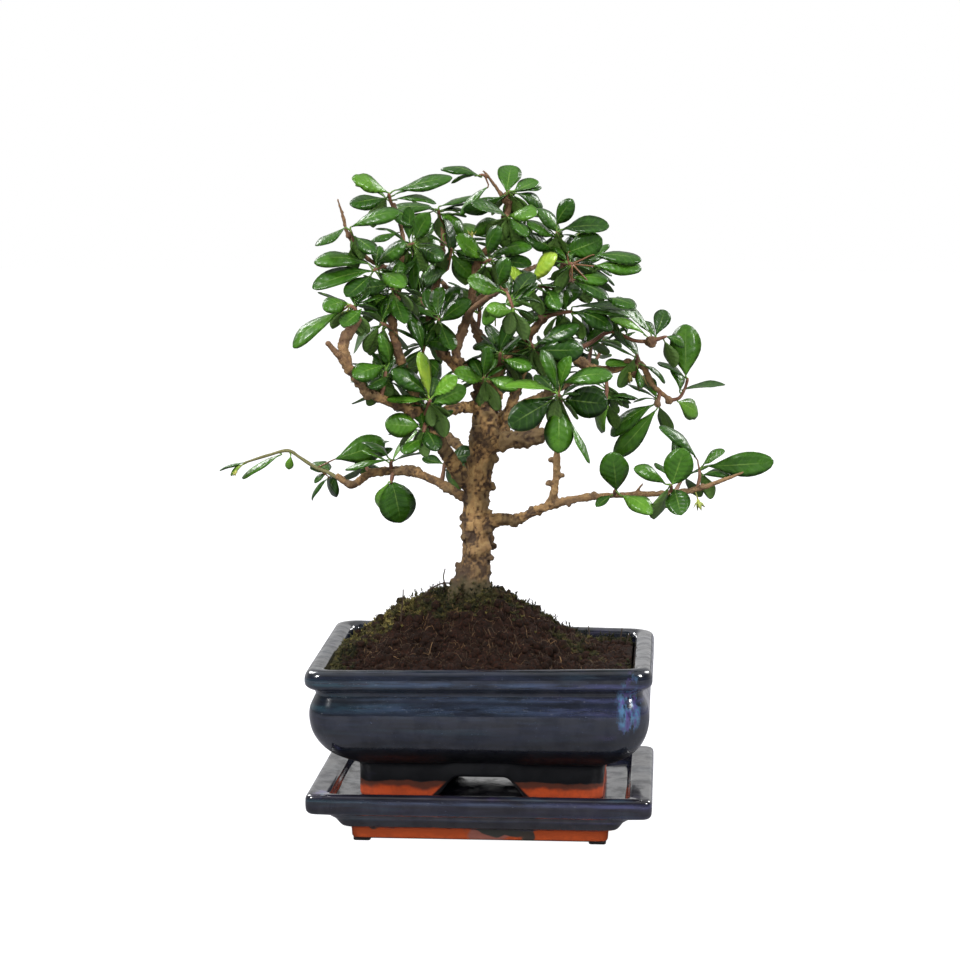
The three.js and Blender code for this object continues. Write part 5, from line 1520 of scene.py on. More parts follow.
    def build(self, material: bpy.types.Material) -> bpy.types.Object:
        """Melts the shapes into one skin, smooths it, raises the bark and dresses it.

        Args:
            material: What the piece is made of.

        Returns:
            The finished piece.
        """
        piece = self.shapes().build("wood_skin")
        modifier = piece.modifiers.new("melt", "REMESH")
        modifier.mode = "VOXEL"
        modifier.voxel_size = self.skin_cell * MM
        bake_modifiers(piece)
        mesh = piece.data
        points = read_points(mesh)
        edges = np.empty(len(mesh.edges) * 2, np.int32)
        mesh.edges.foreach_get("vertices", edges)
        edges = edges.reshape(-1, 2)
        for _ in range(self.melt_rounds):
            points = relaxed(points, edges, 0.6)
        radius, along, tangent = self.nearest(points)
        mesh.vertices.foreach_set("co", (points * MM).astype(np.float32).ravel())
        mesh.update()
        normals = np.empty(len(points) * 3, np.float32)
        mesh.vertices.foreach_get("normal", normals)
        height = self.bark_height(points, radius, along, tangent)
        points = points + normals.reshape(-1, 3) * height[:, None]
        mesh.vertices.foreach_set("co", (points * MM).astype(np.float32).ravel())
        mesh.update()
        self.skin = points
        set_attribute(piece, "girth", radius)
        set_attribute(piece, "height", height)
        set_attribute(piece, "burr", np.maximum(self.burr_patches(points), self.on_knobs(points)))
        piece.data.shade_smooth()
        return finish_piece(piece, Slot.BARK, material, "trunk_and_branches")


def read_points(mesh: bpy.types.Mesh) -> Array:
    """The vertices of a mesh in millimetres.

    Args:
        mesh: The mesh.

    Returns:
        Rows of x, y and z in millimetres.
    """
    points = np.empty(len(mesh.vertices) * 3, np.float32)
    mesh.vertices.foreach_get("co", points)
    return points.reshape(-1, 3).astype(float) / MM


def relaxed(points: Array, edges: Array, strength: float) -> Array:
    """Moves each vertex towards the mean of its neighbours by a share of the way.

    Args:
        points: Rows of x, y and z in millimetres.
        edges: Rows of two point numbers.
        strength: How far each point goes, from 0 to 1.

    Returns:
        The moved points.
    """
    total = np.zeros_like(points)
    count = np.zeros(len(points))
    for near, far in ((0, 1), (1, 0)):
        for axis in range(3):
            total[:, axis] += np.bincount(edges[:, near], points[edges[:, far], axis], len(points))
        count += np.bincount(edges[:, near], minlength=len(points))
    mean = total / np.maximum(count, 1)[:, None]
    return points + strength * (mean - points)


@dataclass(frozen=True)
class Star:
    """A small star of sepals on a stalk, as the eye sees it.

    foot and head are (across, up, back) of the stalk's two ends, and dryness runs from 0, fresh, to 1, dry.
    """

    foot: tuple[float, float, float]
    head: tuple[float, float, float]
    prongs: int
    length: float
    spread: float
    dryness: float


STARS = (
    Star((-60.5, 232, -41), (-64, 230.5, -42), 5, 3.4, 1.15, 0.05),
    Star((-60.5, 231, -41), (-62.5, 226.5, -42), 5, 2.6, 0.9, 0.2),
    Star((65.5, 206, 28), (67, 202, 26.5), 6, 8.0, 0.28, 0.75),
    Star((63, 205, 27), (63.5, 201.5, 25.5), 4, 5.0, 0.3, 0.7),
    Star((93, 149.5, -34), (94.5, 144.5, -35), 5, 4.6, 0.7, 0.3),
    Star((-108, 161.2, 36), (-111.5, 157.5, 35.5), 4, 2.4, 0.5, 0.15),
    Star((4, 223, 6), (4, 227, 4), 5, 2.4, 0.6, 0.2),
    Star((-6, 258, 9), (-6.5, 262, 8), 6, 3.0, 0.7, 0.2),
    Star((40, 262, 6), (42.5, 265, 5), 5, 3.0, 0.8, 0.15),
)


@dataclass
class Blossoms:
    """The few blossoms, buds and dried calyxes: spikes that spread over a bead at a thin stalk's end."""

    stalk_radius: float = 0.32

    def star(self, star: Star, parts: Parts) -> None:
        """Adds one star with its stalk.

        Args:
            star: Where the flower sits, which way it looks and how dry it is.
            parts: Gathers the shapes.
        """
        foot, head = SIGHT.seen(np.array([star.foot, star.head], float))
        way = unit(head - foot)
        level = unit(np.cross(way, np.array([0.31, 0.2, 0.93])))
        steep = np.cross(way, level)
        turn = np.arange(star.prongs) * 2 * np.pi / star.prongs
        aside = level * np.cos(turn)[:, None] + steep * np.sin(turn)[:, None]
        spread = star.spread * (1 + 0.25 * np.sin(turn * 2.7 + star.length))
        out = way * np.cos(spread)[:, None] + aside * np.sin(spread)[:, None]
        length = star.length * (1 + 0.15 * np.cos(turn * 3.1))
        root = np.broadcast_to(head, out.shape) + out * 0.3
        points, faces = spikes(root, out, unit(np.cross(out, way)), length)
        parts.add(points, faces, dryness=star.dryness)
        ball, ball_faces = unit_ball(np.linspace(0, np.pi, 6)[1:-1], 8)
        parts.add(head + ball * 0.75, ball_faces, dryness=star.dryness)
        sag = (foot + head) / 2 + np.array([0.0, 0.0, 0.3])
        line = Curve(np.array([foot - way * 0.6, sag, head])).by_length(np.linspace(0, 1, 6))
        points, faces = swept_tube(line, np.full(6, self.stalk_radius), 6)
        parts.add(points, faces, dryness=0.5 + 0.5 * star.dryness)

    def build(self, material: bpy.types.Material) -> bpy.types.Object:
        """Makes the stars as one piece and dresses it.

        Args:
            material: What the piece is made of.

        Returns:
            The finished piece.
        """
        parts = Parts()
        for star in STARS:
            self.star(star, parts)
        return finish_piece(parts.build("blossoms_and_buds"), Slot.LEAF, material)


@dataclass(frozen=True)
class Spray:
    """A young twig with its leaves, as the CAD node of the same name holds them.

    A leaf's row is [across and up of its base, across and up of its tip, width] as the eye sees it; more
    counts the leaves that follow the rule of turning round the twig. A tint runs from -1, a dark old leaf, to
    1, a bright new one.
    """

    twig: Rows
    leaves: Rows = ()
    more: int = 0
    tints: dict[int, float] = field(default_factory=dict)
    notched: tuple[int, ...] = ()


SPRAYS: dict[str, Spray] = {
    "low_left_shoot": Spray(
        twig=(
            (-65, 154, 35.5, 1.1), (-70, 157, 37, 1), (-76, 159.5, 38, 0.9), (-83, 164, 39, 0.8),
            (-88, 167, 39, 0.9), (-97, 165, 38, 0.7), (-108, 161.5, 36, 0.6),
        ),
        leaves=(
            (-68, 163, -45, 171, 13), (-70, 158, -77, 162, 7), (-71, 157, -77, 153, 3),
            (-70, 155, -78, 145, 2), (-67, 156, -69, 147, 7), (-91, 165.5, -109, 155, 3.5),
            (-87, 165, -88, 158.5, 4), (-108, 161, -114, 156, 2.5),
        ),
        more=1, tints={4: -0.5, 6: 0.6, 7: 0.7},
    ),
    "low_left_mid": Spray(
        twig=((-42, 158, 24, 1.2), (-42.5, 161, 21, 1), (-42, 163, 18, 0.8)),
        leaves=((-43, 163, -63, 159, 3), (-42, 162, -31, 176, 3)),
        more=3, tints={1: 0.5},
    ),
    "low_left_hanging": Spray(
        twig=((-41.5, 158, 24, 1.2), (-42, 155, 20, 1), (-42.5, 152.5, 16, 0.8)),
        leaves=((-42, 153, -38, 134.5, 17), (-43.5, 153, -47, 140, 8)),
        tints={1: 0.5},
    ),
    "low_left_inner": Spray(
        twig=((-20, 152, 10, 1.1), (-19, 158, 13, 1), (-18.5, 162, 15, 0.8)),
        leaves=((-19, 161, -28.5, 164, 4.5), (-17, 163, -5, 166, 8)),
        more=2, tints={1: -0.4},
    ),
    "left_elbow": Spray(
        twig=((-28, 181.5, -23, 1.2), (-27.5, 178, -28, 1), (-28, 175, -30, 0.8)),
        leaves=((-30, 178, -45, 179, 11), (-28, 172, -37, 166, 6), (-27, 176, -22, 167, 8)),
        tints={2: -0.6},
    ),
    "left_end": Spray(
        twig=((-57, 225, -38.5, 1.1), (-58, 230, -40, 0.9), (-61, 232, -41, 0.8)),
        leaves=((-64, 229, -86, 213.5, 7), (-62, 233, -72, 230, 8), (-55, 230, -64, 223, 7)),
        more=3,
    ),
    "left_shelf": Spray(
        twig=((-41, 221, -25, 1.2), (-45, 223, -29, 1), (-47, 224, -32, 0.8)),
        leaves=((-46, 224, -48.5, 237, 9.5), (-47, 223, -59, 211, 4), (-46, 221, -44, 206, 7)),
        more=2, tints={0: 0.55},
    ),
    "left_limb_spur": Spray(
        twig=((-47, 190.5, -34.5, 1.2), (-45.5, 196, -36, 1), (-44.5, 203, -37, 0.8)),
        leaves=((-45, 205, -59, 200, 9), (-44, 200, -52, 195, 6), (-43, 206, -47, 219, 5)),
        more=2, tints={1: -0.4},
    ),
    "left_rosette": Spray(
        twig=((-27.5, 182, -23, 1.3), (-26, 186, -29, 1.1), (-25, 190, -34, 0.9)),
        leaves=(
            (-26, 192, -42, 203, 9), (-25.5, 191, -29.5, 211, 6), (-24, 191, -13, 200, 7),
            (-24, 188, -9, 195, 9), (-27, 190, -44, 190, 4),
        ),
        more=1, tints={0: -0.3, 1: 0.9, 2: 0.6},
    ),
    "left_inner_spur": Spray(
        twig=((-24, 219, 11, 1.1), (-27, 215, 5, 1), (-28, 211, 0, 0.8)),
        leaves=((-28, 210, -34, 229, 7), (-27, 215, -15, 213, 6), (-27, 208, -20, 200, 8)),
        more=2, tints={0: -0.3, 1: -0.3, 2: -0.3},
    ),
    "heart_low": Spray(
        twig=((0, 196, -3, 1.2), (-1, 198, -11, 1), (-1, 200, -16, 0.8)),
        leaves=((-2, 198, -14, 202, 7), (-1, 200, 1, 213, 6), (1, 199, 14, 195, 7)),
        more=2,
    ),
    "heart_high": Spray(
        twig=((5, 205, -1, 1.2), (6, 208, -7, 1), (6, 211, -11, 0.8)),
        leaves=((6, 211, 14, 227, 7), (5, 211, -5, 215, 6), (7, 208, 20, 204, 7)),
        more=2, tints={0: -0.5, 1: -0.5},
    ),
    "upright_spur": Spray(
        twig=((-23, 226, 13, 1.1), (-21.5, 226, 6, 1), (-21, 225, -1, 0.8)),
        leaves=(
            (-21, 224, -7, 234, 8), (-21, 227, -32, 228.5, 3), (-20, 223, -15, 212, 7),
            (-22, 226, -26, 239, 8),
        ),
        more=3,
    ),
    "leader_front": Spray(
        twig=((8.5, 239, -54.5, 0.9), (10.5, 234, -57, 0.8), (12, 230, -58, 0.7)),
        leaves=((12, 229, 0, 230, 7), (7, 238, -8, 243, 8), (10, 233, -2, 224, 7), (6, 240, 10, 252, 7)),
        more=1, tints={0: 0.4},
    ),
    "shoot_rosette": Spray(
        twig=((33, 189, -32, 1.4), (32.5, 191, -38, 1.2), (32, 192, -43, 0.9)),
        leaves=(
            (31, 193, 8, 196, 4), (30, 190, 10, 178, 13), (32, 188, 32.5, 166, 13),
            (35, 190, 54, 188, 14), (33, 197, 56, 201, 8), (31, 194, 25, 212, 6), (33, 195, 37, 209, 6),
            (37, 181, 46.5, 161.5, 3),
        ),
        more=1, tints={0: 0.5, 1: -0.8, 3: -0.9},
    ),
    "right_leader_spur": Spray(
        twig=((18, 217, 6, 1.4), (20, 214, -2, 1.1), (21, 213, -8, 0.9)),
        leaves=((21, 212, 43, 212, 12), (22, 214, 41, 223, 8), (19, 212, 12, 201, 8)),
        more=2, tints={0: -0.5, 1: -0.5, 2: -0.4},
    ),
    "right_drop": Spray(
        twig=((52, 203.5, 22, 1.2), (53.5, 196, 17, 1), (53, 189, 12, 0.8)),
        leaves=((54, 186, 50, 176, 7), (53, 190, 66, 191, 4), (53, 194, 42, 190, 7)),
        more=2, tints={0: 0.5}, notched=(0,),
    ),
    "right_hero": Spray(
        twig=(
            (81.5, 189.5, 32.8, 1), (85.5, 190.5, 32, 0.9), (88, 194.5, 31, 0.8), (89.5, 199.5, 29, 0.7),
        ),
        leaves=(
            (88.5, 200, 88, 223.5, 14.5), (86.5, 194, 106, 197, 3), (86, 193, 83, 205, 5.5),
            (85, 189, 94.5, 183, 9),
        ),
        more=1, tints={0: 0.15, 3: 0.5}, notched=(3,),
    ),
    "right_low_node": Spray(
        twig=((77, 193.5, 31.5, 1), (76.5, 190, 28, 0.9), (76, 188, 25, 0.8)),
        leaves=((75, 188, 55, 174, 8), (76, 186, 57, 164, 10)),
        more=2,
    ),
    "right_bend": Spray(
        twig=((66, 205.5, 28, 1.2), (67, 208, 23, 1), (66.5, 210, 19, 0.8)),
        leaves=(
            (65, 211, 55, 229, 4), (65, 206, 53, 206, 4), (68, 208, 60, 219, 4),
            (70, 205, 79.5, 197.5, 3), (67, 204, 69, 195, 4),
        ),
        more=2,
    ),
    "right_reach": Spray(
        twig=(
            (37, 210.5, 15.5, 1.3), (46, 215, 19, 1.1), (55, 220, 20, 1), (66, 216, 17, 0.9),
            (73, 216, 14, 1.1), (80, 218, 12, 0.7),
        ),
        leaves=(
            (71, 218, 55, 226, 4), (73, 219, 58, 236, 5), (75, 218, 79, 230, 8), (56, 221, 44, 215, 7),
            (79, 218, 88, 214, 5),
        ),
        more=2, tints={0: 0.5, 2: -0.4},
    ),
    "callus_low": Spray(
        twig=((25, 226, 4, 1.3), (31, 228, -2, 1.1), (38, 229, -7, 0.8)),
        leaves=(
            (38, 229, 56, 221, 8), (38, 228, 64, 227, 4), (38, 231, 66, 230, 4), (31, 229, 36, 218, 8),
            (26, 227, 13, 222, 7),
        ),
        more=2, tints={0: -0.6, 2: -0.6},
    ),
    "long_limb_inner": Spray(
        twig=((57, 147, -24, 1), (57.5, 149, -28, 0.9), (58, 149, -31, 0.7)),
        leaves=((58, 149, 56, 166, 13), (60, 147, 74, 139, 8), (56, 147, 49, 142, 4)),
        tints={1: 0.35},
    ),
    "long_limb_middle": Spray(
        twig=((82, 148.2, -31, 1), (82.5, 150.5, -34, 0.9), (82, 152, -37, 0.7)),
        leaves=((80, 152, 66, 159, 6), (83, 152, 88, 168, 13), (84, 149.5, 87, 138.5, 11)),
        more=1,
    ),
    "long_limb_end": Spray(
        twig=((94, 149.8, -34, 1), (95, 155, -32, 0.9), (95, 159, -30, 0.7)),
        leaves=(
            (98, 160, 128, 162, 11), (94, 163, 77, 178, 5), (96, 160, 106, 167, 4),
            (96, 156, 111, 157, 5),
        ),
        more=1, tints={1: -0.3, 3: -0.4},
    ),
    "top_left": Spray(
        twig=((-39.5, 272, 0, 1), (-42, 277, -5, 0.9), (-43, 281, -9, 0.8)),
        leaves=(
            (-43, 281, -59, 287.5, 7), (-44, 279, -60, 276, 7), (-41, 282, -15, 288, 6.5),
            (-41, 278, -22, 277, 3), (-42, 275, -31, 267, 7),
        ),
        more=3, tints={0: 0.4}, notched=(0,),
    ),
    "twig_middle": Spray(
        twig=((-58, 258, -25, 0.9), (-59, 262, -30, 0.8), (-60, 265, -33, 0.7)),
        leaves=((-60, 266, -38, 273, 7), (-62, 266, -75, 258, 4), (-58, 262, -49, 255, 7)),
        more=1,
    ),
    "left_top_shelf": Spray(
        twig=((-46, 249, -18, 1.1), (-48, 248, -25, 1), (-50, 247, -31, 0.8)),
        leaves=(
            (-52, 250, -76, 251, 7), (-50, 247, -77, 240, 8), (-51, 245, -62, 236, 8),
            (-49, 250, -36, 259, 7), (-47, 246, -36, 240, 8),
        ),
        more=2, tints={2: -0.5},
    ),
    "left_top_under": Spray(
        twig=((-40, 238, -17, 1.1), (-41, 239, -23, 1), (-42, 239, -28, 0.8)),
        leaves=((-42, 241, -57, 239, 8), (-40, 237, -54, 231, 8), (-41, 236, -36, 224, 8)),
        more=2, tints={0: -0.3, 1: -0.3, 2: -0.3},
    ),
    "riser_top": Spray(
        twig=((-37.5, 256, -6, 1.2), (-34, 258, -12, 1), (-32, 259, -17, 0.8)),
        leaves=(
            (-34, 260, -34, 275, 6), (-31, 260, -25, 272, 8), (-33, 255, -36, 243, 7),
            (-31, 255, -32, 239, 6), (-38, 264, -51, 260, 3), (-30, 257, -19, 252, 8),
        ),
        more=2,
    ),
    "upright_top": Spray(
        twig=((-20, 260, 20, 1.1), (-17, 258, 12, 1), (-15, 256, 5, 0.8)),
        leaves=(
            (-17, 247, -28, 243, 8), (-17, 251, -17.5, 270, 5), (-14, 256, -3, 251, 9),
            (-19, 263, -4, 267, 6), (-16, 254, -6, 244, 8),
        ),
        more=3, tints={1: -0.6, 2: -0.6, 3: 0.35},
    ),
    "upright_tip": Spray(
        twig=((-20, 268, 21.5, 1), (-21, 272, 18, 0.9), (-21, 274, 15, 0.7)),
        leaves=((-22, 274, -45, 272, 6), (-21, 275, -3, 280.5, 3), (-20, 272, -10, 264, 6)),
        more=3, tints={0: -0.2},
    ),
    "crown_left_tip": Spray(
        twig=((0, 288, 4, 0.8), (-1.5, 289, 1, 0.7), (-3, 289, -1, 0.6)),
        leaves=((-2, 288, -20, 292, 4), (1, 284, -12, 272, 4)),
        more=1, tints={0: -0.4},
    ),
    "crown_tip": Spray(
        twig=((9.5, 279, 6.5, 1), (10, 281, 3, 0.9), (10, 282, 0, 0.7)),
        leaves=(
            (9, 281, 11, 293.5, 11), (12, 282, 22.5, 287, 6), (13, 281, 25, 275, 6),
            (8, 280, -10, 273, 7),
        ),
        more=2, tints={2: -0.4, 3: -0.4},
    ),
    "crown_middle": Spray(
        twig=((8, 270, 8, 1.2), (9, 271, 1, 1), (9, 271, -5, 0.8)),
        leaves=((9, 271, -6, 276, 5), (10, 271, 22, 272, 7), (10, 270, 18, 262, 6), (7, 269, -6, 264, 7)),
        more=3,
    ),
    "leader_spur": Spray(
        twig=((-3, 251, 8, 1.3), (0, 251, 0, 1.1), (2, 252, -7, 0.9)),
        leaves=(
            (4, 254, 20, 257.5, 6), (3, 251, 20, 250, 6), (-2, 249, 9, 241, 8), (-1, 252, -13, 262, 8),
            (1, 253, 6, 266, 7),
        ),
        more=3, tints={1: -0.4},
    ),
    "bright_tip": Spray(
        twig=((33, 239, 2.5, 1), (26, 240, -4, 0.9), (19, 240.5, -12, 0.7)),
        leaves=((20, 242, 31, 254, 7), (18, 240, 9, 248, 5), (21, 238, 9, 232, 7), (26, 240, 32, 230, 8)),
        more=2, tints={0: 1, 1: 0.9},
    ),
    "right_top": Spray(
        twig=((32.5, 259, 3, 1.2), (31.5, 262, -3, 1), (31, 264, -8, 0.8)),
        leaves=(
            (30, 256, 17, 262, 7), (30, 262, 18, 268, 5), (31, 267, 38, 278, 8), (33, 265, 54, 267, 8),
            (34, 262, 22, 274, 6),
        ),
        more=3, tints={0: -0.4, 3: -0.4},
    ),
    "right_shelf": Spray(
        twig=((34, 250, 2, 1.2), (36, 250, -6, 1), (38, 250, -13, 0.8)),
        leaves=(
            (36, 255, 51, 261, 12), (47, 254, 68.5, 252, 6), (47, 249, 68.5, 248, 8),
            (37, 244, 54, 243, 6), (38, 242, 54, 235, 5), (52, 235, 66, 231, 5),
        ),
        more=3, tints={0: -0.2, 1: -0.3, 4: -0.5, 5: -0.3},
    ),
    "back_left_end": Spray(
        twig=((-38, 189, 54.5, 1), (-44, 194, 60, 0.9), (-48, 200, 65, 0.7)),
        more=8,
    ),
    "back_left_middle": Spray(
        twig=((-20, 175.5, 33, 1.2), (-24, 184, 38, 1), (-26, 193, 42, 0.8)),
        more=8,
    ),
    "back_right_end": Spray(
        twig=((46, 204, 54.5, 1), (50, 210, 60, 0.9), (52, 217, 64, 0.7)),
        more=8,
    ),
    "back_right_middle": Spray(
        twig=((26, 192, 35, 1.2), (28, 199, 41, 1), (30, 208, 45, 0.8)),
        more=8,
    ),
    "back_upper_end": Spray(
        twig=((-22, 244.5, 50.5, 1), (-28, 250, 55, 0.9), (-33, 255, 58, 0.7)),
        more=8,
    ),
    "back_upper_middle": Spray(
        twig=((-4, 220, 29.5, 1.2), (-3, 229, 37, 1), (-5, 238, 43, 0.8)),
        more=8,
    ),
    "back_crown": Spray(
        twig=((30, 251.5, 45, 1.1), (36, 250, 53, 0.9), (43, 251, 58, 0.7)),
        more=8,
    ),
    "back_crown_inner": Spray(
        twig=((12, 243.5, 24.5, 1.1), (10, 252, 30, 0.9), (9, 262, 34, 0.7)),
        more=8,
    ),
    "behind_heart": Spray(
        twig=((0, 193, 3, 1.3), (6, 199, 14, 1.1), (9, 206, 22, 0.8)),
        more=8,
    ),
    "behind_riser": Spray(
        twig=((-41, 229, -22, 1.1), (-43, 233, -12, 0.9), (-44, 238, -4, 0.7)),
        more=7,
    ),
    "behind_upright": Spray(
        twig=((-24, 230, 15, 1.1), (-28, 233, 25, 0.9), (-31, 239, 34, 0.7)),
        more=8,
    ),
    "behind_leader": Spray(
        twig=((33, 242, 2, 1.1), (38, 243, 13, 0.9), (42, 246, 23, 0.7)),
        more=8,
    ),
    "behind_right_limb": Spray(
        twig=((45, 204.5, 19, 1.2), (46, 210, 30, 1), (47, 217, 40, 0.7)),
        more=8,
    ),
    "behind_low_left": Spray(
        twig=((-52, 156.5, 29, 1.1), (-54, 161, 38, 0.9), (-56, 165, 45, 0.7)),
        more=5,
    ),
    "behind_low_right": Spray(
        twig=((84, 148.2, -31.5, 1.1), (86, 152, -21, 0.9), (88, 156, -13, 0.7)),
        more=5,
    ),
}


@dataclass
class Leaf:
    """One leaf: its stalk's root on the twig, its blade's base and tip, the way it faces and its traits."""

    root: Array
    base: Array
    tip: Array
    normal: Array
    width: float
    arch: float
    fold: float
    tint: float = 0.0
    notched: bool = False

    def probe(self) -> Array:
        """Points of the blade that its CAD solid must hold: along the rib, and along both halves.

        Returns:
            Rows of x, y and z.
        """
        run = self.tip - self.base
        axis = unit(run)
        length = np.linalg.norm(run)
        rib_side = -1 if self.fold > 0 else 1
        across = np.cross(self.normal, axis)
        rows = []
        places = ((0.3, 0, 0.7), (0.68, 0, 0.7), (0.68, 0.3, 0.3), (0.68, -0.3, 0.3), (0.9, 0, 0.6))
        for share, side, rib in places:
            rise = self.arch * length * 4 * share * (1 - share) + rib_side * rib * 1.1
            rows.append(self.base + run * share + across * side * self.width + self.normal * rise)
        return np.array(rows)


class Attitude(Enum):
    """How a seen leaf lies on its line of sight: the swing of its tip outwards and the face that looks up."""

    OUT = (1.0, 1)
    IN = (-1.0, 1)
    HALF_OUT = (0.5, 1)
    HALF_IN = (-0.5, 1)
    LEVEL = (0.0, 1)
    OUT_TURNED = (1.0, -1)
    IN_TURNED = (-1.0, -1)
    LEVEL_TURNED = (0.0, -1)


@dataclass
class Foliage:
    """The rules that place the leaves of a spray, the same as in the CAD model."""

    shortest: float = 14.5
    longest: float = 20.5
    width_per_length: float = 0.5
    lean_forward: float = 0.5
    lean_out: float = 0.85
    stalk: float = 1.5
    flattest: float = -0.01
    arch_span: float = 0.12
    seen_stretch: float = 1.02
    small_stretch: float = 1.15
    widest: float = 10
    small_width: float = 5
    small_length: float = 13
    way_turn: float = 0.83
    rule_from: float = 0.96
    rule_stretch: float = 0.56
    rule_step: float = 0.618
    rule_size: float = 0.92
    first_seed: int = 1000
    far: float = 1.0
    inner: int = 13
    inner_reach: float = 2.0
    inner_size: tuple[float, float] = (0.6, 0.9)
    inner_tint: tuple[float, float] = (-0.8, 0.0)
    seen_tint: tuple[float, float] = (-0.35, 0.3)
    rule_tint: tuple[float, float] = (-0.5, 0.25)
    crown_foot: float = 170.0
    gap_middle: tuple[float, float] = (58.0, 211.0)
    gap_reach: float = 15.0
    inner_half: tuple[float, float] = (70.0, 71.0)
    crown_middle: tuple[float, float, float] = (0.0, 205.0, 4.0)
    golden_angle: float = math.pi * (3 - math.sqrt(5))
    twig_shares: tuple[float, ...] = (0.25, 0.35, 0.45, 0.55, 0.65, 0.75, 0.85, 0.96)

    def traits(self, draw: Callable[[], float]) -> dict[str, float]:
        """Draws a leaf's length, its arch and how its halves fold, in that order.

        Args:
            draw: Gives draws from 0 to 1.

        Returns:
            The length, the arch and the fold.
        """
        length = self.shortest + (self.longest - self.shortest) * draw()
        arch = self.flattest + self.arch_span * draw()
        return {"length": length, "arch": arch, "fold": 2 * draw() - 1}

    def twig_point(self, curve: Curve, pieces: int, share: float) -> Array:
        """The point at a share of a twig's length, on straight pieces between its even stations.

        Args:
            curve: The twig's middle line.
            pieces: How many points shape the twig.
            share: The share of the twig's length.

        Returns:
            The point.
        """
        place = share * pieces
        piece = min(int(place), pieces - 1)
        ends = curve.by_length(np.array([piece, piece + 1]) / pieces)
        return ends[0] + (ends[1] - ends[0]) * (place - piece)

    def seen_leaf(
        self, spray: Spray, curve: Curve, row: Sequence[float], traits: dict, way: Attitude
    ) -> Leaf:
        """A leaf that the eye sees: its depth follows from its real length, on its attitude's side.

        Args:
            spray: The spray.
            curve: The twig's middle line.
            row: The leaf's row in the spray.
            traits: The leaf's length, arch and fold.
            way: How the leaf is held.

        Returns:
            The leaf.
        """
        base_across, base_up, tip_across, tip_up, width = row
        roots = np.array([self.twig_point(curve, len(spray.twig), share) for share in self.twig_shares])
        places = SIGHT.unseen(roots)
        nearest = np.argmin(np.hypot(places[:, 0] - base_across, places[:, 1] - base_up))
        back = places[nearest, 2]
        shown = math.hypot(tip_across - base_across, tip_up - base_up)
        small = width <= self.small_width and shown < self.small_length
        full = shown * self.small_stretch if small else traits["length"]
        length = max(shown * self.seen_stretch, full)
        depth = min(math.sqrt(length * length - shown * shown), shown)
        swing, face = way.value
        outwards = 1 if back > 0 else -1
        base = SIGHT.seen(np.array([base_across, base_up, back]))
        tip = SIGHT.seen(np.array([tip_across, tip_up, back + outwards * swing * depth]))
        full_width = max(width, min(self.width_per_length * length, self.widest))
        axis = unit(tip - base)
        sight = SIGHT.eye() - base
        sight = unit(sight - axis * (sight @ axis))
        side = np.cross(axis, sight)
        if side[2] * face < 0:
            side = -side
        facing = min(1.0, width / full_width)
        normal = unit(sight * facing + side * math.sqrt(1 - facing * facing))
        return Leaf(roots[nearest], base, tip, normal, full_width, traits["arch"], traits["fold"])

    def rule_leaf(self, spray: Spray, curve: Curve, order: int, traits: dict, way: int) -> Leaf:
        """A leaf by rule: the leaves turn round their twig by the golden angle, leaning away from the eye.

        Args:
            spray: The spray.
            curve: The twig's middle line.
            order: The leaf's place in the spray's order.
            traits: The leaf's length, arch and fold.
            way: The step of the further turn round the twig.

        Returns:
            The leaf.
        """
        share = self.rule_from - self.rule_stretch * (order * self.rule_step % 1)
        root = self.twig_point(curve, len(spray.twig), share)
        ends = SIGHT.seen(np.array([spray.twig[0][:3], spray.twig[-1][:3]], float))
        lead = unit(root - SIGHT.eye() if spray.leaves else ends[1] - ends[0])
        level = unit(np.array([lead[1], -lead[0], 0.0]))
        steep = np.cross(lead, level)
        angle = (order + 0.5) * self.golden_angle + way * self.way_turn
        axis = unit(
            lead * self.lean_forward
            + level * self.lean_out * math.cos(angle)
            + steep * self.lean_out * math.sin(angle)
        )
        base = root + axis * self.stalk
        tip = base + axis * traits["length"] * self.rule_size
        normal = np.array([0.0, 0.0, 1.0]) + level * 0.35 * math.sin(order * 2.1)
        normal = unit(normal - axis * (normal @ axis))
        width = traits["length"] * self.width_per_length
        return Leaf(root, base, tip, normal, width, traits["arch"], traits["fold"])

    def best(self, choices: list[Leaf], tree: BVHTree) -> Leaf | None:
        """The choice that lies in the CAD node, or nothing where the node has no such leaf.

        Args:
            choices: The ways in which one leaf may lie.
            tree: The CAD node's surface.

        Returns:
            The leaf, or nothing.
        """
        gaps = [self.gap(choice, tree) for choice in choices]
        found = int(np.argmin(gaps))
        return choices[found] if gaps[found] < self.far else None

    def gap(self, leaf: Leaf, tree: BVHTree) -> float:
        """How far a leaf's probe points lie from the CAD node's surface, in millimetres, on average."""
        return float(np.mean([tree.find_nearest(Vector(point * MM))[3] for point in leaf.probe()])) / MM

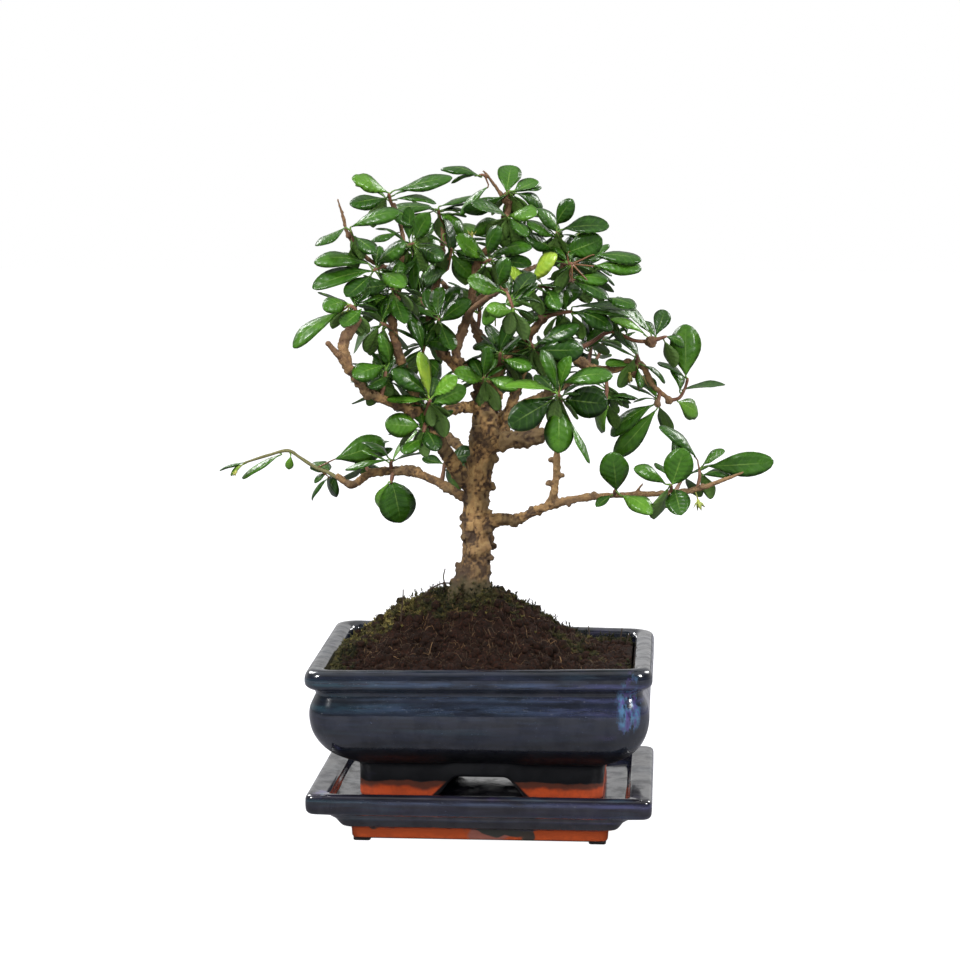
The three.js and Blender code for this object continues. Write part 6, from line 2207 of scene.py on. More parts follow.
    def leaves(self, name: str, spray: Spray, number: int) -> list[Leaf]:
        """All leaves of a spray that its CAD node holds.

        Args:
            name: The spray's name.
            spray: The spray.
            number: Its place in the list of sprays, which seeds its draws.

        Returns:
            The leaves.
        """
        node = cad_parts["spray_" + name]
        tree = BVHTree.FromPolygons(
            [vertex.co for vertex in node.data.vertices], [face.vertices for face in node.data.polygons]
        )
        curve = Curve(SIGHT.seen(np.array(spray.twig, float)))
        draw = seeded_draw(self.first_seed + number)
        tint = np.random.default_rng(number)
        found = []
        for index, row in enumerate(spray.leaves):
            traits = self.traits(draw)
            leaf = self.best([self.seen_leaf(spray, curve, row, traits, way) for way in Attitude], tree)
            if leaf:
                leaf.tint = spray.tints.get(index, tint.uniform(*self.seen_tint))
                leaf.notched = index in spray.notched
                found.append(leaf)
        for order in range(spray.more):
            traits = self.traits(draw)
            ways = range(len(Attitude))
            leaf = self.best([self.rule_leaf(spray, curve, order, traits, way) for way in ways], tree)
            if leaf:
                leaf.tint = tint.uniform(*self.rule_tint)
                found.append(leaf)
        if found and spray.twig[-1][1] > self.crown_foot:
            found.extend(self.inner_leaves(spray, curve, tint))
        return found

    def inner_leaves(self, spray: Spray, curve: Curve, draw: np.random.Generator) -> list[Leaf]:
        """Smaller, darker leaves inside the crown, turning on round the twig; the CAD model has none.

        Args:
            spray: The spray.
            curve: The twig's middle line.
            draw: The source of the draws.

        Returns:
            The inner leaves.
        """
        inner = []
        middle = SIGHT.seen(np.array(self.crown_middle))
        reach = np.linalg.norm(curve.at(np.array([len(spray.twig) - 1.0]))[0] - middle) + self.inner_reach
        for order in range(spray.more, spray.more + self.inner):
            traits = self.traits(draw.random)
            traits["length"] *= draw.uniform(*self.inner_size)
            leaf = self.rule_leaf(spray, curve, order, traits, int(draw.integers(len(Attitude))))
            leaf.tint = draw.uniform(*self.inner_tint)
            if np.linalg.norm(leaf.tip - middle) < reach and self.in_crown(leaf):
                inner.append(leaf)
        return inner

    def in_crown(self, leaf: Leaf) -> bool:
        """Whether an inner leaf lies in the crown's oval, seen from the front, and clear of the gap.

        Args:
            leaf: The leaf.

        Returns:
            Whether it does.
        """
        middle = (leaf.base + leaf.tip) / 2
        gap = math.hypot(middle[0] - self.gap_middle[0], middle[2] - self.gap_middle[1])
        across = (leaf.tip[0] - self.crown_middle[0]) / self.inner_half[0]
        up = (leaf.tip[2] - self.crown_middle[1]) / self.inner_half[1]
        return gap > self.gap_reach and math.hypot(across, up) < 1


@dataclass
class Blades:
    """The blades of many leaves at once: closed thin shells on stalks.

    A blade is a tube of flat rings. Ring s of the way along has the half width h(s) = W/2 sin(pi s^p)^q. For
    a slim leaf p is 1.45 and q runs from 0.95 at the base to 0.5 at the tip, and for a round one both come
    nearer to those of an ellipse, 1.1 and 0.5. Its point at t, from -1 to 1 across, stands over the chord by
    the arch 4 a L s (1 - s), less the cup c |t|^1.6 where the halves roll down, or plus it where they fold
    up, less the droop of the tip, plus a slight wave along the margin.
    """

    rows: int = 11
    columns: int = 5
    thick: float = 0.34
    thin: float = 0.16
    rib: float = 1.1
    stalk_radius: float = 0.42
    longest_stalk: float = 4.0
    teeth: float = 42.0
    tooth_depth: float = 0.16
    teeth_from: float = 0.78
    wave_depth: float = 0.035

    def outline(self, share: Array, slimness: Array) -> Array:
        """The half widths at shares of the length, for a full width of one, with a row for each leaf.

        Args:
            share: Shares, from 0 at the start to 1 at the end.
            slimness: Each leaf's width over its length.

        Returns:
            The half widths.
        """
        round_share = smoothstep(0.5, 0.85, slimness)[:, None]
        power = 0.95 - 0.45 * share - 0.4 * round_share * (1 - share)
        swell = np.sin(np.pi * np.clip(share, 0, 1) ** (1.45 - 0.35 * round_share))
        return 0.5 * np.maximum(swell, 1e-6) ** power

    def shares(self) -> Array:
        """Where the rings lie along the blade: close together at the tip, where the outline turns fastest."""
        even = np.linspace(0, 1, self.rows)
        return 0.012 + 0.985 * (1 - (1 - even) ** 1.35)

    def add(self, leaves: Sequence[Leaf], parts: Parts, draw: np.random.Generator) -> None:
        """Adds the leaves with their stalks.

        Args:
            leaves: The leaves.
            parts: Where they go.
            draw: Gives each leaf its small differences.
        """
        count = len(leaves)
        root, base, tip, normal, width, arch, fold, tint, notch = (
            np.array([getattr(leaf, item.name) for leaf in leaves], float) for item in fields(Leaf)
        )
        chance = draw.random((4, count))
        run = tip - base
        length = np.linalg.norm(run, axis=1)
        axis = unit(run)
        side = np.cross(normal, axis)
        share = self.shares()
        across = np.linspace(-1, 1, self.columns)
        ring_t = np.concatenate([across, across[-2:0:-1]])
        over = np.concatenate([np.ones(self.columns), -np.ones(self.columns - 2)])
        over[[0, self.columns - 1]] = 0
        s, t = np.meshgrid(share, ring_t, indexing="ij")
        up_side = np.broadcast_to(over, s.shape)
        half = self.outline(share, width / length)[:, :, None] * width[:, None, None]
        teeth = 1 - self.tooth_depth * np.maximum(np.sin(s * self.teeth), 0) * (s > self.teeth_from)
        half = half * np.where(notch[:, None, None] > 0, teeth, 1) * np.ones_like(t)
        pull = 1 - notch[:, None, None] * 0.1 * (1 - np.abs(t)) * smoothstep(0.85, 1, s)
        depth = np.minimum(self.rib, (0.16 + 0.2 * np.abs(fold)) * width / 2)[:, None, None]
        sign = np.where(fold > 0.4, 1.0, -1.0)[:, None, None]
        open_share = (half / np.maximum(half.max(axis=(1, 2), keepdims=True), 1e-6)) ** 0.8
        cup = sign * depth * open_share * (np.abs(t) ** 1.6 - 0.75)
        rise = arch[:, None, None] * length[:, None, None] * 4 * s * (1 - s)
        slack = (0.02 + 0.05 * chance[0])[:, None, None] * length[:, None, None]
        droop = slack * np.maximum(s - 0.45, 0) ** 2 * 2
        phase = (chance[1] * 6.3)[:, None, None]
        ripple = np.sin(s * 9 + phase + np.sign(t) * 1.1)
        wave = self.wave_depth * width[:, None, None] * ripple * t**2 * open_share
        skin = up_side * (self.thin + (self.thick - self.thin) * (1 - np.abs(t))) / 2
        lift = rise + cup - droop + wave + skin
        bend = (0.1 * (chance[2] - 0.5))[:, None, None] * length[:, None, None] * s * (1 - s)
        forward = s * pull
        points = (
            base[:, None, None]
            + run[:, None, None] * forward[..., None]
            + side[:, None, None] * (half * t + bend)[..., None]
            + normal[:, None, None] * lift[..., None]
        )
        points = np.clip(points, *[np.array(corner) / MM for corner in CAD_BOX])
        per_leaf = self.rows * len(ring_t)
        blade = np.stack(np.broadcast_arrays(s, t, up_side), axis=-1)
        traits = np.stack([tint, chance[3], width / 2], axis=-1)
        parts.add(
            points.reshape(-1, 3),
            self.shells(count, len(ring_t)),
            blade=np.broadcast_to(blade, (count, *blade.shape)).reshape(-1, 3),
            traits=np.repeat(traits, per_leaf, axis=0),
        )
        for index in range(count):
            self.add_stalk(parts, root[index], base[index], run[index], normal[index], traits[index])

    def shells(self, count: int, around: int) -> Array:
        """The triangles of many blades, each a tube of rings that is closed at its base and at its tip.

        Args:
            count: How many blades.
            around: Points round each ring.

        Returns:
            Rows of three corner numbers.
        """
        per_leaf = self.rows * around
        grid = grid_faces(self.rows, around, turned=self.columns - 1)
        first = np.arange(around - 2)
        start_cap = np.stack([np.zeros_like(first), first + 1, first + 2], axis=-1)
        end = per_leaf - around
        end_cap = np.stack([np.full_like(first, end), end + first + 2, end + first + 1], axis=-1)
        pattern = np.vstack([grid[:, ::-1], start_cap[:, ::-1], end_cap[:, ::-1]])
        return (pattern[None] + per_leaf * np.arange(count)[:, None, None]).reshape(-1, 3)

    def add_stalk(
        self, parts: Parts, root: Array, base: Array, run: Array, normal: Array, traits: Array
    ) -> None:
        """Adds a stalk: a short tube that runs on a little under the blade as the start of its rib.

        A long one is a twig of its own, which its attribute marks as woody.

        Args:
            parts: Gathers the shapes.
            root: Where the stalk leaves its twig.
            base: Where the blade starts.
            run: From the blade's start to its tip.
            normal: The way the blade's upper side looks.
            traits: The leaf's tint, chance and half width.
        """
        line = np.array([root, root * 0.5 + base * 0.5 - normal * 0.15, base, base + run * 0.1])
        line = Curve(line).by_length(np.linspace(0, 1, 6))
        radius = self.stalk_radius * np.array([1.25, 1, 0.9, 0.85, 0.7, 0.35])
        points, faces = swept_tube(line, radius, 6)
        woody = np.linalg.norm(base - root) > self.longest_stalk
        rib = np.array([-1.0, 0.0, 1.0]) if woody else np.array([0.0, 0.0, 1.0])
        copies = (len(points), 1)
        parts.add(points, faces, blade=np.tile(rib, copies), traits=np.tile(traits, copies))


@dataclass
class Sprays:
    """All sprays of the crown, each one piece with its twig."""

    foliage: Foliage
    blades: Blades
    twig_sides: int = 8
    twig_step: float = 1.1
    seed: int = 400

    def twig(self, spray: Spray, parts: Parts) -> None:
        """Adds a spray's twig: a tapering tube with slight nodes, which the blade's attributes mark as wood.

        Args:
            spray: The spray.
            parts: Gathers the shapes.
        """
        rows = np.array(spray.twig, float)
        curve = Curve(SIGHT.seen(rows))
        steps = max(6, round(curve.length / self.twig_step))
        parameter = curve.parameter(np.linspace(0, 1, steps + 1))
        line = curve.at(parameter)
        radius = np.interp(parameter * (len(rows) - 1), np.arange(len(rows)), rows[:, 3])
        radius = radius * (1 + 0.16 * smooth_noise(line, 2.3, Seed.TWIG)) * 0.92
        radius[-1] *= 0.5
        points, faces = swept_tube(line, radius, self.twig_sides)
        wood = np.array([-1.0, 0.0, 0.0])
        copies = (len(points), 1)
        parts.add(points, faces, blade=np.tile(wood, copies), traits=np.tile(wood * 0, copies))

    def build(self, leaf_material: bpy.types.Material, twig_material: bpy.types.Material) -> None:
        """Makes each spray and dresses its leaves and its twig.

        Args:
            leaf_material: What the leaves are made of.
            twig_material: What the twigs are made of.
        """
        total = 0
        for number, (name, spray) in enumerate(SPRAYS.items()):
            parts = Parts()
            self.twig(spray, parts)
            wood_faces = len(parts.faces[0])
            leaves = self.foliage.leaves(name, spray, number)
            if leaves:
                self.blades.add(leaves, parts, np.random.default_rng(self.seed + number))
            piece = parts.build("leaves_" + name)
            finish_piece(piece, Slot.LEAF, leaf_material, "spray_" + name)
            piece.data.materials.append(twig_material)
            kinds = np.zeros(len(piece.data.polygons), np.int32)
            kinds[:wood_faces] = 1
            piece.data.polygons.foreach_set("material_index", kinds)
            total += len(leaves)
        LOG.info("%d leaves on %d sprays", total, len(SPRAYS))


def linear(hex_colour: int) -> tuple[float, float, float, float]:
    """A colour given as 0xRRGGBB, in linear light with an alpha of one."""
    shares = [((hex_colour >> shift) & 0xFF) / 255 for shift in (16, 8, 0)]
    return (*[v / 12.92 if v <= 0.04045 else ((v + 0.055) / 1.055) ** 2.4 for v in shares], 1.0)


class Graph:
    """Lays out the shader nodes of one material or one node group."""

    def __init__(self, tree: bpy.types.NodeTree) -> None:
        """Works on an empty tree."""
        self.tree = tree

    def node(self, kind: str, **settings: object) -> bpy.types.Node:
        """Adds a node of a kind, with its settings.

        Args:
            kind: The node's type, without the prefix.
            **settings: The node's settings.

        Returns:
            The node.
        """
        made = self.tree.nodes.new("ShaderNode" + kind)
        for name, value in settings.items():
            setattr(made, name, value)
        return made

    def feed(self, socket: Socket, value: object) -> None:
        """Links a socket to another, or sets its value.

        Args:
            socket: The socket.
            value: Another socket, a number or a colour.
        """
        if isinstance(value, bpy.types.NodeSocket):
            self.tree.links.new(value, socket)
        elif value is not None:
            socket.default_value = value

    def math(self, operation: str, first: object, second: object = None, third: object = None) -> Socket:
        """A math node's result.

        Args:
            operation: The operation's name.
            first: The first value.
            second: The second value, if it takes one.
            third: The third value, if it takes one.

        Returns:
            The result.
        """
        made = self.node("Math", operation=operation)
        for socket, value in zip(made.inputs, (first, second, third)):
            self.feed(socket, value)
        return made.outputs[0]

    def plus(self, first: object, second: object) -> Socket:
        """The sum of two values."""
        return self.math("ADD", first, second)

    def times(self, first: object, second: object) -> Socket:
        """The product of two values."""
        return self.math("MULTIPLY", first, second)

    def fit(self, value: object, scale: object, offset: object) -> Socket:
        """A value times a scale, plus an offset."""
        return self.math("MULTIPLY_ADD", value, scale, offset)

    def mix(self, share: object, low: object, high: object) -> Socket:
        """Two colours mixed by a share.

        Args:
            share: The share of the second colour.
            low: The first colour.
            high: The second colour.

        Returns:
            The mixed colour.
        """
        made = self.node("Mix", data_type="RGBA", blend_type="MIX")
        self.feed(made.inputs["Factor"], share)
        colours = [socket for socket in made.inputs if socket.type == "RGBA"]
        self.feed(colours[0], low)
        self.feed(colours[1], high)
        return next(socket for socket in made.outputs if socket.type == "RGBA")

    def span(self, value: Socket, low: float, high: float, start: float = 0.0, end: float = 1.0) -> Socket:
        """A value's place between low and high as a soft ramp from start to end.

        Args:
            value: The value.
            low: The value at which the span starts.
            high: The value at which it ends.
            start: The result at low.
            end: The result at high.

        Returns:
            The result.
        """
        made = self.node("MapRange", interpolation_type="SMOOTHSTEP")
        self.feed(made.inputs["Value"], value)
        for name, number in (("From Min", low), ("From Max", high), ("To Min", start), ("To Max", end)):
            made.inputs[name].default_value = number
        return made.outputs["Result"]

    def noise(self, place: Socket, scale: float, detail: float = 3.0, rough: float = 0.55) -> Socket:
        """Noise from 0 to 1 over a place.

        Args:
            place: Where the noise is read.
            scale: Waves in a millimetre.
            detail: How many finer noises are added.
            rough: How strong the finer ones are.

        Returns:
            The noise, from 0 to 1.
        """
        made = self.node("TexNoise", noise_dimensions="3D")
        self.feed(made.inputs["Vector"], place)
        made.inputs["Scale"].default_value = scale
        made.inputs["Detail"].default_value = detail
        made.inputs["Roughness"].default_value = rough
        return made.outputs[0]

    def cells(self, place: Socket, scale: float) -> Socket:
        """The distance to the nearest of many scattered points, in cells.

        Args:
            place: Where the cells are read.
            scale: Cells in a millimetre.

        Returns:
            The distance.
        """
        made = self.node("TexVoronoi", feature="F1")
        self.feed(made.inputs["Vector"], place)
        made.inputs["Scale"].default_value = scale
        return made.outputs["Distance"]

    def ramp(self, value: Socket, stops: Sequence[tuple[float, int]]) -> Socket:
        """Colours 0xRRGGBB along a value from 0 to 1.

        Args:
            value: The value.
            stops: Values with their colours.

        Returns:
            The colour.
        """
        made = self.node("ValToRGB")
        self.feed(made.inputs[0], value)
        elements = made.color_ramp.elements
        while len(elements) < len(stops):
            elements.new(0.5)
        for element, (place, colour) in zip(elements, stops):
            element.position = place
            element.color = linear(colour)
        return made.outputs[0]

    def place(self, scale: tuple[float, float, float] = (1, 1, 1)) -> Socket:
        """The object's own coordinates in millimetres, drawn together by a scale along each axis.

        Args:
            scale: The stretch along each axis.

        Returns:
            The place in millimetres, stretched.
        """
        coordinates = self.node("TexCoord")
        mapping = self.node("Mapping")
        self.feed(mapping.inputs["Vector"], coordinates.outputs["Object"])
        mapping.inputs["Scale"].default_value = [value / MM for value in scale]
        return mapping.outputs[0]

    def split(self, vector: Socket) -> tuple[Socket, Socket, Socket]:
        """The three parts of a vector.

        Args:
            vector: The vector.

        Returns:
            Its three parts.
        """
        made = self.node("SeparateXYZ")
        self.feed(made.inputs[0], vector)
        return tuple(made.outputs)

    def attribute(self, name: str) -> bpy.types.Node:
        """A mesh attribute."""
        return self.node("Attribute", attribute_name=name)

    def dress(self, shader: bpy.types.Node, values: dict[str, object]) -> None:
        """Links or sets a shader's inputs, each by its name."""
        for name, value in values.items():
            self.feed(shader.inputs[name], value)

    def bump(self, height: Socket, distance: float, strength: float = 1.0) -> Socket:
        """A normal tilted by a height, whose whole range is a distance in millimetres.

        Args:
            height: The height.
            distance: How high a height of one stands, in millimetres.
            strength: The strength of the relief.

        Returns:
            The normal.
        """
        made = self.node("Bump")
        made.inputs["Strength"].default_value = strength
        made.inputs["Distance"].default_value = distance * MM
        self.feed(made.inputs["Height"], height)
        return made.outputs["Normal"]

    def group(self, tree: bpy.types.NodeTree, **values: object) -> bpy.types.Node:
        """A node group with its inputs linked or set.

        Args:
            tree: The group.
            **values: A socket or a value for each input.

        Returns:
            The node that holds the group.
        """
        made = self.node("Group", node_tree=tree)
        for name, value in values.items():
            self.feed(made.inputs[name.replace("_", " ").title()], value)
        return made


def new_material(name: str) -> tuple[bpy.types.Material, Graph, bpy.types.Node]:
    """An empty node material with its graph and its surface shader.

    Args:
        name: The material's name.

    Returns:
        The material, its nodes and its Principled shader.
    """
    material = bpy.data.materials.new(name)
    material.use_nodes = True
    material.node_tree.nodes.clear()
    graph = Graph(material.node_tree)
    shader = graph.node("BsdfPrincipled")
    output = graph.node("OutputMaterial")
    material.node_tree.links.new(shader.outputs[0], output.inputs["Surface"])
    return material, graph, shader


def new_group(name: str, inputs: Sequence[tuple[str, str]], outputs: Sequence[tuple[str, str]]) -> tuple:
    """An empty node group with named sockets.

    Args:
        name: The group's name.
        inputs: A name and a socket kind each.
        outputs: The same.

    Returns:
        The group, its graph, its input node and its output node.
    """
    tree = bpy.data.node_groups.new(name, "ShaderNodeTree")
    for direction, sockets in (("INPUT", inputs), ("OUTPUT", outputs)):
        for label, kind in sockets:
            tree.interface.new_socket(label, in_out=direction, socket_type="NodeSocket" + kind)
    graph = Graph(tree)
    return tree, graph, tree.nodes.new("NodeGroupInput"), tree.nodes.new("NodeGroupOutput")


def mottle_group() -> bpy.types.NodeTree:
    """A group that clouds one colour with another, coarsely and finely, as glaze, peat and bark all do.

    Returns:
        The node group.
    """
    tree, graph, taken, given = new_group(
        "mottle",
        (("Place", "Vector"), ("Ground", "Color"), ("Cloud", "Color"), ("Amount", "Float")),
        (("Color", "Color"), ("Mask", "Float")),
    )
    coarse = graph.noise(taken.outputs["Place"], 0.09, 4.0, 0.6)
    fine = graph.noise(taken.outputs["Place"], 0.55, 3.0, 0.6)
    both = graph.fit(fine, 0.35, graph.times(coarse, 0.65))
    mask = graph.times(graph.span(both, 0.4, 0.62), taken.outputs["Amount"])
    graph.feed(given.inputs["Color"], graph.mix(mask, taken.outputs["Ground"], taken.outputs["Cloud"]))
    graph.feed(given.inputs["Mask"], mask)
    return tree


def speck_group() -> bpy.types.NodeTree:
    """A group that scatters small round specks: pinholes in glaze, pale dots on a leaf, crumbs in peat.

    Returns:
        The node group.
    """
    tree, graph, taken, given = new_group(
        "specks", (("Place", "Vector"), ("Size", "Float")), (("Mask", "Float"),)
    )
    near = graph.cells(taken.outputs["Place"], 1.0)
    chance = graph.noise(taken.outputs["Place"], 0.31, 1.0, 0.5)
    size = graph.times(taken.outputs["Size"], chance)
    inside = graph.math("SUBTRACT", size, near)
    graph.feed(given.inputs["Mask"], graph.span(inside, 0.0, 0.05))
    return tree


@dataclass(frozen=True)
class GlazeFinish:
    """A dark blue flowing glaze over red clay: cloudy, streaked along the ground and lighter where thin.

    bands are heights where the glaze breaks lighter, which is partly a painted sheen: a height, how far the
    break reaches, and its strength.
    The break is teal on the left and violet on the right. Below black_below, in the shade of the belly, the
    glaze
    is painted black and dull: painted shade. run is a place where light and violet glaze ran down together,
    with its reach.
    """

    name: str
    deep: int
    body: int
    cloud: int
    pale: int
    violet: int
    teal: int
    black_below: float
    clay: int
    clay_dark: int
    clay_top: float
    burn: int
    foot_dark: float
    smear: float
    arch_reach: float
    bands: tuple[tuple[float, float, float], ...]
    run: tuple[float, float, float]
    run_reach: float
    run_light: int
    violet_band: int = 0x4A4A78
    flecks: int = 0xA6A8B0
    painted_shade_black: int = 0x07080B
    run_violet: int = 0x47396E
    lowest_edge: int = 0x1E1B1A
    slip: int = 0x7C5A54
    smeared_glaze: int = 0x2C3431

    def colours(
        self, graph: Graph, mottle: bpy.types.NodeTree, specks: bpy.types.NodeTree
    ) -> tuple[Socket, Socket]:
        """The glaze's colour, and the mask of its specks.

        Args:
            graph: The material's nodes.
            mottle: The group that clouds one colour with another.
            specks: The group that makes a mask of specks.

        Returns:
            The colour and the mask.
        """
        streaks = graph.place((0.17, 0.17, 1.5))
        place = graph.place()
        base = graph.group(
            mottle, place=streaks, ground=linear(self.deep), cloud=linear(self.body), amount=0.9
        )
        clouded = graph.span(graph.noise(streaks, 0.2, 5.0, 0.65), 0.52, 0.72, 0, 0.75)
        colour = graph.mix(clouded, base.outputs[0], linear(self.cloud))
        colour = self.with_breaks(graph, colour, streaks, place)
        # Painted shade: below the belly the glaze is painted near black.
        colour = graph.mix(self.shade(graph), colour, linear(self.painted_shade_black))
        colour = self.with_run(graph, colour, place)
        wisps = graph.span(graph.noise(graph.place((0.25, 0.25, 0.9)), 0.15, 4.0, 0.6), 0.6, 0.72, 0, 0.55)
        colour = graph.mix(wisps, colour, linear(self.violet))
        mask = graph.group(specks, place=graph.place((0.5, 0.5, 0.5)), size=0.16).outputs[0]
        return graph.mix(graph.times(mask, 0.55), colour, linear(self.pale)), mask

    def with_breaks(self, graph: Graph, colour: Socket, streaks: Socket, place: Socket) -> Socket:
        """The colour with the glaze's lighter breaks, partly painted sheen, and pale flecks at the heights of
        bands.

        Args:
            graph: The material's nodes.
            colour: The colour below.
            streaks: The place, drawn out along the ground.
            place: The place in millimetres.

        Returns:
            The colour.
        """
        across, _, height = graph.split(place)
        tone = graph.mix(graph.span(across, -30.0, -66.0), linear(self.pale), linear(self.teal))
        tone = graph.mix(graph.span(across, 10.0, 60.0, 0, 0.7), tone, linear(self.violet_band))
        for level, reach, strength in self.bands:
            gap = graph.math("ABSOLUTE", graph.math("SUBTRACT", height, level))
            near = graph.span(gap, reach, 0.0, 0, strength)
            # Partly the glaze breaking lighter and partly a painted sheen along the band's height.
            break_and_sheen = graph.times(near, graph.span(graph.noise(streaks, 0.3, 4.0, 0.6), 0.3, 0.62))
            colour = graph.mix(break_and_sheen, colour, tone)
            flecks = graph.span(graph.noise(graph.place((0.3, 0.3, 1.4)), 0.9, 3.0, 0.7), 0.62, 0.76, 0, 0.4)
            colour = graph.mix(graph.times(near, flecks), colour, linear(self.flecks))
        return colour

    def with_run(self, graph: Graph, colour: Socket, place: Socket) -> Socket:
        """The colour with the place where light and violet glaze ran down together.

        Args:
            graph: The material's nodes.
            colour: The colour below.
            place: The place in millimetres.

        Returns:
            The colour.
        """
        far = graph.node("VectorMath", operation="DISTANCE")
        drips = graph.place((1.0, 1.0, 0.42))
        graph.feed(far.inputs[0], drips)
        far.inputs[1].default_value = (self.run[0], self.run[1], self.run[2] * 0.42)
        ragged = graph.fit(graph.noise(place, 0.2, 3.0, 0.6), 7.0, -3.5)
        distance = graph.plus(far.outputs["Value"], ragged)
        near_run = graph.span(distance, self.run_reach, self.run_reach * 0.55)
        light = graph.times(near_run, graph.span(graph.noise(drips, 0.3, 3.0, 0.6), 0.45, 0.6))
        dark = graph.times(near_run, graph.span(graph.noise(drips, 0.34, 3.0, 0.6), 0.53, 0.43))
        colour = graph.mix(graph.times(light, 0.85), colour, linear(self.run_light))
        colour = graph.mix(graph.times(dark, 0.8), colour, linear(self.run_violet))
        return colour

    def shade(self, graph: Graph) -> Socket:
        """The mask of the painted shade below the belly, where the glaze is painted black and dull."""
        height = graph.split(graph.place())[2]
        return graph.span(height, self.black_below + 3, self.black_below - 2, 0, 0.95)

    def clay_mask(self, graph: Graph) -> Socket:
        """Where the glaze ends and the clay shows: below a wavy line, but not inside the arch.

        Args:
            graph: The material's nodes.

        Returns:
            The mask.
        """
        place = graph.place()
        across, _, height = graph.split(place)
        wave = graph.times(graph.math("SUBTRACT", graph.noise(place, 0.09, 3.0, 0.5), 0.5), 5.0)
        bare = graph.span(graph.plus(height, wave), self.clay_top + 0.35, self.clay_top - 0.35)
        if self.arch_reach:
            low = graph.math("SUBTRACT", height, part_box("pot")[0].z / MM)
            middle = pot_middle()[0]
            gap = graph.plus(graph.math("ABSOLUTE", graph.math("SUBTRACT", across, middle)), low)
            bare = graph.times(bare, graph.span(gap, self.arch_reach - 0.6, self.arch_reach + 0.6))
        return bare

    def clay_colour(self, graph: Graph, mottle: bpy.types.NodeTree) -> Socket:
        """Fired red clay with smears of thin grey glaze and of slip.

        Args:
            graph: The material's nodes.
            mottle: The group that clouds one colour with another.

        Returns:
            The colour.
        """
        place = graph.place()
        clay = graph.group(
            mottle, place=place, ground=linear(self.clay), cloud=linear(self.clay_dark), amount=0.55
        ).outputs[0]
        across, _, height = graph.split(place)
        wave = graph.times(graph.math("SUBTRACT", graph.noise(place, 0.12, 3.0, 0.5), 0.5), 6.0)
        burnt = graph.span(graph.plus(height, wave), self.clay_top - 3.6, self.clay_top - 1.4, 0, 0.85)
        clay = graph.mix(burnt, clay, linear(self.burn))
        lowest = graph.span(height, self.foot_dark + 0.3, self.foot_dark - 0.3)
        clay = graph.mix(lowest, clay, linear(self.lowest_edge))
        aside = graph.math("ABSOLUTE", graph.math("SUBTRACT", across, pot_middle()[0] - 4))
        middle = graph.span(aside, 34.0, 18.0, -0.12, 0.03)
        thin = graph.plus(graph.noise(graph.place((0.5, 0.5, 1.0)), 0.06, 2.0, 0.5), middle)
        clay = graph.mix(graph.span(thin, 0.5, 0.56, 0, self.smear * 0.75), clay, linear(self.slip))
        thick = graph.plus(graph.noise(graph.place((0.8, 0.8, 0.9)), 0.065, 2.5, 0.5), middle)
        return graph.mix(graph.span(thick, 0.54, 0.57, 0, self.smear), clay, linear(self.smeared_glaze))

    def build(self, mottle: bpy.types.NodeTree, specks: bpy.types.NodeTree) -> bpy.types.Material:
        """The finished material.

        Args:
            mottle: The group that clouds one colour with another.
            specks: The group that makes a mask of specks.

        Returns:
            The finished material.
        """
        material, graph, shader = new_material(self.name)
        glaze, mask = self.colours(graph, mottle, specks)
        bare = self.clay_mask(graph)
        graph.feed(shader.inputs["Base Color"], graph.mix(bare, glaze, self.clay_colour(graph, mottle)))
        place = graph.place()
        ripple = graph.noise(place, 0.11, 2.0, 0.4)
        clouds = graph.noise(graph.place((1.0, 1.0, 0.6)), 0.13, 4.0, 0.65)
        gloss = graph.fit(mask, 0.45, graph.span(clouds, 0.35, 0.7, 0.07, 0.26))
        gloss = graph.fit(self.shade(graph), 0.35, gloss)
        rough = graph.node("Mix", data_type="FLOAT")
        graph.feed(rough.inputs[0], bare)
        graph.feed(rough.inputs[2], gloss)
        rough.inputs[3].default_value = 0.85
        graph.feed(shader.inputs["Roughness"], rough.outputs[0])
        grain = graph.times(graph.noise(place, 1.6, 3.0, 0.7), graph.times(bare, 0.5))
        pits = graph.times(mask, -0.35)
        height = graph.plus(graph.plus(ripple, grain), pits)
        graph.feed(shader.inputs["Normal"], graph.bump(height, 0.16))
        covered = graph.math("SUBTRACT", 1.0, graph.math("MAXIMUM", bare, self.shade(graph)))
        thickness = graph.span(clouds, 0.62, 0.4, 0.45, 1.0)
        clear = graph.math("SUBTRACT", thickness, graph.times(mask, thickness))
        coat = graph.times(covered, clear)
        graph.feed(shader.inputs["Coat Weight"], coat)
        graph.dress(shader, {"Coat Roughness": 0.06, "IOR": 1.52})
        return material


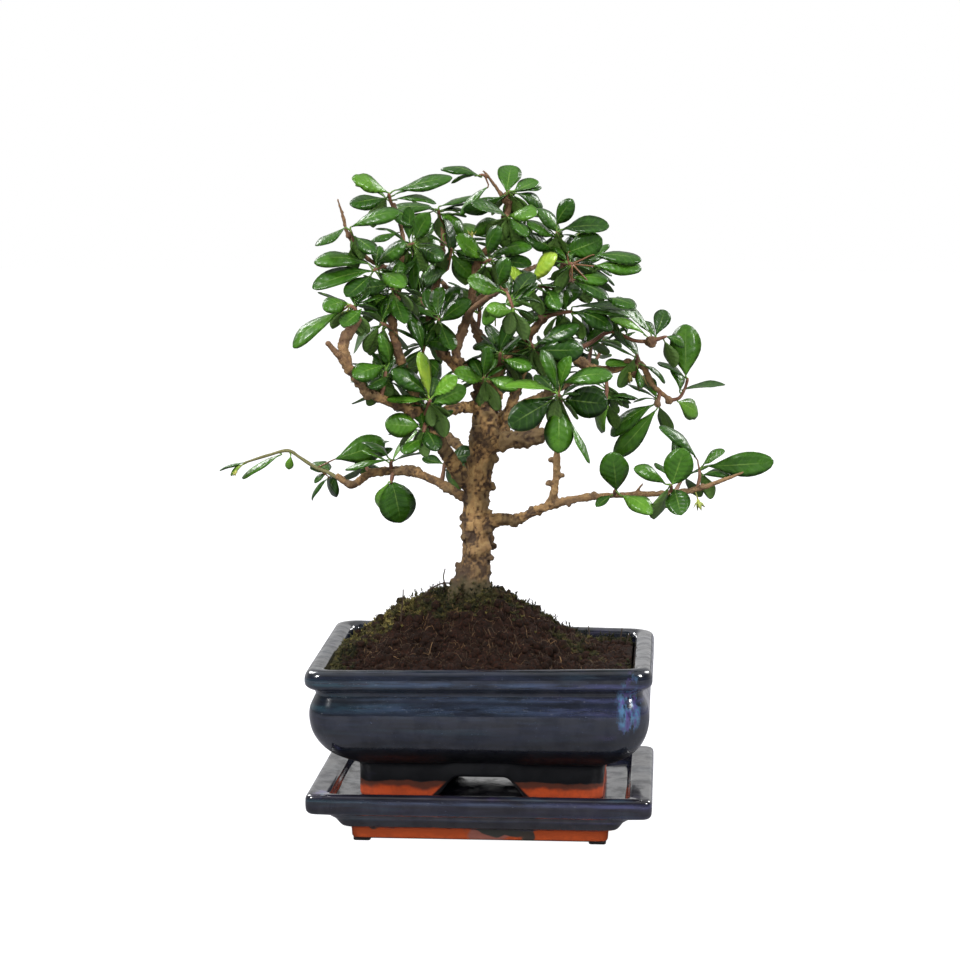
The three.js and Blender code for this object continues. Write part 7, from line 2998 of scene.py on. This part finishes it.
@dataclass(frozen=True)
class BarkFinish:
    """Tan crusty bark with dark cracks, redder and smoother on young wood and mossy at the foot."""

    crack: int = 0x3A2B20
    bark: int = 0x957349
    crust: int = 0xAA8B5A
    stain: int = 0x5F5138
    young: int = 0x7C6246
    shoot: int = 0x5E4232
    young_pale: int = 0x84684C
    moss: int = 0x34341C
    moss_dark: int = 0x2C2A18
    moss_top: float = 110.0

    def build(self, mottle: bpy.types.NodeTree) -> bpy.types.Material:
        """The finished material.

        Args:
            mottle: The group that clouds one colour with another.

        Returns:
            The finished material.
        """
        material, graph, shader = new_material("tan_bark")
        place = graph.place()
        relief = graph.attribute("height").outputs["Fac"]
        fine = graph.noise(place, 1.3, 4.0, 0.7)
        raised = graph.span(relief, -0.45, 0.9)
        level = graph.plus(raised, graph.fit(fine, 0.5, -0.25))
        bark = graph.ramp(level, ((0.0, self.crack), (0.3, self.bark), (0.62, self.crust), (1.0, self.bark)))
        stain = graph.mix(fine, linear(self.stain), linear(self.crack))
        stained = graph.group(mottle, place=place, ground=bark, cloud=stain, amount=0.4)
        burr = graph.times(graph.attribute("burr").outputs["Fac"], 0.7)
        bark = graph.mix(burr, stained.outputs[0], graph.mix(level, linear(self.crack), linear(self.stain)))
        girth = graph.attribute("girth").outputs["Fac"]
        thin = graph.span(girth, 2.6, 1.1, 0, 0.55)
        bark = graph.mix(thin, bark, graph.mix(fine, linear(self.young), linear(self.young_pale)))
        height = graph.fit(graph.noise(place, 0.22, 3.0, 0.6), -26.0, graph.split(place)[2])
        # Painted shade: the bark is darkened towards the crack colour down the trunk's foot, from 150 mm to
        # 108 mm.
        low = graph.span(graph.split(place)[2], 150.0, 108.0, 0, 0.58)
        bark = graph.mix(low, bark, linear(self.crack))
        high = graph.span(graph.split(place)[2], 190.0, 225.0, 0, 0.5)
        bark = graph.mix(high, bark, linear(self.shoot))
        green = graph.span(height, self.moss_top - 8, self.moss_top - 20, 0, 0.8)
        bark = graph.mix(green, bark, graph.mix(fine, linear(self.moss), linear(self.moss_dark)))
        graph.dress(shader, {"Base Color": bark, "Roughness": 0.88})
        grain = graph.noise(graph.place((1.0, 1.0, 0.5)), 1.1, 5.0, 0.75)
        graph.feed(shader.inputs["Normal"], graph.bump(grain, 0.5))
        return material


@dataclass(frozen=True)
class TwigFinish:
    """Reddish-brown young wood; the low shoot on the far left, the youngest, is still grey-green."""

    red: int = 0x684231
    tan: int = 0x80604A
    green: int = 0x6C6E44
    green_from: float = -64.0
    green_to: float = -74.0

    def build(self, mottle: bpy.types.NodeTree) -> bpy.types.Material:
        """The finished material.

        Args:
            mottle: The group that clouds one colour with another.

        Returns:
            The finished material.
        """
        material, graph, shader = new_material("young_twig")
        place = graph.place((3.0, 3.0, 3.0))
        colour = graph.group(mottle, place=place, ground=linear(self.red), cloud=linear(self.tan), amount=0.9)
        left = graph.span(graph.split(graph.place())[0], self.green_from, self.green_to, 0, 0.85)
        colour = graph.mix(left, colour.outputs[0], linear(self.green))
        graph.dress(shader, {"Base Color": colour, "Roughness": 0.7})
        graph.feed(shader.inputs["Normal"], graph.bump(graph.noise(place, 0.6, 4.0, 0.7), 0.25))
        return material


@dataclass(frozen=True)
class LeafFinish:
    """A thick glossy leaf: dark above and paler below, with a light rib, faint veins and tiny pale dots."""

    dark: int = 0x122808
    old: int = 0x1F400C
    mid: int = 0x355E13
    fresh: int = 0x5C8A28
    new: int = 0xA2B63C
    under: int = 0x5E7A3A
    rib: int = 0x7F9E48
    twig: int = 0x6E4E36

    def build(self, specks: bpy.types.NodeTree) -> bpy.types.Material:
        """The finished material.

        Args:
            specks: The group that makes a mask of specks.

        Returns:
            The finished material.
        """
        material, graph, shader = new_material("glossy_leaf")
        along, across, upper = graph.split(graph.attribute("blade").outputs["Vector"])
        tint, _, half_width = graph.split(graph.attribute("traits").outputs["Vector"])
        place = graph.place()
        cloud = graph.fit(graph.noise(place, 0.16, 3.0, 0.6), 0.5, -0.25)
        age = graph.fit(tint, 0.42, 0.45)
        level = graph.plus(age, graph.times(cloud, 0.7))
        green = graph.ramp(
            level, ((0.0, self.dark), (0.28, self.old), (0.5, self.mid), (0.72, self.fresh), (0.95, self.new))
        )
        aside = graph.times(graph.math("ABSOLUTE", across), half_width)
        rib = graph.times(graph.span(aside, 0.42, 0.08), graph.span(along, 1.0, 0.4, 0.0, 0.35))
        slant = graph.fit(graph.math("ABSOLUTE", across), -0.16, along)
        veins = graph.math("SINE", graph.times(slant, 44.0))
        vein_mask = graph.span(veins, 0.55, 1.0, 0, 0.16)
        green = graph.mix(vein_mask, green, graph.mix(0.5, green, linear(self.fresh)))
        green = graph.mix(rib, green, linear(self.rib))
        dots = graph.group(specks, place=graph.place((1.5, 1.5, 1.5)), size=0.25).outputs[0]
        green = graph.mix(graph.times(dots, 0.2), green, linear(self.rib))
        edge = graph.span(graph.math("ABSOLUTE", across), 0.9, 1.0, 0, 0.2)
        green = graph.mix(edge, green, linear(self.fresh))
        below = graph.mix(0.55, green, linear(self.under))
        green = graph.mix(graph.span(upper, 0.2, -0.2), green, below)
        green = graph.mix(graph.span(along, -0.2, -0.8), green, linear(self.twig))
        graph.feed(shader.inputs["Base Color"], green)
        gloss = graph.span(graph.noise(place, 0.35, 2.0, 0.5), 0.3, 0.7, 0.26, 0.42)
        dull = graph.times(graph.span(upper, 0.2, -0.2), 0.25)
        graph.feed(shader.inputs["Roughness"], graph.plus(gloss, dull))
        relief = graph.fit(veins, 0.16, graph.times(rib, -0.5))
        uneven = graph.noise(place, 0.34, 1.5, 0.4)
        graph.feed(shader.inputs["Normal"], graph.bump(graph.plus(relief, uneven), 0.3))
        graph.dress(shader, {"Specular IOR Level": 0.34, "Coat Weight": 0.16, "Coat Roughness": 0.14})
        return material


@dataclass(frozen=True)
class SoilFinish:
    """Dark peat with red-brown crumbs, green where moss grows."""

    dark: int = 0x0D0906
    peat: int = 0x251812
    red: int = 0x3A2118
    deep_moss: int = 0x25240F
    moss: int = 0x33311A
    pale_moss: int = 0x57512A
    rust: int = 0x5A3826

    def build(self, mottle: bpy.types.NodeTree, specks: bpy.types.NodeTree) -> bpy.types.Material:
        """The finished material.

        Args:
            mottle: The group that clouds one colour with another.
            specks: The group that makes a mask of specks.

        Returns:
            The finished material.
        """
        material, graph, shader = new_material("mossy_peat")
        place = graph.place()
        grains = graph.noise(place, 0.9, 5.0, 0.75)
        peat = graph.ramp(grains, ((0.3, self.dark), (0.5, self.peat), (0.66, self.red)))
        peat = graph.group(mottle, place=place, ground=peat, cloud=linear(self.dark), amount=0.5).outputs[0]
        tufts = graph.noise(place, 0.5, 4.0, 0.7)
        moss = graph.ramp(tufts, ((0.35, self.deep_moss), (0.5, self.moss), (0.7, self.pale_moss)))
        cover = graph.attribute("moss").outputs["Fac"]
        patches = graph.fit(graph.noise(place, 0.35, 3.0, 0.6), 1.2, -0.75)
        share = graph.plus(cover, patches)
        colour = graph.mix(graph.span(share, 0.25, 0.75, 0, 0.85), peat, moss)
        crumbs = graph.group(specks, place=graph.place((0.8, 0.8, 0.8)), size=0.4).outputs[0]
        colour = graph.mix(graph.times(crumbs, 0.3), colour, linear(self.rust))
        graph.dress(shader, {"Base Color": colour, "Roughness": 0.95, "Specular IOR Level": 0.15})
        graph.feed(shader.inputs["Normal"], graph.bump(grains, 1.4))
        return material


@dataclass(frozen=True)
class MossFinish:
    """Moss: from near black-green to olive in random tufts, straw yellow in a patch on the left shoulder."""

    deep: int = 0x14170B
    olive: int = 0x38361B
    straw: int = 0x867842
    patch: tuple[float, float, float] = (-44.0, -4.0, 84.0)

    def build(self) -> bpy.types.Material:
        """The finished material.

        Returns:
            The finished material.
        """
        material, graph, shader = new_material("moss_leaflets")
        place = graph.place()
        shade = graph.attribute("shade").outputs["Fac"]
        far = graph.node("VectorMath", operation="DISTANCE")
        graph.feed(far.inputs[0], place)
        far.inputs[1].default_value = self.patch
        left = graph.span(far.outputs["Value"], 34.0, 6.0, -0.06, 0.42)
        cloud = graph.fit(graph.noise(place, 0.14, 3.0, 0.6), 0.8, -0.35)
        level = graph.plus(graph.fit(shade, 0.5, left), cloud)
        green = graph.ramp(level, ((0.05, self.deep), (0.45, self.olive), (0.95, self.straw)))
        graph.dress(shader, {"Base Color": green, "Roughness": 0.9, "Specular IOR Level": 0.2})
        return material


@dataclass(frozen=True)
class BudFinish:
    """Sepals, buds and dried calyxes: yellow-green when fresh, brownish when dry."""

    green: int = 0x6E8A34
    yellow: int = 0xC0BC62
    dry: int = 0x7A6238

    def build(self) -> bpy.types.Material:
        """The finished material.

        Returns:
            The finished material.
        """
        material, graph, shader = new_material("sepals")
        cloud = graph.fit(graph.noise(graph.place(), 0.9, 3.0, 0.6), 0.4, -0.2)
        level = graph.plus(graph.attribute("dryness").outputs["Fac"], cloud)
        colour = graph.ramp(level, ((0.1, self.yellow), (0.45, self.green), (0.85, self.dry)))
        graph.dress(shader, {"Base Color": colour, "Roughness": 0.6})
        return material


@dataclass(frozen=True)
class FibreFinish:
    """Dry roots and stalks, from nearly black to pale straw."""

    dark: int = 0x1C130C
    pale: int = 0x9C7850

    def build(self) -> bpy.types.Material:
        """The finished material.

        Returns:
            The finished material.
        """
        material, graph, shader = new_material("dry_roots")
        pale = graph.attribute("pale").outputs["Fac"]
        cloud = graph.noise(graph.place(), 0.6, 3.0, 0.6)
        level = graph.times(pale, graph.fit(cloud, 0.8, 0.45))
        colour = graph.ramp(level, ((0.0, self.dark), (0.9, self.pale)))
        graph.dress(shader, {"Base Color": colour, "Roughness": 0.85})
        return material


@dataclass
class Studio:
    """The pale floor, the soft light and the camera at the photograph's viewing angle."""

    pitch: float = math.radians(6.82)
    lens: float = 100.0
    sensor: float = 36.0
    floor_half: float = 6.0
    floor_colour: tuple[float, float, float, float] = (0.17, 0.17, 0.19, 1)
    crown_height: float = 0.16
    farthest: float = 30.0

    def floor(self) -> None:
        """A wide floor that the camera sees white and the glaze sees grey."""
        half = self.floor_half / MM
        points = np.array([[-half, -half, 0], [half, -half, 0], [half, half, 0], [-half, half, 0]])
        piece = new_mesh("floor", points, np.array([[0, 1, 2], [0, 2, 3]]))
        material, graph, shader = new_material("white_floor")
        shader.inputs["Base Color"].default_value = self.floor_colour
        shader.inputs["Roughness"].default_value = 1.0
        shader.inputs["Emission Color"].default_value = (1, 1, 1, 1)
        seen = graph.node("LightPath").outputs["Is Camera Ray"]
        graph.feed(shader.inputs["Emission Strength"], seen)
        piece.data.materials.append(material)

    def sky(self) -> None:
        """A white surround, bright overhead and behind the object and dimmer behind the camera."""
        world = bpy.data.worlds.new("studio")
        bpy.context.scene.world = world
        world.use_nodes = True
        graph = Graph(world.node_tree)
        world.node_tree.nodes.clear()
        coordinates = graph.node("TexCoord")
        _, depth, height = graph.split(coordinates.outputs["Generated"])
        behind = graph.span(depth, -0.25, 0.75, 0.11, 0.53)
        low = graph.span(height, 0.75, 0.15, 0.35, 1.0)
        above = graph.span(height, 0.45, 0.95, 0.0, 0.55)
        seen = graph.node("LightPath").outputs["Is Camera Ray"]
        around = graph.fit(behind, low, above)
        background = graph.node("Background")
        graph.feed(background.inputs["Strength"], graph.math("MAXIMUM", seen, around))
        background.inputs["Color"].default_value = (1, 1, 1, 1)
        output = graph.node("OutputWorld")
        world.node_tree.links.new(background.outputs[0], output.inputs["Surface"])

    def lamp(
        self, name: str, place: tuple[float, float, float], size: float, power: float
    ) -> bpy.types.Object:
        """A square soft light that faces the crown, from a place in metres.

        Args:
            name: The lamp's name.
            place: Where it hangs, in metres.
            size: Its side in metres.
            power: Its power in watts.

        Returns:
            The lamp's object.
        """
        light = bpy.data.lights.new(name, "AREA")
        light.shape = "SQUARE"
        light.size = size
        light.energy = power
        holder = bpy.data.objects.new(name, light)
        bpy.context.scene.collection.objects.link(holder)
        aim = Vector((0, 0, self.crown_height)) - Vector(place)
        holder.matrix_world = Matrix.Translation(place) @ aim.to_track_quat("-Z", "Y").to_matrix().to_4x4()
        return holder

    def camera(self) -> None:
        """The camera at the eye from which the tree was measured, pitched down a little."""
        data = bpy.data.cameras.new("camera")
        data.lens = self.lens
        data.sensor_width = self.sensor
        data.clip_end = self.farthest
        holder = bpy.data.objects.new("camera", data)
        bpy.context.scene.collection.objects.link(holder)
        cos, sin = math.cos(self.pitch), math.sin(self.pitch)
        ahead = Vector((-math.sin(SIGHT.turn) * cos, math.cos(SIGHT.turn) * cos, -sin))
        place = Vector(SIGHT.eye() * MM)
        holder.matrix_world = Matrix.Translation(place) @ ahead.to_track_quat("-Z", "Y").to_matrix().to_4x4()
        bpy.context.scene.camera = holder

    def build(self) -> None:
        """Sets up the stage."""
        bpy.context.scene.view_settings.view_transform = "Standard"
        self.camera()
        self.floor()
        self.sky()
        self.lamp("left_key", (-0.95, -0.85, 1.2), 0.3, 27.0)
        self.lamp("right_key", (1.0, -0.8, 1.0), 0.35, 17.0)
        self.lamp("front_fill", (0.1, -1.9, 0.7), 0.9, 20.0).visible_glossy = False
        self.lamp("left_back", (-0.9, 1.0, 1.1), 0.5, 13.0)
        self.lamp("right_back", (1.0, 0.9, 1.0), 0.5, 13.0)


def main() -> None:
    """Builds the stage and every piece of the bonsai."""
    logging.basicConfig(level=logging.INFO, format="%(name)s: %(message)s")
    Studio().build()
    mottle = mottle_group()
    specks = speck_group()
    x, y = pot_middle()
    pot_glaze = GlazeFinish(
        name="pot_glaze", deep=0x0E1118, body=0x1A1F2D, cloud=0x1E2A34, pale=0x384860, violet=0x2C2A40,
        teal=0x26444E, black_below=42.0,
        clay=0xB8481F, clay_dark=0x7A321A, clay_top=25.0, burn=0x3A2C26, foot_dark=0.0, smear=0.0,
        arch_reach=22.5,
        bands=((72.4, 2.4, 0.8), (66.2, 2.4, 0.4), (61.4, 3.2, 0.42)),
        run=(x + 65, y - 57, 65), run_reach=6.5, run_light=0x466C8C,
    )
    saucer_glaze = GlazeFinish(
        name="saucer_glaze", deep=0x100E14, body=0x1F1F2C, cloud=0x20303C, pale=0x34405A, violet=0x2F2748,
        teal=0x264048, black_below=-9.0,
        clay=0xB44C20, clay_dark=0x8A3A1A, clay_top=6.4, burn=0xA0441E, foot_dark=1.7, smear=0.95,
        arch_reach=0.0,
        bands=((19.6, 1.6, 0.5), (14.0, 1.8, 0.4), (11.0, 1.2, 0.5)),
        run=(x - 68, y - 50, 21), run_reach=5.0, run_light=0x45607C,
    )
    Pot().build(pot_glaze.build(mottle, specks))
    Saucer().build(saucer_glaze.build(mottle, specks))
    soil = Soil()
    soil.build(SoilFinish().build(mottle, specks))
    Fibres(soil).build(FibreFinish().build())
    wood = Wood()
    wood.build(BarkFinish().build(mottle))
    Moss(soil, wood.skin).build(MossFinish().build())
    Blossoms().build(BudFinish().build())
    Sprays(Foliage(), Blades()).build(LeafFinish().build(specks), TwigFinish().build(mottle))


if __name__ == "__main__":
    main()
